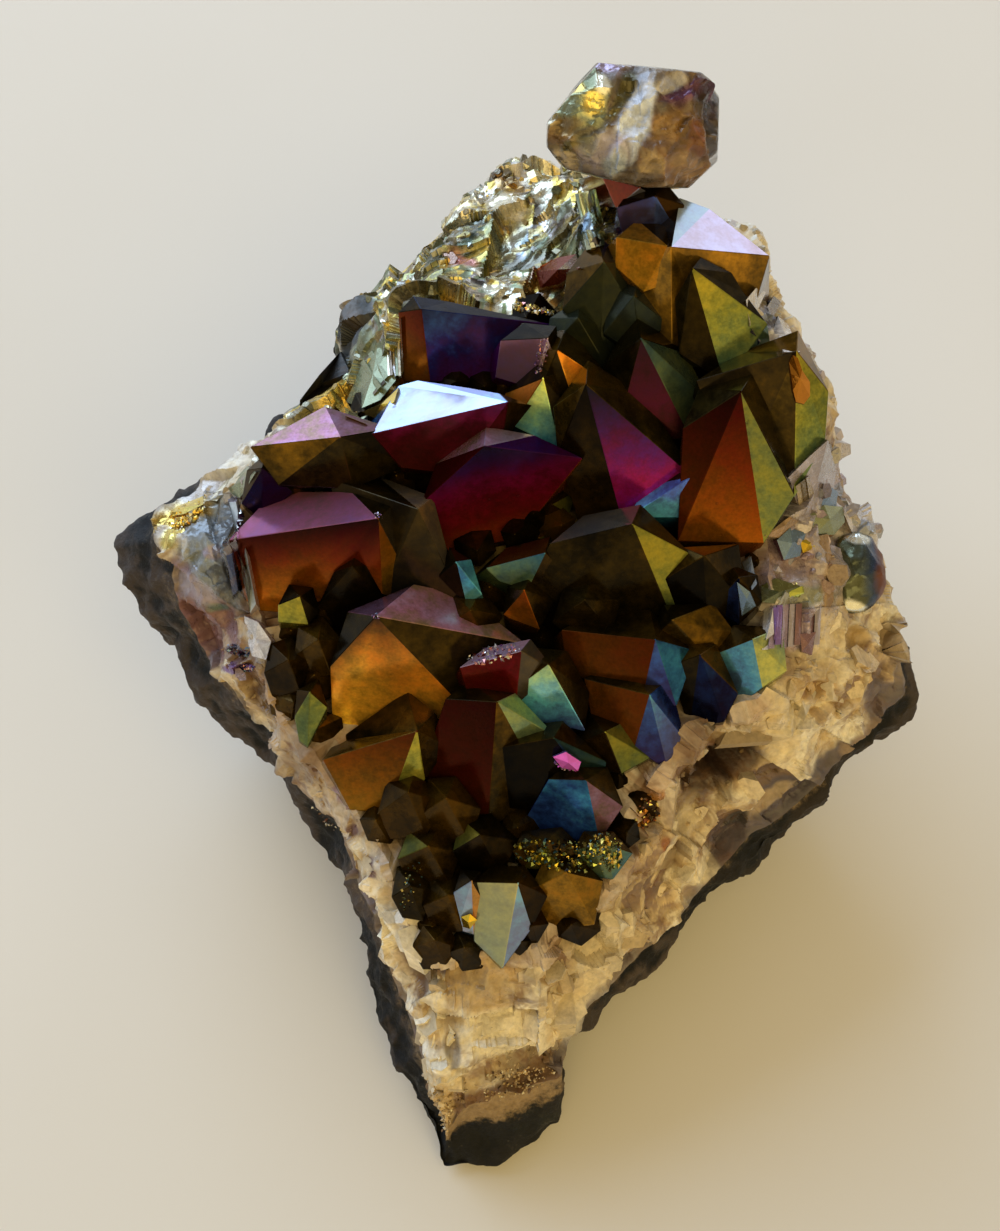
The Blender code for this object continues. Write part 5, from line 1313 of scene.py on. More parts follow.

# Film on each face of a point: the thickness at its top and its foot, the brightness at
# its top and its foot, the share of white and, where given, how late the foot's film
# sets in and whether it runs down the slope of the layout instead of with the height.
# The brightness is partly the film's own tone and partly painted light and shade: feet are
# lifted where neighbours shade them, and faces are darkened or lightened as light falls on them.
# The share of white is partly the film's pale colour and partly a painted reflection of the window.
# Faces count clockwise from the first
# corner of the point.
FILMS = {
    "left_wedge": {0: (0.49, 0.455, 1.5, 1.15, 0.17), 1: (0.49, 0.455, 1.5, 1.15, 0.17), 3: (0.05, 0.03, 0.25, 0.2, 0.02), 4: (0.20, 0.12, 0.4, 0.5, 0), 5: (0.33, 0.16, 0.04, 1.25, 0, 1.4, 1), 6: (0.33, 0.16, 0.04, 1.25, 0, 1.4, 1)},
    "left_ridge": {3: (0.05, 0.03, 0.30, 0.22, 0.015), 4: (0.05, 0.03, 0.28, 0.2, 0.015), 5: (0.05, 0.03, 0.25, 0.2, 0.01), 2: (0.08, 0.05, 0.8, 0.6, 0.08), 1: (0.08, 0.05, 0.8, 0.6, 0.08)},
    "kite": {2: (0.935, 0.92, 0.80, 0.6, 0.03), 3: (0.93, 0.92, 0.75, 0.55, 0.03), 4: (0.06, 0.03, 0.35, 0.25, 0.0), 5: (0.20, 0.10, 0.04, 5.6, 0.01, 1.95, 1), 6: (0.20, 0.10, 0.04, 5.6, 0.01, 1.95, 1), 0: (0.02, 0.02, 0.3, 0.25, 0), 1: (0.93, 0.93, 0.25, 0.2, 0)},
    "low_roof": {5: (0.87, 0.82, 0.75, 0.75, 0), 6: (0.26, 0.13, 0.16, 0.46, 0), 7: (0.26, 0.13, 0.16, 0.46, 0), 2: (0.06, 0.04, 0.3, 0.2, 0)},
    "red_blade": {2: (0.80, 0.78, 0.60, 0.55, 0.04), 3: (0.79, 0.77, 0.6, 0.5, 0.04), 4: (0.10, 0.06, 0.25, 0.2, 0), 5: (0.33, 0.29, 0.10, 0.22, 0), 6: (0.33, 0.29, 0.10, 0.22, 0)},
    "teal_fin": {5: (0.78, 0.645, 1.15, 1.4, 0.06), 6: (0.78, 0.645, 1.15, 1.4, 0.06)},
    "chipped_red": {0: (0.93, 0.93, 0.6, 0.5, 0.20), 1: (0.93, 0.93, 0.6, 0.5, 0.20), 4: (0.36, 0.31, 0.45, 0.5, 0), 5: (0.36, 0.31, 0.45, 0.5, 0), 3: (0.05, 0.03, 0.5, 0.3, 0.04), 2: (0.05, 0.03, 0.5, 0.3, 0.05)},
    "dark_low": {4: (0.05, 0.03, 0.06, 0.05, 0), 5: (0.04, 0.02, 0.05, 0.05, 0), 6: (0.04, 0.02, 0.05, 0.05, 0), 3: (0.74, 0.70, 0.08, 0.06, 0)},
    "blue_foot": {4: (0.68, 0.605, 0.30, 1.5, 0), 5: (0.68, 0.605, 0.30, 1.5, 0), 3: (0.93, 0.92, 0.30, 0.25, 0.02)},
    "dark_crown": {0: (0.05, 0.03, 0.6, 0.4, 0.08), 1: (0.05, 0.03, 0.6, 0.4, 0.06), 3: (0.84, 0.80, 0.42, 0.45, 0), 4: (0.05, 0.03, 0.20, 0.2, 0), 5: (0.04, 0.02, 0.22, 0.2, 0), 6: (0.04, 0.02, 0.22, 0.2, 0), 7: (0.04, 0.02, 0.2, 0.2, 0), 2: (0.06, 0.03, 0.4, 0.3, 0)},
    "olive_block": {4: (0.04, 0.03, 0.06, 0.05, 0), 5: (0.04, 0.03, 0.06, 0.05, 0), 1: (0.33, 0.05, 0.15, 0.1, 0), 3: (0.06, 0.04, 0.10, 0.1, 0)},
    "bronze_stub": {2: (0.12, 0.10, 0.4, 0.35, 0), 3: (0.12, 0.10, 0.35, 0.3, 0), 4: (0.09, 0.07, 0.4, 0.3, 0), 5: (0.09, 0.07, 0.4, 0.3, 0)},
    "rust_roof": {5: (0.26, 0.21, 0.17, 0.22, 0), 6: (0.26, 0.21, 0.17, 0.22, 0), 4: (0.60, 0.585, 0.75, 0.65, 0.02), 3: (0.65, 0.68, 0.3, 0.35, 0)},
    "violet_step": {2: (0.62, 0.60, 0.45, 0.4, 0), 3: (0.66, 0.585, 0.70, 0.62, 0.07), 4: (0.63, 0.57, 0.6, 0.5, 0.02), 5: (0.24, 0.20, 0.25, 0.2, 0), 6: (0.24, 0.20, 0.25, 0.2, 0)},
    "leaf": {3: (0.83, 0.80, 0.34, 0.3, 0), 2: (0.83, 0.80, 0.28, 0.25, 0)},
    "blue_chip": {4: (0.63, 0.61, 0.14, 0.12, 0), 5: (0.63, 0.61, 0.14, 0.12, 0)},
    "lime_chip": {2: (0.82, 0.80, 0.95, 0.9, 0.08), 3: (0.82, 0.80, 0.95, 0.9, 0.08), 4: (0.72, 0.66, 0.75, 0.5, 0.05), 5: (0.72, 0.66, 0.75, 0.5, 0.05)},
    "night_chip": {3: (0.60, 0.60, 0.2, 0.2, 0), 4: (0.60, 0.60, 0.15, 0.1, 0), 5: (0.04, 0.02, 0.15, 0.1, 0)},
    "magenta_blade": {4: (0.57, 0.44, 0.02, 2.4, 0.01, 1.4), 5: (0.12, 0.10, 0.01, 0.16, 0, 2.2), 6: (0.12, 0.10, 0.01, 0.16, 0, 2.2), 3: (0.06, 0.05, 0.3, 0.2, 0.0), 0: (0.10, 0.06, 0.3, 0.2, 0)},
    "cyan_foot": {5: (0.645, 0.67, 1.9, 2.0, 0.08), 4: (0.645, 0.67, 1.9, 2.0, 0.08), 0: (0.645, 0.67, 1.9, 2.0, 0.08)},
    "plum_spear": {5: (0.52, 0.38, 0.13, 0.22, 0.01), 6: (0.52, 0.38, 0.13, 0.22, 0.01), 4: (0.74, 0.80, 0.17, 0.22, 0.02), 3: (0.76, 0.82, 0.20, 0.24, 0.02)},
    "orange_spear": {3: (0.215, 0.14, 2.5, 3.1, 0.02), 4: (0.04, 0.03, 0.3, 0.2, 0), 5: (0.04, 0.03, 0.3, 0.2, 0), 2: (0.05, 0.03, 0.3, 0.2, 0)},
    "green_wedge": {5: (0.82, 0.69, 1.9, 1.7, 0.03), 0: (0.22, 0.18, 0.6, 0.6, 0), 4: (0.06, 0.04, 0.5, 0.3, 0.02), 3: (0.05, 0.03, 0.4, 0.3, 0)},
    "purple_shield": {4: (0.565, 0.26, 0.10, 1.5, 0.005, 1.1), 5: (0.565, 0.26, 0.10, 1.5, 0.005, 1.1), 6: (0.565, 0.26, 0.10, 1.5, 0.005, 1.1), 2: (0.97, 0.97, 0.55, 0.5, 0.12), 3: (0.54, 0.52, 0.35, 0.3, 0.0), 0: (0.36, 0.33, 0.2, 0.2, 0), 1: (0.93, 0.92, 0.5, 0.4, 0.05)},
    "white_roof": {0: (0.665, 0.65, 1.08, 0.88, 0.54), 1: (0.70, 0.69, 0.9, 0.8, 0.45), 2: (0.66, 0.62, 0.6, 0.5, 0.22), 3: (0.64, 0.60, 0.5, 0.45, 0.22), 7: (0.49, 0.33, 0.46, 0.60, 0.01), 8: (0.49, 0.33, 0.46, 0.60, 0.01), 6: (0.38, 0.34, 0.25, 0.25, 0)},
    "navy_slab": {1: (0.625, 0.615, 0.04, 0.04, 0.0), 2: (0.625, 0.615, 0.04, 0.04, 0.0), 3: (0.605, 0.545, 0.22, 1.6, 0.01), 4: (0.605, 0.545, 0.22, 1.6, 0.01), 5: (0.31, 0.16, 0.25, 0.5, 0), 6: (0.31, 0.16, 0.25, 0.5, 0)},
    "pink_step": {4: (0.53, 0.51, 1.35, 1.1, 0.15), 5: (0.53, 0.51, 1.35, 1.1, 0.15), 3: (0.95, 0.95, 0.6, 0.5, 0.2)},
    "pink_tent": {0: (0.925, 0.92, 0.50, 0.42, 0.02), 1: (0.94, 0.93, 0.45, 0.3, 0.03), 5: (0.11, 0.09, 0.45, 0.45, 0), 4: (0.05, 0.03, 0.35, 0.25, 0), 3: (0.05, 0.03, 0.3, 0.2, 0)},
    "indigo_chip": {4: (0.57, 0.55, 0.18, 0.16, 0), 3: (0.57, 0.55, 0.2, 0.2, 0), 0: (0.06, 0.04, 0.4, 0.3, 0.05)},
    "cyan_chip": {3: (0.70, 0.71, 0.95, 0.9, 0.02), 2: (0.70, 0.71, 0.95, 0.9, 0.02)},
    "teal_chip": {4: (0.69, 0.78, 0.24, 0.45, 0.02), 5: (0.69, 0.78, 0.24, 0.45, 0.02)},
    "orange_chip": {4: (0.24, 0.2, 0.5, 0.5, 0), 5: (0.24, 0.2, 0.5, 0.5, 0)},
    "yellow_chip": {4: (0.87, 0.85, 0.7, 0.7, 0), 5: (0.87, 0.85, 0.7, 0.7, 0)},
    "slim_chip": {4: (0.83, 0.80, 0.5, 0.5, 0), 5: (0.83, 0.80, 0.5, 0.5, 0), 3: (0.83, 0.80, 0.6, 0.5, 0)},
    "red_spire": {5: (0.35, 0.25, 0.05, 0.30, 0), 4: (0.345, 0.20, 0.18, 0.60, 0), 3: (0.81, 0.79, 0.42, 0.5, 0.02), 0: (0.05, 0.04, 0.3, 0.2, 0), 1: (0.05, 0.04, 0.3, 0.2, 0), 2: (0.06, 0.04, 0.3, 0.2, 0)},
    "east_spire": {5: (0.06, 0.04, 0.9, 0.7, 0.01), 6: (0.05, 0.03, 0.36, 0.28, 0.01), 4: (0.87, 0.80, 0.72, 0.75, 0), 3: (0.86, 0.82, 0.6, 0.6, 0), 0: (0.10, 0.08, 0.35, 0.3, 0), 1: (0.13, 0.10, 0.35, 0.3, 0), 2: (0.14, 0.12, 0.4, 0.4, 0)},
    "lavender_roof": {0: (0.72, 0.70, 0.95, 0.95, 0.50), 1: (1.0, 0.97, 1.0, 0.95, 0.50), 2: (0.12, 0.10, 0.75, 0.7, 0.01), 3: (0.12, 0.10, 0.7, 0.6, 0.01), 5: (0.14, 0.10, 0.85, 0.8, 0.01), 6: (0.17, 0.12, 0.7, 0.65, 0.01), 4: (0.13, 0.10, 0.5, 0.5, 0)},
    "green_spear": {1: (0.05, 0.04, 0.26, 0.2, 0), 2: (0.86, 0.77, 0.60, 0.62, 0), 3: (0.05, 0.03, 0.3, 0.25, 0), 4: (0.05, 0.03, 0.25, 0.2, 0), 0: (0.06, 0.04, 0.3, 0.25, 0)},
    "amber_break": {4: (0.18, 0.16, 0.95, 0.9, 0), 5: (0.18, 0.16, 0.95, 0.9, 0), 6: (0.18, 0.16, 0.95, 0.9, 0), 0: (0.16, 0.14, 0.8, 0.8, 0)},
    "navy_block": {4: (0.62, 0.58, 0.7, 0.6, 0.05), 5: (0.62, 0.56, 0.7, 0.6, 0.05), 6: (0.61, 0.56, 0.7, 0.6, 0.05)},
    "maroon_chip": {4: (0.35, 0.31, 1.5, 1.3, 0.08), 3: (0.63, 0.62, 0.6, 0.6, 0.3)},
    "grey_gable": {3: (0.78, 0.76, 0.06, 0.05, 0.02), 4: (0.80, 0.76, 0.05, 0.04, 0.012), 5: (0.80, 0.76, 0.05, 0.04, 0.012), 2: (0.05, 0.03, 0.16, 0.1, 0.02)},
    "grey_spear": {k: (0.78, 0.76, 0.07, 0.05, 0.02) for k in range(9)},
    "grey_stub": {k: (0.80, 0.78, 0.06, 0.05, 0.012) for k in range(9)},
    "pale_tooth": {4: (0.68, 0.64, 0.75, 0.6, 0.22), 5: (0.81, 0.76, 0.75, 0.65, 0.28), 6: (0.81, 0.76, 0.75, 0.65, 0.28)},
    "pale_chip": {4: (0.66, 0.66, 0.8, 0.7, 0.35), 3: (0.15, 0.16, 0.8, 0.8, 0.05), 5: (0.66, 0.66, 0.6, 0.6, 0.25)},
    "amber_knot": {4: (0.145, 0.13, 0.6, 0.5, 0), 5: (0.145, 0.13, 0.6, 0.5, 0), 3: (0.14, 0.13, 0.5, 0.4, 0), 0: (0.15, 0.12, 0.5, 0.4, 0)},
    "crumb_a": {4: (0.84, 0.84, 0.3, 0.25, 0), 5: (0.10, 0.10, 0.3, 0.25, 0)},
    "crumb_b": {4: (0.80, 0.72, 0.3, 0.3, 0.03), 3: (0.80, 0.72, 0.3, 0.3, 0.03)},
}

# the east spire is cut a little closer than the part's plain point
# the left wedge stops short of the clear prism on the rim
POINTS["left_wedge"] = ((378, 518, 7.5), [(242, 538, 0.30), (283, 494, N), (354, 494, 1.2), (392, 505, 1.4), (400, 560, 1.0), (383, 612, 0.75), (263, 602, N)])
POINTS["east_spire"] = ((797, 351, 9.5), [(705, 378, 0.32), (745, 352, 0.9), (798, 332, 1.3), (826, 388, 0.7), (823, 432, 0.6), (795, 484, 0.42), (742, 476, 0.55)])

REGIONS = {
    "points_north": ["navy_slab", "pink_step", "grey_gable", "grey_spear", "grey_stub", "amber_break", "navy_block", "maroon_chip", "lavender_roof", "green_spear", "orange_spear", "plum_spear"],
    "points_east": ["red_spire", "east_spire", "magenta_blade", "cyan_foot", "green_wedge", "olive_block", "blue_chip"],
    "points_west": ["left_wedge", "left_ridge", "pink_tent", "indigo_chip", "white_roof", "purple_shield", "cyan_chip", "yellow_chip", "slim_chip", "mid_b", "mid_c", "mid_e"],
    "points_middle": ["kite", "low_roof", "red_blade", "teal_fin", "chipped_red", "dark_low", "dark_crown", "teal_chip", "orange_chip", "mid_a", "mid_d", "rust_roof", "violet_step", "leaf", "bronze_stub", "lime_chip", "night_chip", "blue_foot"],
    "points_low": ["low_a", "low_b", "low_c", "low_d", "low_e", "low_f", "pale_tooth", "pale_chip", "amber_knot", "crumb_a", "crumb_b"],
}


def flat_groups(corners):
    """For each face, the number of the flat face it is part of."""
    count = len(corners)
    group = list(range(count))
    for j in range(count):
        if corners[j][2] is None:
            a, b = (j - 1) % count, j
            ga, gb = group[a], group[b]
            group = [min(ga, gb) if g in (ga, gb) else g for g in group]
    return group


def bevelled(verts, faces, width, rng):
    bm = bmesh.new()
    made = [bm.verts.new(v) for v in verts]
    for f in faces:
        bm.faces.new([made[i] for i in f])
    bmesh.ops.recalc_face_normals(bm, faces=bm.faces)
    layer = bm.faces.layers.int.new("source")
    bm.faces.ensure_lookup_table()
    for i, f in enumerate(bm.faces):
        f[layer] = i
    if width > 0:
        sharp = [e for e in bm.edges if len(e.link_faces) == 2 and e.link_faces[0].normal.dot(e.link_faces[1].normal) < 0.96]
        bmesh.ops.bevel(bm, geom=sharp, offset=width, offset_type="OFFSET", segments=1, profile=0.5, affect="EDGES", clamp_overlap=True, material=1)
    return bm


def build_points():
    rng = random.Random(SEED)
    fillers = [f for f in filler_points() if not (f[0][0] < 282 and 600 < f[0][1] < 730)]
    where = {name: region for region, names in REGIONS.items() for name in names}
    sets = {region: [] for region in REGIONS}
    for name, (tip, corners) in POINTS.items():
        sets[where[name]].append((name, tip, corners))
    centres = {r: np.mean([POINTS[n][0][:2] for n in names], 0) for r, names in REGIONS.items()}
    for i, (tip, corners) in enumerate(fillers):
        r = min(centres, key=lambda k: (centres[k][0] - tip[0]) ** 2 + (centres[k][1] - tip[1]) ** 2)
        sets[r].append(("filler_%02d" % i, tip, corners))
    for region, entries in sets.items():
        collection = bpy.data.collections.new(region)
        bpy.context.scene.collection.children.link(collection)
        tri_verts, tri_faces, tri_film = [], [], []
        helpers = []
        for name, tip, corners in entries:
            verts, faces = point_mesh(tip, corners)
            count = len(corners)
            groups = flat_groups(corners)
            films = FILMS.get(name, {})
            apex = np.array(tuple(verts[0]))
            ring = array(verts[1 : 1 + count])
            top = apex @ NORMAL_A
            tone = 0.06 + 0.16 * rng.random()
            base_t = rng.choice([0.06, 0.08, 0.10, 0.10, 0.06, 0.12])
            for i in range(count):
                j = (i + 1) % count
                g = groups[i]
                spec = films.get(i, films.get(g))
                normal = np.cross(ring[j] - apex, ring[i] - apex)
                normal /= np.linalg.norm(normal)
                if normal @ NORMAL_A < 0:
                    normal = -normal
                if spec is None:
                    # faces with no listed film get a dark film, darker towards the foot: painted shade low between the
                    # points
                    lean = normal @ UPWARD_A
                    if lean > 0.45 and not films:
                        spec = (PNK - 0.02, PNK, 0.28, 0.20, 0.0) if rng.random() < 0.12 else (base_t, base_t, tone, tone * 0.7, 0.0)
                    else:
                        spec = (0.86, 0.82, 0.30, 0.24, 0.0) if not films and rng.random() < 0.05 else (base_t + 0.03, base_t, tone, tone * 0.6, 0.0)
                    films = dict(films)
                    films[g] = spec
                members = [k for k in range(count) if groups[k] == g]
                foot = min(min(ring[k] @ NORMAL_A, ring[(k + 1) % count] @ NORMAL_A) for k in members)
                slope = [apex @ UPWARD_A] + [ring[m % count] @ UPWARD_A for k in members for m in (k, k + 1)]
                slope = (max(slope), min(slope))
                b = len(tri_verts)
                tri_verts += [apex, ring[i], ring[j]]
                tri_faces.append((b, b + 1, b + 2))
                tri_film.append((normal, top, foot, spec, slope))
                # the prism below takes the foot's film, darker still and with no white: painted shade down between the
                # points
                root_i, root_j = np.array(tuple(verts[1 + count + i])), np.array(tuple(verts[1 + count + j]))
                b = len(tri_verts)
                tri_verts += [ring[i], ring[j], root_j, root_i]
                side = np.cross(ring[j] - ring[i], root_i - ring[i])
                side /= max(np.linalg.norm(side), 1e-12)
                tri_faces.append((b, b + 1, b + 2, b + 3))
                tri_film.append((side, top, foot, (spec[1], spec[1], min(spec[3], 1.0) * 0.8, min(spec[3], 1.0) * 0.6, 0.0), slope))
            width = 0.00003 if name.startswith("filler") else 0.000045
            bm = bevelled([tuple(v) for v in verts], faces, width, rng)
            mesh = bpy.data.meshes.new(name)
            bm.to_mesh(mesh)
            bm.free()
            obj = bpy.data.objects.new("helper_" + name, mesh)
            collection.objects.link(obj)
            helpers.append(obj)
        # one closed skin for the whole group
        first = helpers[0]
        collection.objects.unlink(first)
        bpy.context.scene.collection.objects.link(first)
        join = first.modifiers.new("union", "BOOLEAN")
        join.operation, join.solver = "UNION", "MANIFOLD" if USE_MANIFOLD else "EXACT"
        join.operand_type, join.collection = "COLLECTION", collection
        graph = bpy.context.evaluated_depsgraph_get()
        mesh = bpy.data.meshes.new_from_object(first.evaluated_get(graph))
        for obj in helpers:
            bpy.data.objects.remove(obj, do_unlink=True)
        bpy.data.collections.remove(collection)
        paint_points(mesh, tri_verts, tri_faces, tri_film)
        mesh.name = region
        obj = bpy.data.objects.new(region, mesh)
        bpy.context.scene.collection.objects.link(obj)
        mesh.materials.clear()
        mesh.materials.append(FILM)
        for p in mesh.polygons:
            p.material_index = 0
        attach(obj, "root")
        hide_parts("druzy_shard")
        print(region, "faces", len(mesh.polygons))


USE_MANIFOLD = True


def paint_points(mesh, tri_verts, tri_faces, tri_film):
    """Gives every face its crystal's film, by the nearest drawn face that looks the same way."""
    tree = BVHTree.FromPolygons([tuple(v) for v in tri_verts], tri_faces)
    layer = mesh.color_attributes.new("film", "FLOAT_COLOR", "CORNER")
    values = np.ones((len(mesh.loops), 4), np.float32)
    for poly in mesh.polygons:
        centre, facing = poly.center, poly.normal
        found = tree.find_nearest_range(centre, 0.0003)
        best, film = -9.0, None
        for co, nor, index, dist in found:
            normal = tri_film[index][0]
            agree = abs(normal[0] * facing.x + normal[1] * facing.y + normal[2] * facing.z) - dist * 2500.0
            if agree > best:
                best, film = agree, tri_film[index]
        if film is None:
            values[poly.loop_start : poly.loop_start + poly.loop_total, :3] = (0.03, 0.3, 0.0)
            continue
        normal, top, foot, spec, slope = film
        t0, t1, top_tone_and_light, foot_tone_and_light, pale = spec[:5]
        late = spec[5] if len(spec) > 5 else 1.0
        for k in range(poly.loop_start, poly.loop_start + poly.loop_total):
            p = mesh.vertices[mesh.loops[k].vertex_index].co
            if len(spec) > 6:
                f = (slope[0] - (p.x * UPWARD_A[0] + p.y * UPWARD_A[1] + p.z * UPWARD_A[2])) / max(slope[0] - slope[1], 1e-9)
            else:
                f = (top - (p.x * NORMAL_A[0] + p.y * NORMAL_A[1] + p.z * NORMAL_A[2])) / max(top - foot, 1e-9)
            f = min(max(f, 0.0), 1.15) ** late
            values[k, 0] = t0 + (t1 - t0) * f
            # green: brightness, partly the film's own tone and partly painted light and shade; blue: white share,
            # partly a painted reflection
            values[k, 1] = top_tone_and_light + (foot_tone_and_light - top_tone_and_light) * f
            values[k, 2] = pale
    layer.data.foreach_set("color", values.ravel())


build_points()


# ---------------------------------------------------------------- bed under the points
def build_bed():
    count = 130
    pick = np.linspace(0, COLUMNS, count, endpoint=False).astype(int)
    edge = rings["edge"][pick] * 0.97 + HEART * 0.03
    rows = []
    for share in (1.0, 0.85, 0.7, 0.5, 0.3, 0.12):
        q = edge * share + HEART * (1.0 - share)
        level = (q - ORIGIN_A) @ NORMAL_A
        q = q + np.outer(FLOOR_LEVEL * MM - 0.0002 - level, NORMAL_A)
        q = q + np.outer(rumble(q, 0.004, 401, 3) * 0.0003, NORMAL_A)
        rows.append(q)
    grid = np.stack(rows)
    r, c = grid.shape[:2]
    flat = grid.reshape(-1, 3)
    low = grid[0] - NORMAL_A * 0.002
    verts = np.concatenate([flat, low])
    faces = grid_faces(r, c, True)
    base = r * c
    faces.append(tuple((r - 1) * c + k for k in range(c)))
    for k in range(c):
        faces.append((k, (k + 1) % c, base + (k + 1) % c, base + k))
    faces.append(tuple(base + k for k in range(c)))
    colours = np.zeros((len(verts), 3))
    # the darkest olive film at low brightness: painted shade in the gaps between the points' roots
    colours[:, 0], colours[:, 1] = 0.03, 0.35
    make_piece("druse_bed", verts, faces, FILM, layers={"film": colours})


build_bed()



# ---------------------------------------------------------------- shards lying in the broken faces
CAD = bpy.data.objects["druzy_shard"]
CAD_TREE = BVHTree.FromPolygons([CAD.matrix_world @ v.co for v in CAD.data.vertices], [tuple(p.vertices) for p in CAD.data.polygons])


def on_surface(x, y, lift=0.0):
    """The point of the part's surface seen at this layout position, lifted by so many mm."""
    target = place(x, y, 0.0)
    eye = ORIGIN + NORMAL * SIGHT_DISTANCE
    ray = (target - eye).normalized()
    hit = CAD_TREE.ray_cast(eye, ray)
    p = hit[0] if hit[0] is not None else place(x, y, -4.0)
    return p - ray * (lift * MM)


SUNK = 0.15  # mm: how much deeper every shard sits than it is listed


def slab(corners, middle_lift, depth, inset=0.12):
    """A shard: its top follows the corners, its sides go down into the quartz."""
    top = [np.array(tuple(on_surface(x, y, lift - SUNK))) for x, y, lift in corners]
    cx, cy = np.mean([c[0] for c in corners]), np.mean([c[1] for c in corners])
    if middle_lift is None:
        middle_lift = np.mean([c[2] for c in corners])
    crown = np.mean(top, 0)
    crown = crown + NORMAL_A * (middle_lift - np.mean([c[2] for c in corners])) * MM
    foot = [p + (crown - p) * -inset - NORMAL_A * depth * MM for p in top]
    n = len(top)
    verts = np.array(top + foot + [crown])
    faces = [(i, (i + 1) % n, 2 * n) for i in range(n)]
    faces += [(i, n + i, n + (i + 1) % n, (i + 1) % n) for i in range(n)]
    faces += [tuple(range(n, 2 * n))]
    return verts, outward(verts, faces)


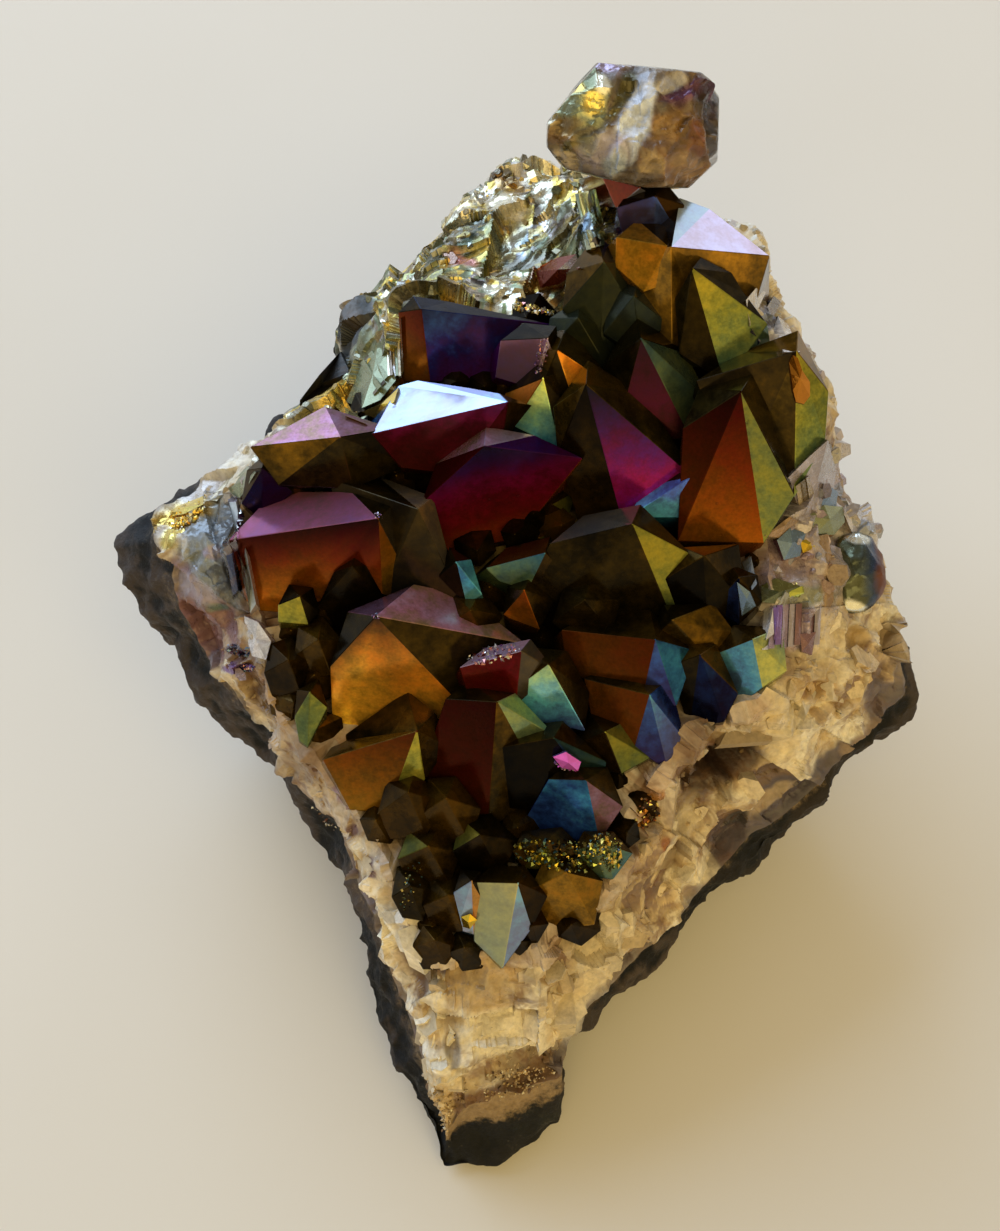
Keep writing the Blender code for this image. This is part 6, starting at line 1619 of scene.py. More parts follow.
# name, tint of the top, tint of the sides, film, roughness, corners (layout X, Y, lift mm), crown lift, depth
SHARDS = [
    ("left_white", "pearl", "lilac", 0.10, 0.26, [(244, 616, 0.5), (258, 622, 0.9), (271, 641, 0.6), (266, 660, 0.5), (252, 656, 0.3), (246, 636, 0.4)], 0.9, 2.0),
    ("left_edge", "ice", "haze", 0.12, 0.16, [(229, 502, 0.8), (236, 502, 1.1), (247, 556, 1.2), (256, 604, 1.0), (250, 613, 0.6), (241, 560, 0.9)], 1.3, 1.6),
    ("left_slot", "navy", "navy", 0.30, 0.20, [(226, 556, 1.0), (232, 554, 1.2), (238, 590, 1.2), (233, 596, 1.0)], 1.2, 1.2),
    ("dark_tail", "black", "black", 0.05, 0.50, [(340, 352, 0.3), (350, 372, 0.5), (326, 396, 0.4), (304, 408, 0.2), (300, 400, 0.1), (320, 374, 0.3)], 0.7, 1.6),
    ("left_blade", "silver", "olive", 0.55, 0.22, [(209, 500, 0.4), (239, 462, 0.7), (244, 466, 0.7), (217, 501, 0.4)], 0.7, 0.9),
    ("left_blade_b", "sage", "bark", 0.60, 0.24, [(224, 491, 0.3), (247, 466, 0.8), (256, 472, 0.9), (240, 498, 0.5)], 0.9, 1.1),
    ("foil_a", "foil", "gold", 0.92, 0.14, [(160, 518, 0.3), (178, 506, 0.6), (203, 496, 0.5), (204, 504, 0.4), (184, 514, 0.6)], 0.9, 1.0),
    ("foil_c", "foil", "gold", 0.92, 0.14, [(172, 534, 0.4), (184, 528, 0.6), (186, 540, 0.5), (177, 545, 0.3)], 0.8, 1.0),
    ("wedge_right", "haze", "smoke", 0.20, 0.22, [(788, 478, 0.2), (808, 458, 0.7), (828, 440, 0.8), (836, 470, 0.7), (834, 490, 0.5), (820, 512, 0.3), (800, 512, 0.2)], 0.9, 2.2),
    ("steel_pane", "steel", "navy", 0.45, 0.20, [(817, 494, 0.6), (830, 486, 0.9), (838, 492, 0.8), (836, 508, 0.7), (820, 510, 0.5)], 1.0, 1.6),
    ("pearl_green", "sage", "ochre", 0.50, 0.24, [(808, 516, 0.4), (824, 505, 0.9), (843, 507, 0.9), (845, 522, 0.7), (834, 535, 0.5), (816, 534, 0.4)], 1.2, 2.0),
    ("clear_flake", "pearl", "pearl", 0.12, 0.18, [(846, 498, 0.3), (856, 514, 0.6), (870, 536, 0.5), (852, 532, 0.7), (844, 514, 0.6)], 0.9, 1.6),
    ("blue_block", "steel", "plum", 0.45, 0.22, [(777, 540, 0.5), (790, 528, 0.8), (806, 533, 0.8), (800, 556, 0.5), (784, 560, 0.4)], 1.0, 2.0),
    ("yellow_face", "yellow", "ochre", 0.85, 0.16, [(800, 541, 0.8), (816, 537, 0.9), (815, 548, 0.7), (803, 553, 0.6)], 1.0, 1.6),
    ("pink_streak", "fawn", "taupe", 0.15, 0.26, [(765, 536, 0.3), (785, 520, 0.8), (796, 512, 0.9), (800, 520, 0.8), (780, 538, 0.4)], 0.8, 1.6),
    ("plate_gold", "lime", "moss", 0.90, 0.13, [(788, 592, 0.7), (802, 586, 0.9), (816, 591, 0.8), (816, 598, 0.6), (790, 597, 0.6)], 0.9, 1.6),
    ("plate_moss", "moss", "olive", 0.60, 0.22, [(761, 586, 0.4), (776, 578, 0.7), (800, 586, 0.8), (798, 596, 0.5), (776, 604, 0.4), (762, 602, 0.3)], 0.9, 1.8),
    ("prism_a", "pearl", "lilac", 0.25, 0.20, [(765, 612, 0.6), (773, 608, 0.9), (774, 634, 0.6), (766, 640, 0.4)], 0.9, 2.0),
    ("prism_b", "violet", "plum", 0.45, 0.20, [(773, 608, 0.8), (779, 607, 0.9), (779, 640, 0.6), (774, 640, 0.5)], 0.9, 2.0),
    ("prism_f", "mauve", "plum", 0.35, 0.24, [(800, 634, 0.7), (816, 632, 0.8), (812, 655, 0.4), (802, 652, 0.4)], 0.9, 2.0),
    ("column_tan", "fawn", "smoke", 0.05, 0.32, [(818, 536, 0.6), (828, 534, 0.8), (832, 560, 0.8), (834, 600, 0.7), (826, 616, 0.4), (819, 590, 0.6)], 1.1, 2.0),
    ("cyan_point", "steel", "navy", 0.70, 0.20, [(737, 582, 0.6), (750, 592, 0.8), (756, 606, 0.6), (742, 616, 0.3)], 0.8, 1.6),
    ("white_sliver", "ice", "taupe", 0.15, 0.20, [(742, 562, 0.6), (751, 556, 0.9), (757, 584, 0.7), (752, 590, 0.5)], 0.9, 1.6),
    ("rim_slot", "smoke", "navy", 0.25, 0.22, [(752, 330, 0.5), (774, 296, 0.9), (781, 302, 0.9), (760, 342, 0.6)], 0.6, 1.6),
    ("rim_pane", "pearl", "taupe", 0.12, 0.20, [(746, 300, 0.5), (756, 288, 0.9), (766, 292, 0.9), (750, 326, 0.5)], 0.8, 1.8),
    ("rim_glass", "pearl", "smoke", 0.10, 0.20, [(778, 316, 0.4), (788, 324, 0.6), (800, 352, 0.5), (784, 352, 0.7), (772, 334, 0.6)], 0.9, 1.8),
    ("amber_chip", "amber", "rust", 0.85, 0.14, [(789, 362, 0.3), (793, 355, 0.6), (798, 358, 0.8), (802, 370, 0.9), (810, 382, 0.7), (810, 396, 0.5), (804, 404, 0.3), (796, 402, 0.4), (793, 390, 0.6), (791, 374, 0.6)], 1.2, 1.2),
    ("ox_pane", "oxblood", "ochre", 0.65, 0.20, [(536, 272, 0.4), (556, 258, 0.9), (576, 254, 0.8), (580, 268, 0.7), (560, 284, 0.5), (540, 288, 0.4)], 1.1, 1.6),
    ("sage_wedge", "sage", "bark", 0.50, 0.24, [(346, 402, 0.2), (362, 364, 0.8), (378, 344, 0.9), (388, 352, 0.9), (396, 380, 0.7), (380, 400, 0.4), (362, 408, 0.2)], 1.4, 2.2),
    ("foil_d", "foil", "ochre", 0.92, 0.14, [(322, 394, 0.3), (340, 392, 0.6), (352, 410, 0.5), (366, 424, 0.4), (346, 416, 0.5)], 0.8, 1.0),
    ("foil_e", "foil", "gold", 0.92, 0.14, [(362, 412, 0.3), (380, 404, 0.7), (398, 388, 0.7), (394, 402, 0.5), (374, 418, 0.4)], 0.9, 1.0),
    ("pink_flake", "fuchsia", "violet", 0.35, 0.12, [(553, 757, 0.7), (566, 752, 1.1), (581, 762, 1.0), (578, 771, 0.6), (562, 768, 0.6)], 1.5, 1.2),
    ("gold_speck", "yellow", "ochre", 0.90, 0.16, [(461, 917, 0.4), (470, 914, 0.7), (477, 920, 0.6), (470, 929, 0.4), (463, 927, 0.3)], 0.9, 1.0),
]
# Growth-lined crystals: bundles of thin plates side by side.
# first corner, last corner (layout), run of the lines (layout), plates, tints, film, roughness
BUNDLES = [
    ((382, 320), (401, 318), (3, 58), 7, ["sage", "silver", "smoke", "pearl", "sage", "silver", "smoke"], 0.45, 0.18),
    ((575, 194), (596, 189), (8, 34), 6, ["sage", "foil", "moss", "foil", "olive", "sage"], 0.80, 0.14),
    ((576, 230), (600, 224), (6, 22), 5, ["moss", "sage", "foil", "sage", "moss"], 0.80, 0.16),
    ((796, 486), (822, 466), (4, 26), 5, ["taupe", "smoke", "taupe", "pearl", "taupe"], 0.15, 0.22),
    ((352, 372), (372, 350), (18, 28), 5, ["sage", "smoke", "sage", "bark", "sage"], 0.45, 0.24),
    ((764, 606), (822, 602), (-2, 44), 9, ["pearl", "lilac", "violet", "lilac", "haze", "mauve", "lilac", "mauve", "haze"], 0.32, 0.20),
]


def build_shards():
    rng = random.Random(71)
    quartz, film = Heap(), Heap()
    for name, top, side, coat, rough_at, corners, crown, depth in SHARDS:
        verts, faces = slab(corners, crown, depth)
        n = len(corners)
        tints, feels = [], []
        for i in range(len(faces)):
            base = TINTS[top] if i < n else TINTS[side]
            tints.append(np.clip(base * (0.78 + 0.44 * rng.random()), 0, 1))
            feels.append((coat, rough_at, 0.05 if coat > 0.3 else 0.35))
        (film if coat > 0.3 else quartz).add(verts, faces, tints, feels)
    for a, b, run, plates, names, coat, rough_at in BUNDLES:
        low = 0.72 if plates > 16 else 0.42 if plates > 7 else 0.0
        for k in range(plates):
            f0, f1 = k / plates, (k + 0.92) / plates
            x0, y0 = a[0] + (b[0] - a[0]) * f0, a[1] + (b[1] - a[1]) * f0
            x1, y1 = a[0] + (b[0] - a[0]) * f1, a[1] + (b[1] - a[1]) * f1
            lift = 0.9 - low + (0.35 - 0.4 * low) * ((k * 7) % 3 - 1)
            cut = 0.9 + 0.1 * rng.random()
            corners = [(x0, y0, lift), (x1, y1, lift), (x1 + run[0] * cut, y1 + run[1] * cut, lift), (x0 + run[0] * cut, y0 + run[1] * cut, lift)]
            verts, faces = slab(corners, lift + 0.12, 2.0, inset=0.0)
            tints = [np.clip(TINTS[names[k % len(names)]] * (0.8 + 0.4 * rng.random()), 0, 1) for _ in faces]
            (film if coat > 0.3 else quartz).add(verts, faces, tints, [(coat, rough_at, 0.0)] * len(faces))
    quartz.done("quartz_shards", QUARTZ, "quartz_band")
    film.done("coated_shards", GRAINS, "crinkled_ridge")


build_shards()

# the clear prism on the left rim
PRISM = [(206, 492, 0.5), (230, 494, 0.9), (243, 510, 1.0), (236, 540, 1.0), (246, 575, 0.8), (252, 606, 0.5), (244, 613, 0.3), (222, 596, 0.5), (192, 573, 0.5), (176, 553, 0.4), (180, 526, 0.5)]


def build_prism():
    verts, faces = slab(PRISM, 1.5, 1.6, inset=0.02)
    bm = bmesh.new()
    made = [bm.verts.new(tuple(v)) for v in verts]
    for f in faces:
        bm.faces.new([made[i] for i in f])
    bmesh.ops.triangulate(bm, faces=bm.faces)
    for _ in range(4):
        bmesh.ops.subdivide_edges(bm, edges=[e for e in bm.edges if e.calc_length() > 0.0005], cuts=1)
        bmesh.ops.triangulate(bm, faces=bm.faces)
    bm.normal_update()
    p = array([v.co for v in bm.verts])
    n = array([v.normal for v in bm.verts])
    wide, number = scoops(p, 0.0022, 711, lean=0.8, bowl=0.4, step=0.3)
    small, number2 = scoops(p, 0.0009, 721, lean=0.6, bowl=0.5, step=0.3)
    p = p + n * (wide * 0.35 + small * 0.25)[:, None]
    faces = [[v.index for v in f.verts] for f in bm.faces]
    bm.free()
    make_piece("clear_prism", p, faces, CLEAR, sharp_deg=30.0)


build_prism()


# ---------------------------------------------------------------- rounded green crystal on the right rim
def lump(name, centre, axes, material, seed, paint, cell=0.0016, strength=0.35, rings_n=40, sharp=30.0):
    """A broken, rounded crystal: an ellipsoid cut by flat chips."""
    count = rings_n * 2
    directions = [(0.0, 0.0, 1.0)]
    for r in range(1, rings_n):
        a = math.pi * r / rings_n
        directions += [(math.sin(a) * math.cos(2 * math.pi * c / count), math.sin(a) * math.sin(2 * math.pi * c / count), math.cos(a)) for c in range(count)]
    directions.append((0.0, 0.0, -1.0))
    d = np.array(directions)
    # flat-sided rather than round: each direction is held by the nearest of a few planes
    rng = random.Random(seed)
    planes = []
    for _ in range(16):
        v = np.array([rng.gauss(0, 1) for _ in range(3)])
        planes.append((v / np.linalg.norm(v), 0.80 + 0.18 * rng.random()))
    reach = np.full(len(d), 1.06)
    for v, dist in planes:
        cosine = d @ v
        reach = np.where(cosine > 1e-3, np.minimum(reach, dist / np.maximum(cosine, 1e-3)), reach)
    d = d * reach[:, None]
    p = np.array(tuple(centre)) + d[:, :1] * axes[0] + d[:, 1:2] * axes[1] + d[:, 2:] * axes[2]
    out = p - np.array(tuple(centre))
    out /= np.linalg.norm(out, axis=1, keepdims=True)
    wide, number = scoops(p, cell, seed + 1, lean=0.8, bowl=0.45, step=0.3)
    small, number2 = scoops(p, cell * 0.4, seed + 11, lean=0.7, bowl=0.5, step=0.3)
    p = p + out * (wide * strength + small * strength * 0.7)[:, None]
    faces = [(0, 1 + c, 1 + (c + 1) % count) for c in range(count)]
    for r in range(rings_n - 2):
        for c in range(count):
            a, b = 1 + r * count + c, 1 + r * count + (c + 1) % count
            faces.append((a, a + count, b + count, b))
    last = len(p) - 1
    base = 1 + (rings_n - 2) * count
    faces += [(last, base + (c + 1) % count, base + c) for c in range(count)]
    layers = paint(p, number, number2) if paint else None
    return make_piece(name, p, faces, material, sharp_deg=sharp, layers=layers)


def blob_paint(p, number, number2):
    x, y, h = layout_of(p)
    wobble = rumble(p, 0.0012, 731, 3)
    right = smoothstep(858.0, 874.0, x + 6 * wobble)[:, None]
    far = smoothstep(872.0, 882.0, x + 4 * wobble)[:, None]
    tint = TINTS["sage"] * (0.26 + 0.42 * number2)[:, None]
    tint = tint * (1 - right) + (TINTS["steel"] * 0.25 + TINTS["navy"] * 0.5) * right
    tint = tint * (1 - far) + TINTS["rust"] * 0.55 * far
    # painted highlights: near-white glints along the blob's top and bottom edges
    painted_glint = (np.maximum(spot_mask(x, y, 858, 538, 16, 6, 5, wobble), spot_mask(x, y, 850, 606, 17, 6, 12, wobble)))[:, None]
    tint = tint * (1 - painted_glint) + np.array([0.8, 0.84, 0.8]) * painted_glint
    feel = np.stack([0.75 - 0.5 * far[:, 0], 0.16 + 0.12 * number + 0.2 * far[:, 0], 0.6 * far[:, 0]], 1)
    return {"tint": np.clip(tint, 0, 1), "feel": feel}


lump("green_knob", on_surface(855, 573, 0.1), (ACROSS_A * 31 * GRID, UPWARD_A * 40 * GRID, NORMAL_A * 0.0021), GRAINS, 741, blob_paint, cell=0.0019, strength=0.30)


# ---------------------------------------------------------------- sparkling grains
# layout X, Y, half lengths, turn, grains, size in mm, lift in mm, tints, film
SPRINKLES = [
    ((494, 654), (28, 8), -12, 110, (0.12, 0.50), -0.05, ["pearl", "rose", "violet", "pearl", "oxblood"], 0.75),
    ((541, 356), (6, 20), 8, 60, (0.12, 0.38), -0.05, ["pearl", "violet", "rose", "lilac"], 0.80),
    ((567, 764), (13, 7), 10, 90, (0.14, 0.50), 0.10, ["fuchsia", "violet", "fuchsia", "pearl", "lilac"], 0.50),
    ((568, 856), (56, 16), 6, 300, (0.16, 0.60), -0.02, ["olive", "moss", "yellow", "lime", "black", "teal", "gold", "olive"], 0.85),
    ((606, 848), (18, 14), 20, 130, (0.16, 0.60), 0.02, ["teal", "lime", "moss", "steel", "foil", "gold"], 0.85),
    ((378, 517), (5, 4), 0, 16, (0.10, 0.26), -0.05, ["pearl", "lilac", "violet"], 0.70),
    ((376, 616), (5, 3), 0, 14, (0.10, 0.26), -0.05, ["violet", "pearl", "steel"], 0.70),
    ((240, 667), (15, 4), 4, 90, (0.14, 0.50), 0.1, ["violet", "lilac", "steel", "rose", "navy"], 0.75),
    ((238, 650), (12, 6), 15, 70, (0.14, 0.46), 0.05, ["navy", "steel", "plum", "mauve"], 0.70),
    ((184, 516), (24, 9), -32, 160, (0.20, 0.70), 0.0, ["foil", "gold", "gold", "silver", "ochre"], 0.92),
    ((176, 538), (8, 9), 0, 40, (0.16, 0.46), 0.0, ["foil", "gold", "ochre"], 0.92),
    ((290, 762), (8, 22), -32, 60, (0.12, 0.44), -0.1, ["earth", "rust", "milk", "umber"], 0.05),
    ((324, 812), (7, 22), -35, 40, (0.12, 0.40), -0.1, ["earth", "rust", "milk", "umber"], 0.05),
    ((452, 1046), (6, 14), 0, 50, (0.12, 0.42), -0.05, ["pearl", "milk", "umber", "silver"], 0.35),
    ((504, 1084), (52, 14), -14, 420, (0.10, 0.40), -0.12, ["earth", "straw", "umber", "tan", "milk", "honey"], 0.02),
    ((446, 1104), (6, 30), 2, 110, (0.10, 0.40), -0.12, ["earth", "straw", "milk", "tan"], 0.02),
    ((652, 815), (17, 20), 0, 110, (0.14, 0.56), -0.1, ["amber", "rust", "umber", "foil", "earth"], 0.40),
    ((800, 590), (16, 8), 0, 50, (0.12, 0.40), 0.3, ["foil", "lime", "moss", "pearl"], 0.80),
    ((508, 304), (50, 4), 12, 150, (0.16, 0.60), 0.0, ["silver", "pearl", "rose", "gold", "foil"], 0.80),
    ((410, 886), (10, 26), 20, 50, (0.12, 0.40), -0.05, ["olive", "black", "gold", "teal"], 0.80),
]


def chip(rng, centre, size, normal):
    """One grain: an uneven octahedron."""
    axes = []
    a = np.array([rng.gauss(0, 1) for _ in range(3)])
    a /= np.linalg.norm(a)
    b = np.cross(a, np.array([rng.gauss(0, 1) for _ in range(3)]))
    b /= np.linalg.norm(b)
    c = np.cross(a, b)
    s = [size * (0.6 + 0.6 * rng.random()), size * (0.5 + 0.5 * rng.random()), size * (0.35 + 0.4 * rng.random())]
    verts = np.array([centre + a * s[0], centre - a * s[0] * (0.6 + 0.4 * rng.random()), centre + b * s[1], centre - b * s[1] * (0.6 + 0.4 * rng.random()), centre + c * s[2], centre - c * s[2]])
    faces = [(0, 2, 4), (2, 1, 4), (1, 3, 4), (3, 0, 4), (2, 0, 5), (1, 2, 5), (3, 1, 5), (0, 3, 5)]
    return verts, outward(verts, faces)


def build_grains():
    rng = random.Random(97)
    film, stone = Heap(), Heap()
    for (cx, cy), (rx, ry), turn, count, (small, large), lift, names, coat in SPRINKLES:
        c, s = math.cos(math.radians(turn)), math.sin(math.radians(turn))
        for _ in range(count):
            r, a = math.sqrt(rng.random()), 2 * math.pi * rng.random()
            u, v = r * math.cos(a) * rx, r * math.sin(a) * ry
            p = np.array(tuple(on_surface(cx + u * c - v * s, cy + u * s + v * c, lift + 0.15 * rng.random())))
            size = (small + (large - small) * rng.random() ** 1.6) * MM * 0.6
            verts, faces = chip(rng, p, size, NORMAL_A)
            tint = TINTS[rng.choice(names)]
            tints = [np.clip(tint * (0.7 + 0.6 * rng.random()), 0, 1) for _ in faces]
            feels = [(coat, 0.12 + 0.15 * rng.random() + 0.2 * (coat < 0.2), 0.0)] * len(faces)
            (film if coat > 0.3 else stone).add(verts, faces, tints, feels)
    film.done("coated_grains", GRAINS, "coated_points")
    stone.done("quartz_grains", QUARTZ, "quartz_band")


build_grains()


# ---------------------------------------------------------------- broken knob
# What is sealed in the knob and what coats it, by layout position: half lengths, turn, tint,
# strength, share of film, roughness, stain, and how deep under the clear skin in mm (below
# zero it stands out of the skin).
KNOB_SPOTS = [
    (676, 144, 40, 48, 6, "earth", 0.98, 0.0, 0.34, 0.6, -0.06),
    (662, 128, 20, 14, -10, "ochre", 0.75, 0.1, 0.30, 0.6, -0.08),
    (692, 140, 10, 22, 0, "rust", 0.55, 0.0, 0.34, 0.6, -0.04),
    (684, 162, 18, 12, 0, "fawn", 0.70, 0.0, 0.36, 0.8, 0.02),
    (650, 162, 12, 12, 20, "straw", 0.70, 0.0, 0.34, 0.6, -0.02),
    (694, 90, 24, 20, 25, "umber", 0.92, 0.25, 0.24, 0.3, -0.08),
    (680, 99, 30, 10, -14, "plum", 0.95, 0.30, 0.20, 0.0, -0.08),
    (708, 108, 8, 18, 0, "plum", 0.70, 0.20, 0.26, 0.2, 0.20),
    (656, 84, 24, 12, 8, "smoke", 0.90, 0.15, 0.26, 0.3, -0.05),
    (664, 92, 13, 6, -20, "pearl", 0.80, 0.0, 0.28, 0.1, 0.06),
    (634, 122, 19, 38, 22, "snow", 0.98, 0.0, 0.30, 0.0, -0.06),
    (638, 118, 13, 28, 20, "snow", 0.98, 0.0, 0.24, 0.0, -0.12),
    (604, 152, 24, 20, -16, "haze", 0.90, 0.0, 0.28, 0.0, 0.00),
    (613, 160, 12, 12, 0, "ice", 0.90, 0.0, 0.26, 0.0, -0.06),
    (640, 178, 36, 9, 4, "smoke", 0.75, 0.0, 0.28, 0.4, 0.05),
    (562, 168, 20, 22, 0, "taupe", 0.85, 0.05, 0.28, 0.4, 0.04),
    (577, 108, 36, 38, 20, "sage", 0.98, 0.60, 0.22, 0.1, -0.12),
    (584, 84, 24, 13, -30, "moss", 0.85, 0.60, 0.20, 0.1, -0.12),
    (566, 132, 20, 16, 10, "ochre", 0.65, 0.50, 0.24, 0.2, -0.08),
    (560, 112, 9, 22, 10, "silver", 0.65, 0.70, 0.18, 0.0, -0.12),
    # the foil and gold spots: the coat's gold, painted brighter as glints
    (594, 108, 10, 14, 20, "foil", 0.90, 0.85, 0.14, 0.0, -0.14),
    (580, 96, 8, 6, -20, "gold", 0.90, 0.85, 0.14, 0.0, -0.14),
    (603, 92, 7, 9, 30, "silver", 0.80, 0.80, 0.14, 0.0, -0.12),
    (620, 102, 8, 32, 28, "olive", 0.98, 0.40, 0.24, 0.1, -0.10),
    (573, 146, 12, 6, -20, "olive", 0.90, 0.40, 0.24, 0.1, -0.06),
    (590, 134, 10, 5, 10, "bark", 0.80, 0.40, 0.24, 0.1, -0.06),
    (612, 72, 28, 11, -8, "lilac", 0.97, 0.60, 0.16, 0.0, -0.14),
    (606, 67, 16, 4, -8, "violet", 0.80, 0.72, 0.14, 0.0, -0.14),
    (624, 74, 9, 4, 0, "pearl", 0.70, 0.60, 0.14, 0.0, -0.12),
    (644, 67, 14, 9, 18, "ice", 0.92, 0.65, 0.16, 0.0, -0.14),
]


# the flat outer sides of the knob: layout direction and how far out each side stands
KNOB_FLATS = [(1.0, 0.03, 722.0), (0.59, -0.81, 355.0), (0.67, 0.74, 600.0), (0.0, 1.0, 188.0), (-1.0, 0.0, -547.0), (-0.76, -0.65, -495.0), (0.0, -1.0, -59.0), (0.0995, -0.995, -2.0), (-0.77, 0.64, -327.0), (-0.24, 0.97, 28.0)]


def knob_flats(p, less):
    x, y, h = layout_of(p)
    for nx, ny, reach in KNOB_FLATS:
        past = np.maximum(x * nx + y * ny - reach + less, 0.0) * 0.92
        x, y = x - past * nx, y - past * ny
        p = p - (ACROSS_A * nx - UPWARD_A * ny) * (past * GRID * (1.0 - h * MM / SIGHT_DISTANCE))[:, None]
    return p


def knob_points(finest):
    verts, faces = knob_mesh()
    bm = bmesh.new()
    made = [bm.verts.new(v) for v in verts]
    for f in faces:
        bm.faces.new([made[i] for i in f])
    bmesh.ops.recalc_face_normals(bm, faces=bm.faces)
    bmesh.ops.triangulate(bm, faces=bm.faces)
    for _ in range(6):
        longest = [e for e in bm.edges if e.calc_length() > finest]
        if not longest:
            break
        bmesh.ops.subdivide_edges(bm, edges=longest, cuts=1)
        bmesh.ops.triangulate(bm, faces=bm.faces)
    for _ in range(3):
        bmesh.ops.smooth_vert(bm, verts=bm.verts, factor=0.5, use_axis_x=True, use_axis_y=True, use_axis_z=True)
    bm.normal_update()
    p = array([v.co for v in bm.verts])
    n = array([v.normal for v in bm.verts])
    shapes = [[v.index for v in f.verts] for f in bm.faces]
    bm.free()
    # fuller at the lower corners, where the broken sides run straight down
    x, y, h = layout_of(p)
    none = x * 0.0
    p = p + np.outer(spot_mask(x, y, 716, 150, 24, 34, 0, none, soft=0.8) * 14 * GRID, ACROSS_A)
    p = p - np.outer(spot_mask(x, y, 556, 160, 20, 30, 0, none, soft=0.8) * 12 * GRID, ACROSS_A)
    return p, n, shapes


def build_knob():
    p, n, shapes = knob_points(0.00040)
    big, number = scoops(p, 0.0050, 501, lean=0.55, bowl=0.52, step=0.25)
    small, number2 = scoops(p, 0.0017, 521, lean=0.7, bowl=0.45, step=0.3)
    base = p + n * (big * 0.40)[:, None]
    skin = base + n * (small * 0.12)[:, None]
    make_piece("broken_knob", knob_flats(skin, 0.0), shapes, CLEAR, sharp_deg=30.0)
    # the core follows the skin from below, and comes through it where the film lies
    p, n, shapes = knob_points(0.00021)
    big, number = scoops(p, 0.0050, 501, lean=0.55, bowl=0.52, step=0.25)
    base = p + n * (big * 0.40)[:, None]
    x, y, h = layout_of(p)
    chips, pick = scoops(p, 0.0021, 531, lean=0.68, bowl=0.55, step=0.4)
    fine, pick2 = scoops(p, 0.0009, 541, lean=0.8, bowl=0.52, step=0.45)
    tiny, pick3 = scoops(p, 0.0004, 561, lean=0.75, bowl=0.5, step=0.4)
    deep = np.full(len(p), -0.06)
    tint = np.tile(TINTS["bark"], (len(p), 1)) * (0.9 + 0.7 * pick)[:, None]
    feel = np.tile(np.array([0.05, 0.34, 0.4]), (len(p), 1))
    wobble = rumble(p, 0.0013, 551, 4) * 1.5
    for cx, cy, rx, ry, turn, name, strength, film, rough_at, stain, depth in KNOB_SPOTS:
        m = spot_mask(x, y, cx, cy, rx, ry, turn, wobble) * strength
        tint = tint * (1.0 - m[:, None]) + TINTS[name] * (0.56 + 0.56 * pick2 + 0.34 * pick3)[:, None] * m[:, None]
        feel = feel * (1.0 - m[:, None]) + np.array([film, rough_at, stain]) * m[:, None]
        deep = deep * (1.0 - m) + depth * m
    deep = deep - 0.78
    deep = deep + 1.10 * smoothstep(700.0, 710.0, x + 3.0 * wobble)
    deep = deep + 0.60 * spot_mask(x, y, 563, 160, 16, 30, -20, wobble)
    core = base - n * (deep * MM)[:, None] + n * (chips * 0.50 + fine * 0.55 + tiny * 0.45)[:, None]
    # painted shade: the core's tint darker down in the chips and lighter on their raised parts
    level = np.clip(0.5 + (chips * 0.5 + fine * 0.9) / 0.0007, 0.0, 1.0)
    tint = tint * (0.55 + 0.62 * level)[:, None]
    core = knob_flats(core, 1.0)
    make_piece("knob_core", core, shapes, RIDGE, sharp_deg=16.0, layers={"tint": np.clip(tint, 0, 1), "feel": np.clip(feel, 0, 1)})


build_knob()

# ---------------------------------------------------------------- floor, camera and lights
floor_mesh = bpy.data.meshes.new("floor")
floor_mesh.from_pydata([(-1.2, -1.2, 0.0), (1.2, -1.2, 0.0), (1.2, 1.2, 0.0), (-1.2, 1.2, 0.0)], [], [(0, 1, 2, 3)])
floor = bpy.data.objects.new("floor", floor_mesh)
floor.location.z = -0.00002
bpy.context.scene.collection.objects.link(floor)
floor_mesh.materials.append(floor_material())

camera_data = bpy.data.cameras.new("camera")
camera = bpy.data.objects.new("camera", camera_data)
bpy.context.scene.collection.objects.link(camera)
pose = Matrix((ACROSS, UPWARD, NORMAL)).transposed().to_4x4()
pose.translation = ORIGIN + NORMAL * SIGHT_DISTANCE
camera.matrix_world = pose
camera_data.sensor_fit = "AUTO"
camera_data.sensor_width = 36.0
camera_data.lens = 18.0 / ((1231.0 / 2.0 * GRID) / SIGHT_DISTANCE)
camera_data.clip_start, camera_data.clip_end = 0.005, 10.0
bpy.context.scene.camera = camera


def softbox(name, location, target, size, power, colour):
    data = bpy.data.lights.new(name, "AREA")
    data.shape, data.size, data.size_y = "RECTANGLE", size[0], size[1]
    data.energy, data.color = power, colour
    obj = bpy.data.objects.new(name, data)
    obj.location = location
    obj.rotation_euler = (Vector(target) - Vector(location)).to_track_quat("-Z", "Y").to_euler()
    bpy.context.scene.collection.objects.link(obj)
    return obj


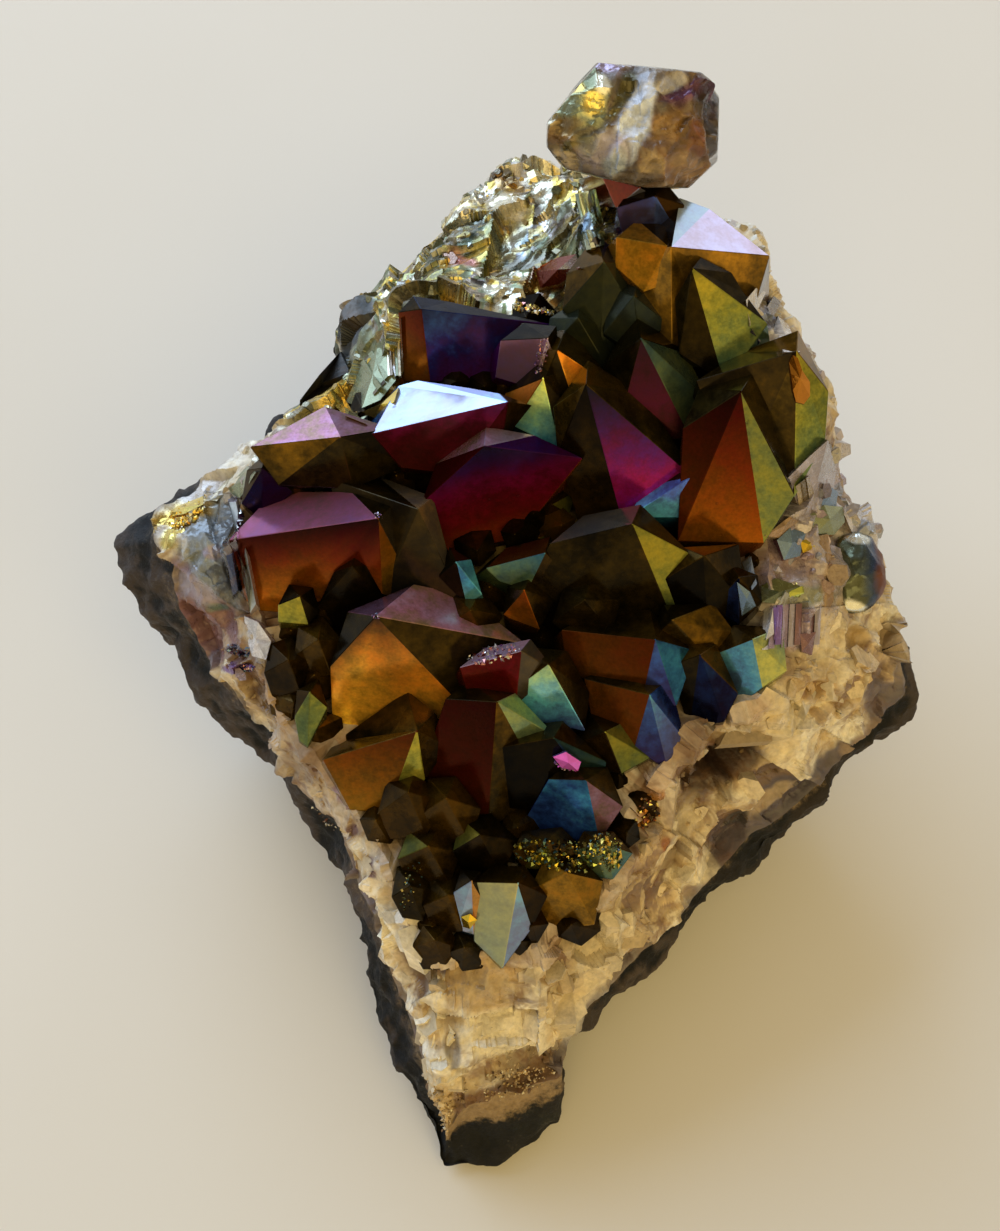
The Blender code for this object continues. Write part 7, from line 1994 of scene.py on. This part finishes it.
softbox("window", (-0.50, 0.68, 0.60), (0.0, 0.0, 0.03), (1.10, 0.75), 9.4, (0.60, 0.80, 1.08))
softbox("rim", (0.60, 0.88, 0.40), (0.0, 0.0, 0.03), (0.55, 0.40), 0.85, (0.80, 0.86, 1.0))
softbox("fill", (0.14, -0.52, 0.86), (0.0, 0.0, 0.02), (0.95, 0.95), 3.8, (1.0, 0.78, 0.36))

# the room round about: pale and cool behind on the left, warm in front on the right
world = bpy.data.worlds.new("studio")
bpy.context.scene.world = world
world.use_nodes = True
tree = world.node_tree
background = tree.nodes["Background"]
facing = tree.nodes.new("ShaderNodeVectorMath")
facing.operation = "DOT_PRODUCT"
tree.links.new(tree.nodes.new("ShaderNodeTexCoord").outputs["Generated"], facing.inputs[0])
facing.inputs[1].default_value = (-0.42, 0.90, -0.05)
shift = tree.nodes.new("ShaderNodeMapRange")
tree.links.new(facing.outputs["Value"], shift.inputs["Value"])
shift.inputs["From Min"].default_value, shift.inputs["From Max"].default_value = -1.0, 1.0
room = tree.nodes.new("ShaderNodeValToRGB")
tree.links.new(shift.outputs["Result"], room.inputs["Fac"])
room.color_ramp.elements[0].position, room.color_ramp.elements[0].color = 0.0, (1.12, 0.79, 0.34, 1.0)
room.color_ramp.elements[1].position, room.color_ramp.elements[1].color = 1.0, (0.64, 0.74, 0.90, 1.0)
for position, colour in ((0.14, (0.74, 0.52, 0.18)), (0.34, (0.33, 0.245, 0.11)), (0.55, (0.32, 0.29, 0.235)), (0.75, (0.46, 0.50, 0.57))):
    stop = room.color_ramp.elements.new(position)
    stop.color = (*colour, 1.0)
tree.links.new(room.outputs["Color"], background.inputs["Color"])
background.inputs["Strength"].default_value = 1.0
# seen directly, behind the floor's far edge, the room is a plain pale backdrop
backdrop = tree.nodes.new("ShaderNodeBackground")
backdrop.inputs["Color"].default_value = (0.70, 0.68, 0.64, 1.0)
seen = tree.nodes.new("ShaderNodeMixShader")
tree.links.new(tree.nodes.new("ShaderNodeLightPath").outputs["Is Camera Ray"], seen.inputs["Fac"])
tree.links.new(background.outputs["Background"], seen.inputs[1])
tree.links.new(backdrop.outputs["Background"], seen.inputs[2])
tree.links.new(seen.outputs["Shader"], tree.nodes["World Output"].inputs["Surface"])

bpy.context.scene.view_settings.view_transform = "Standard"
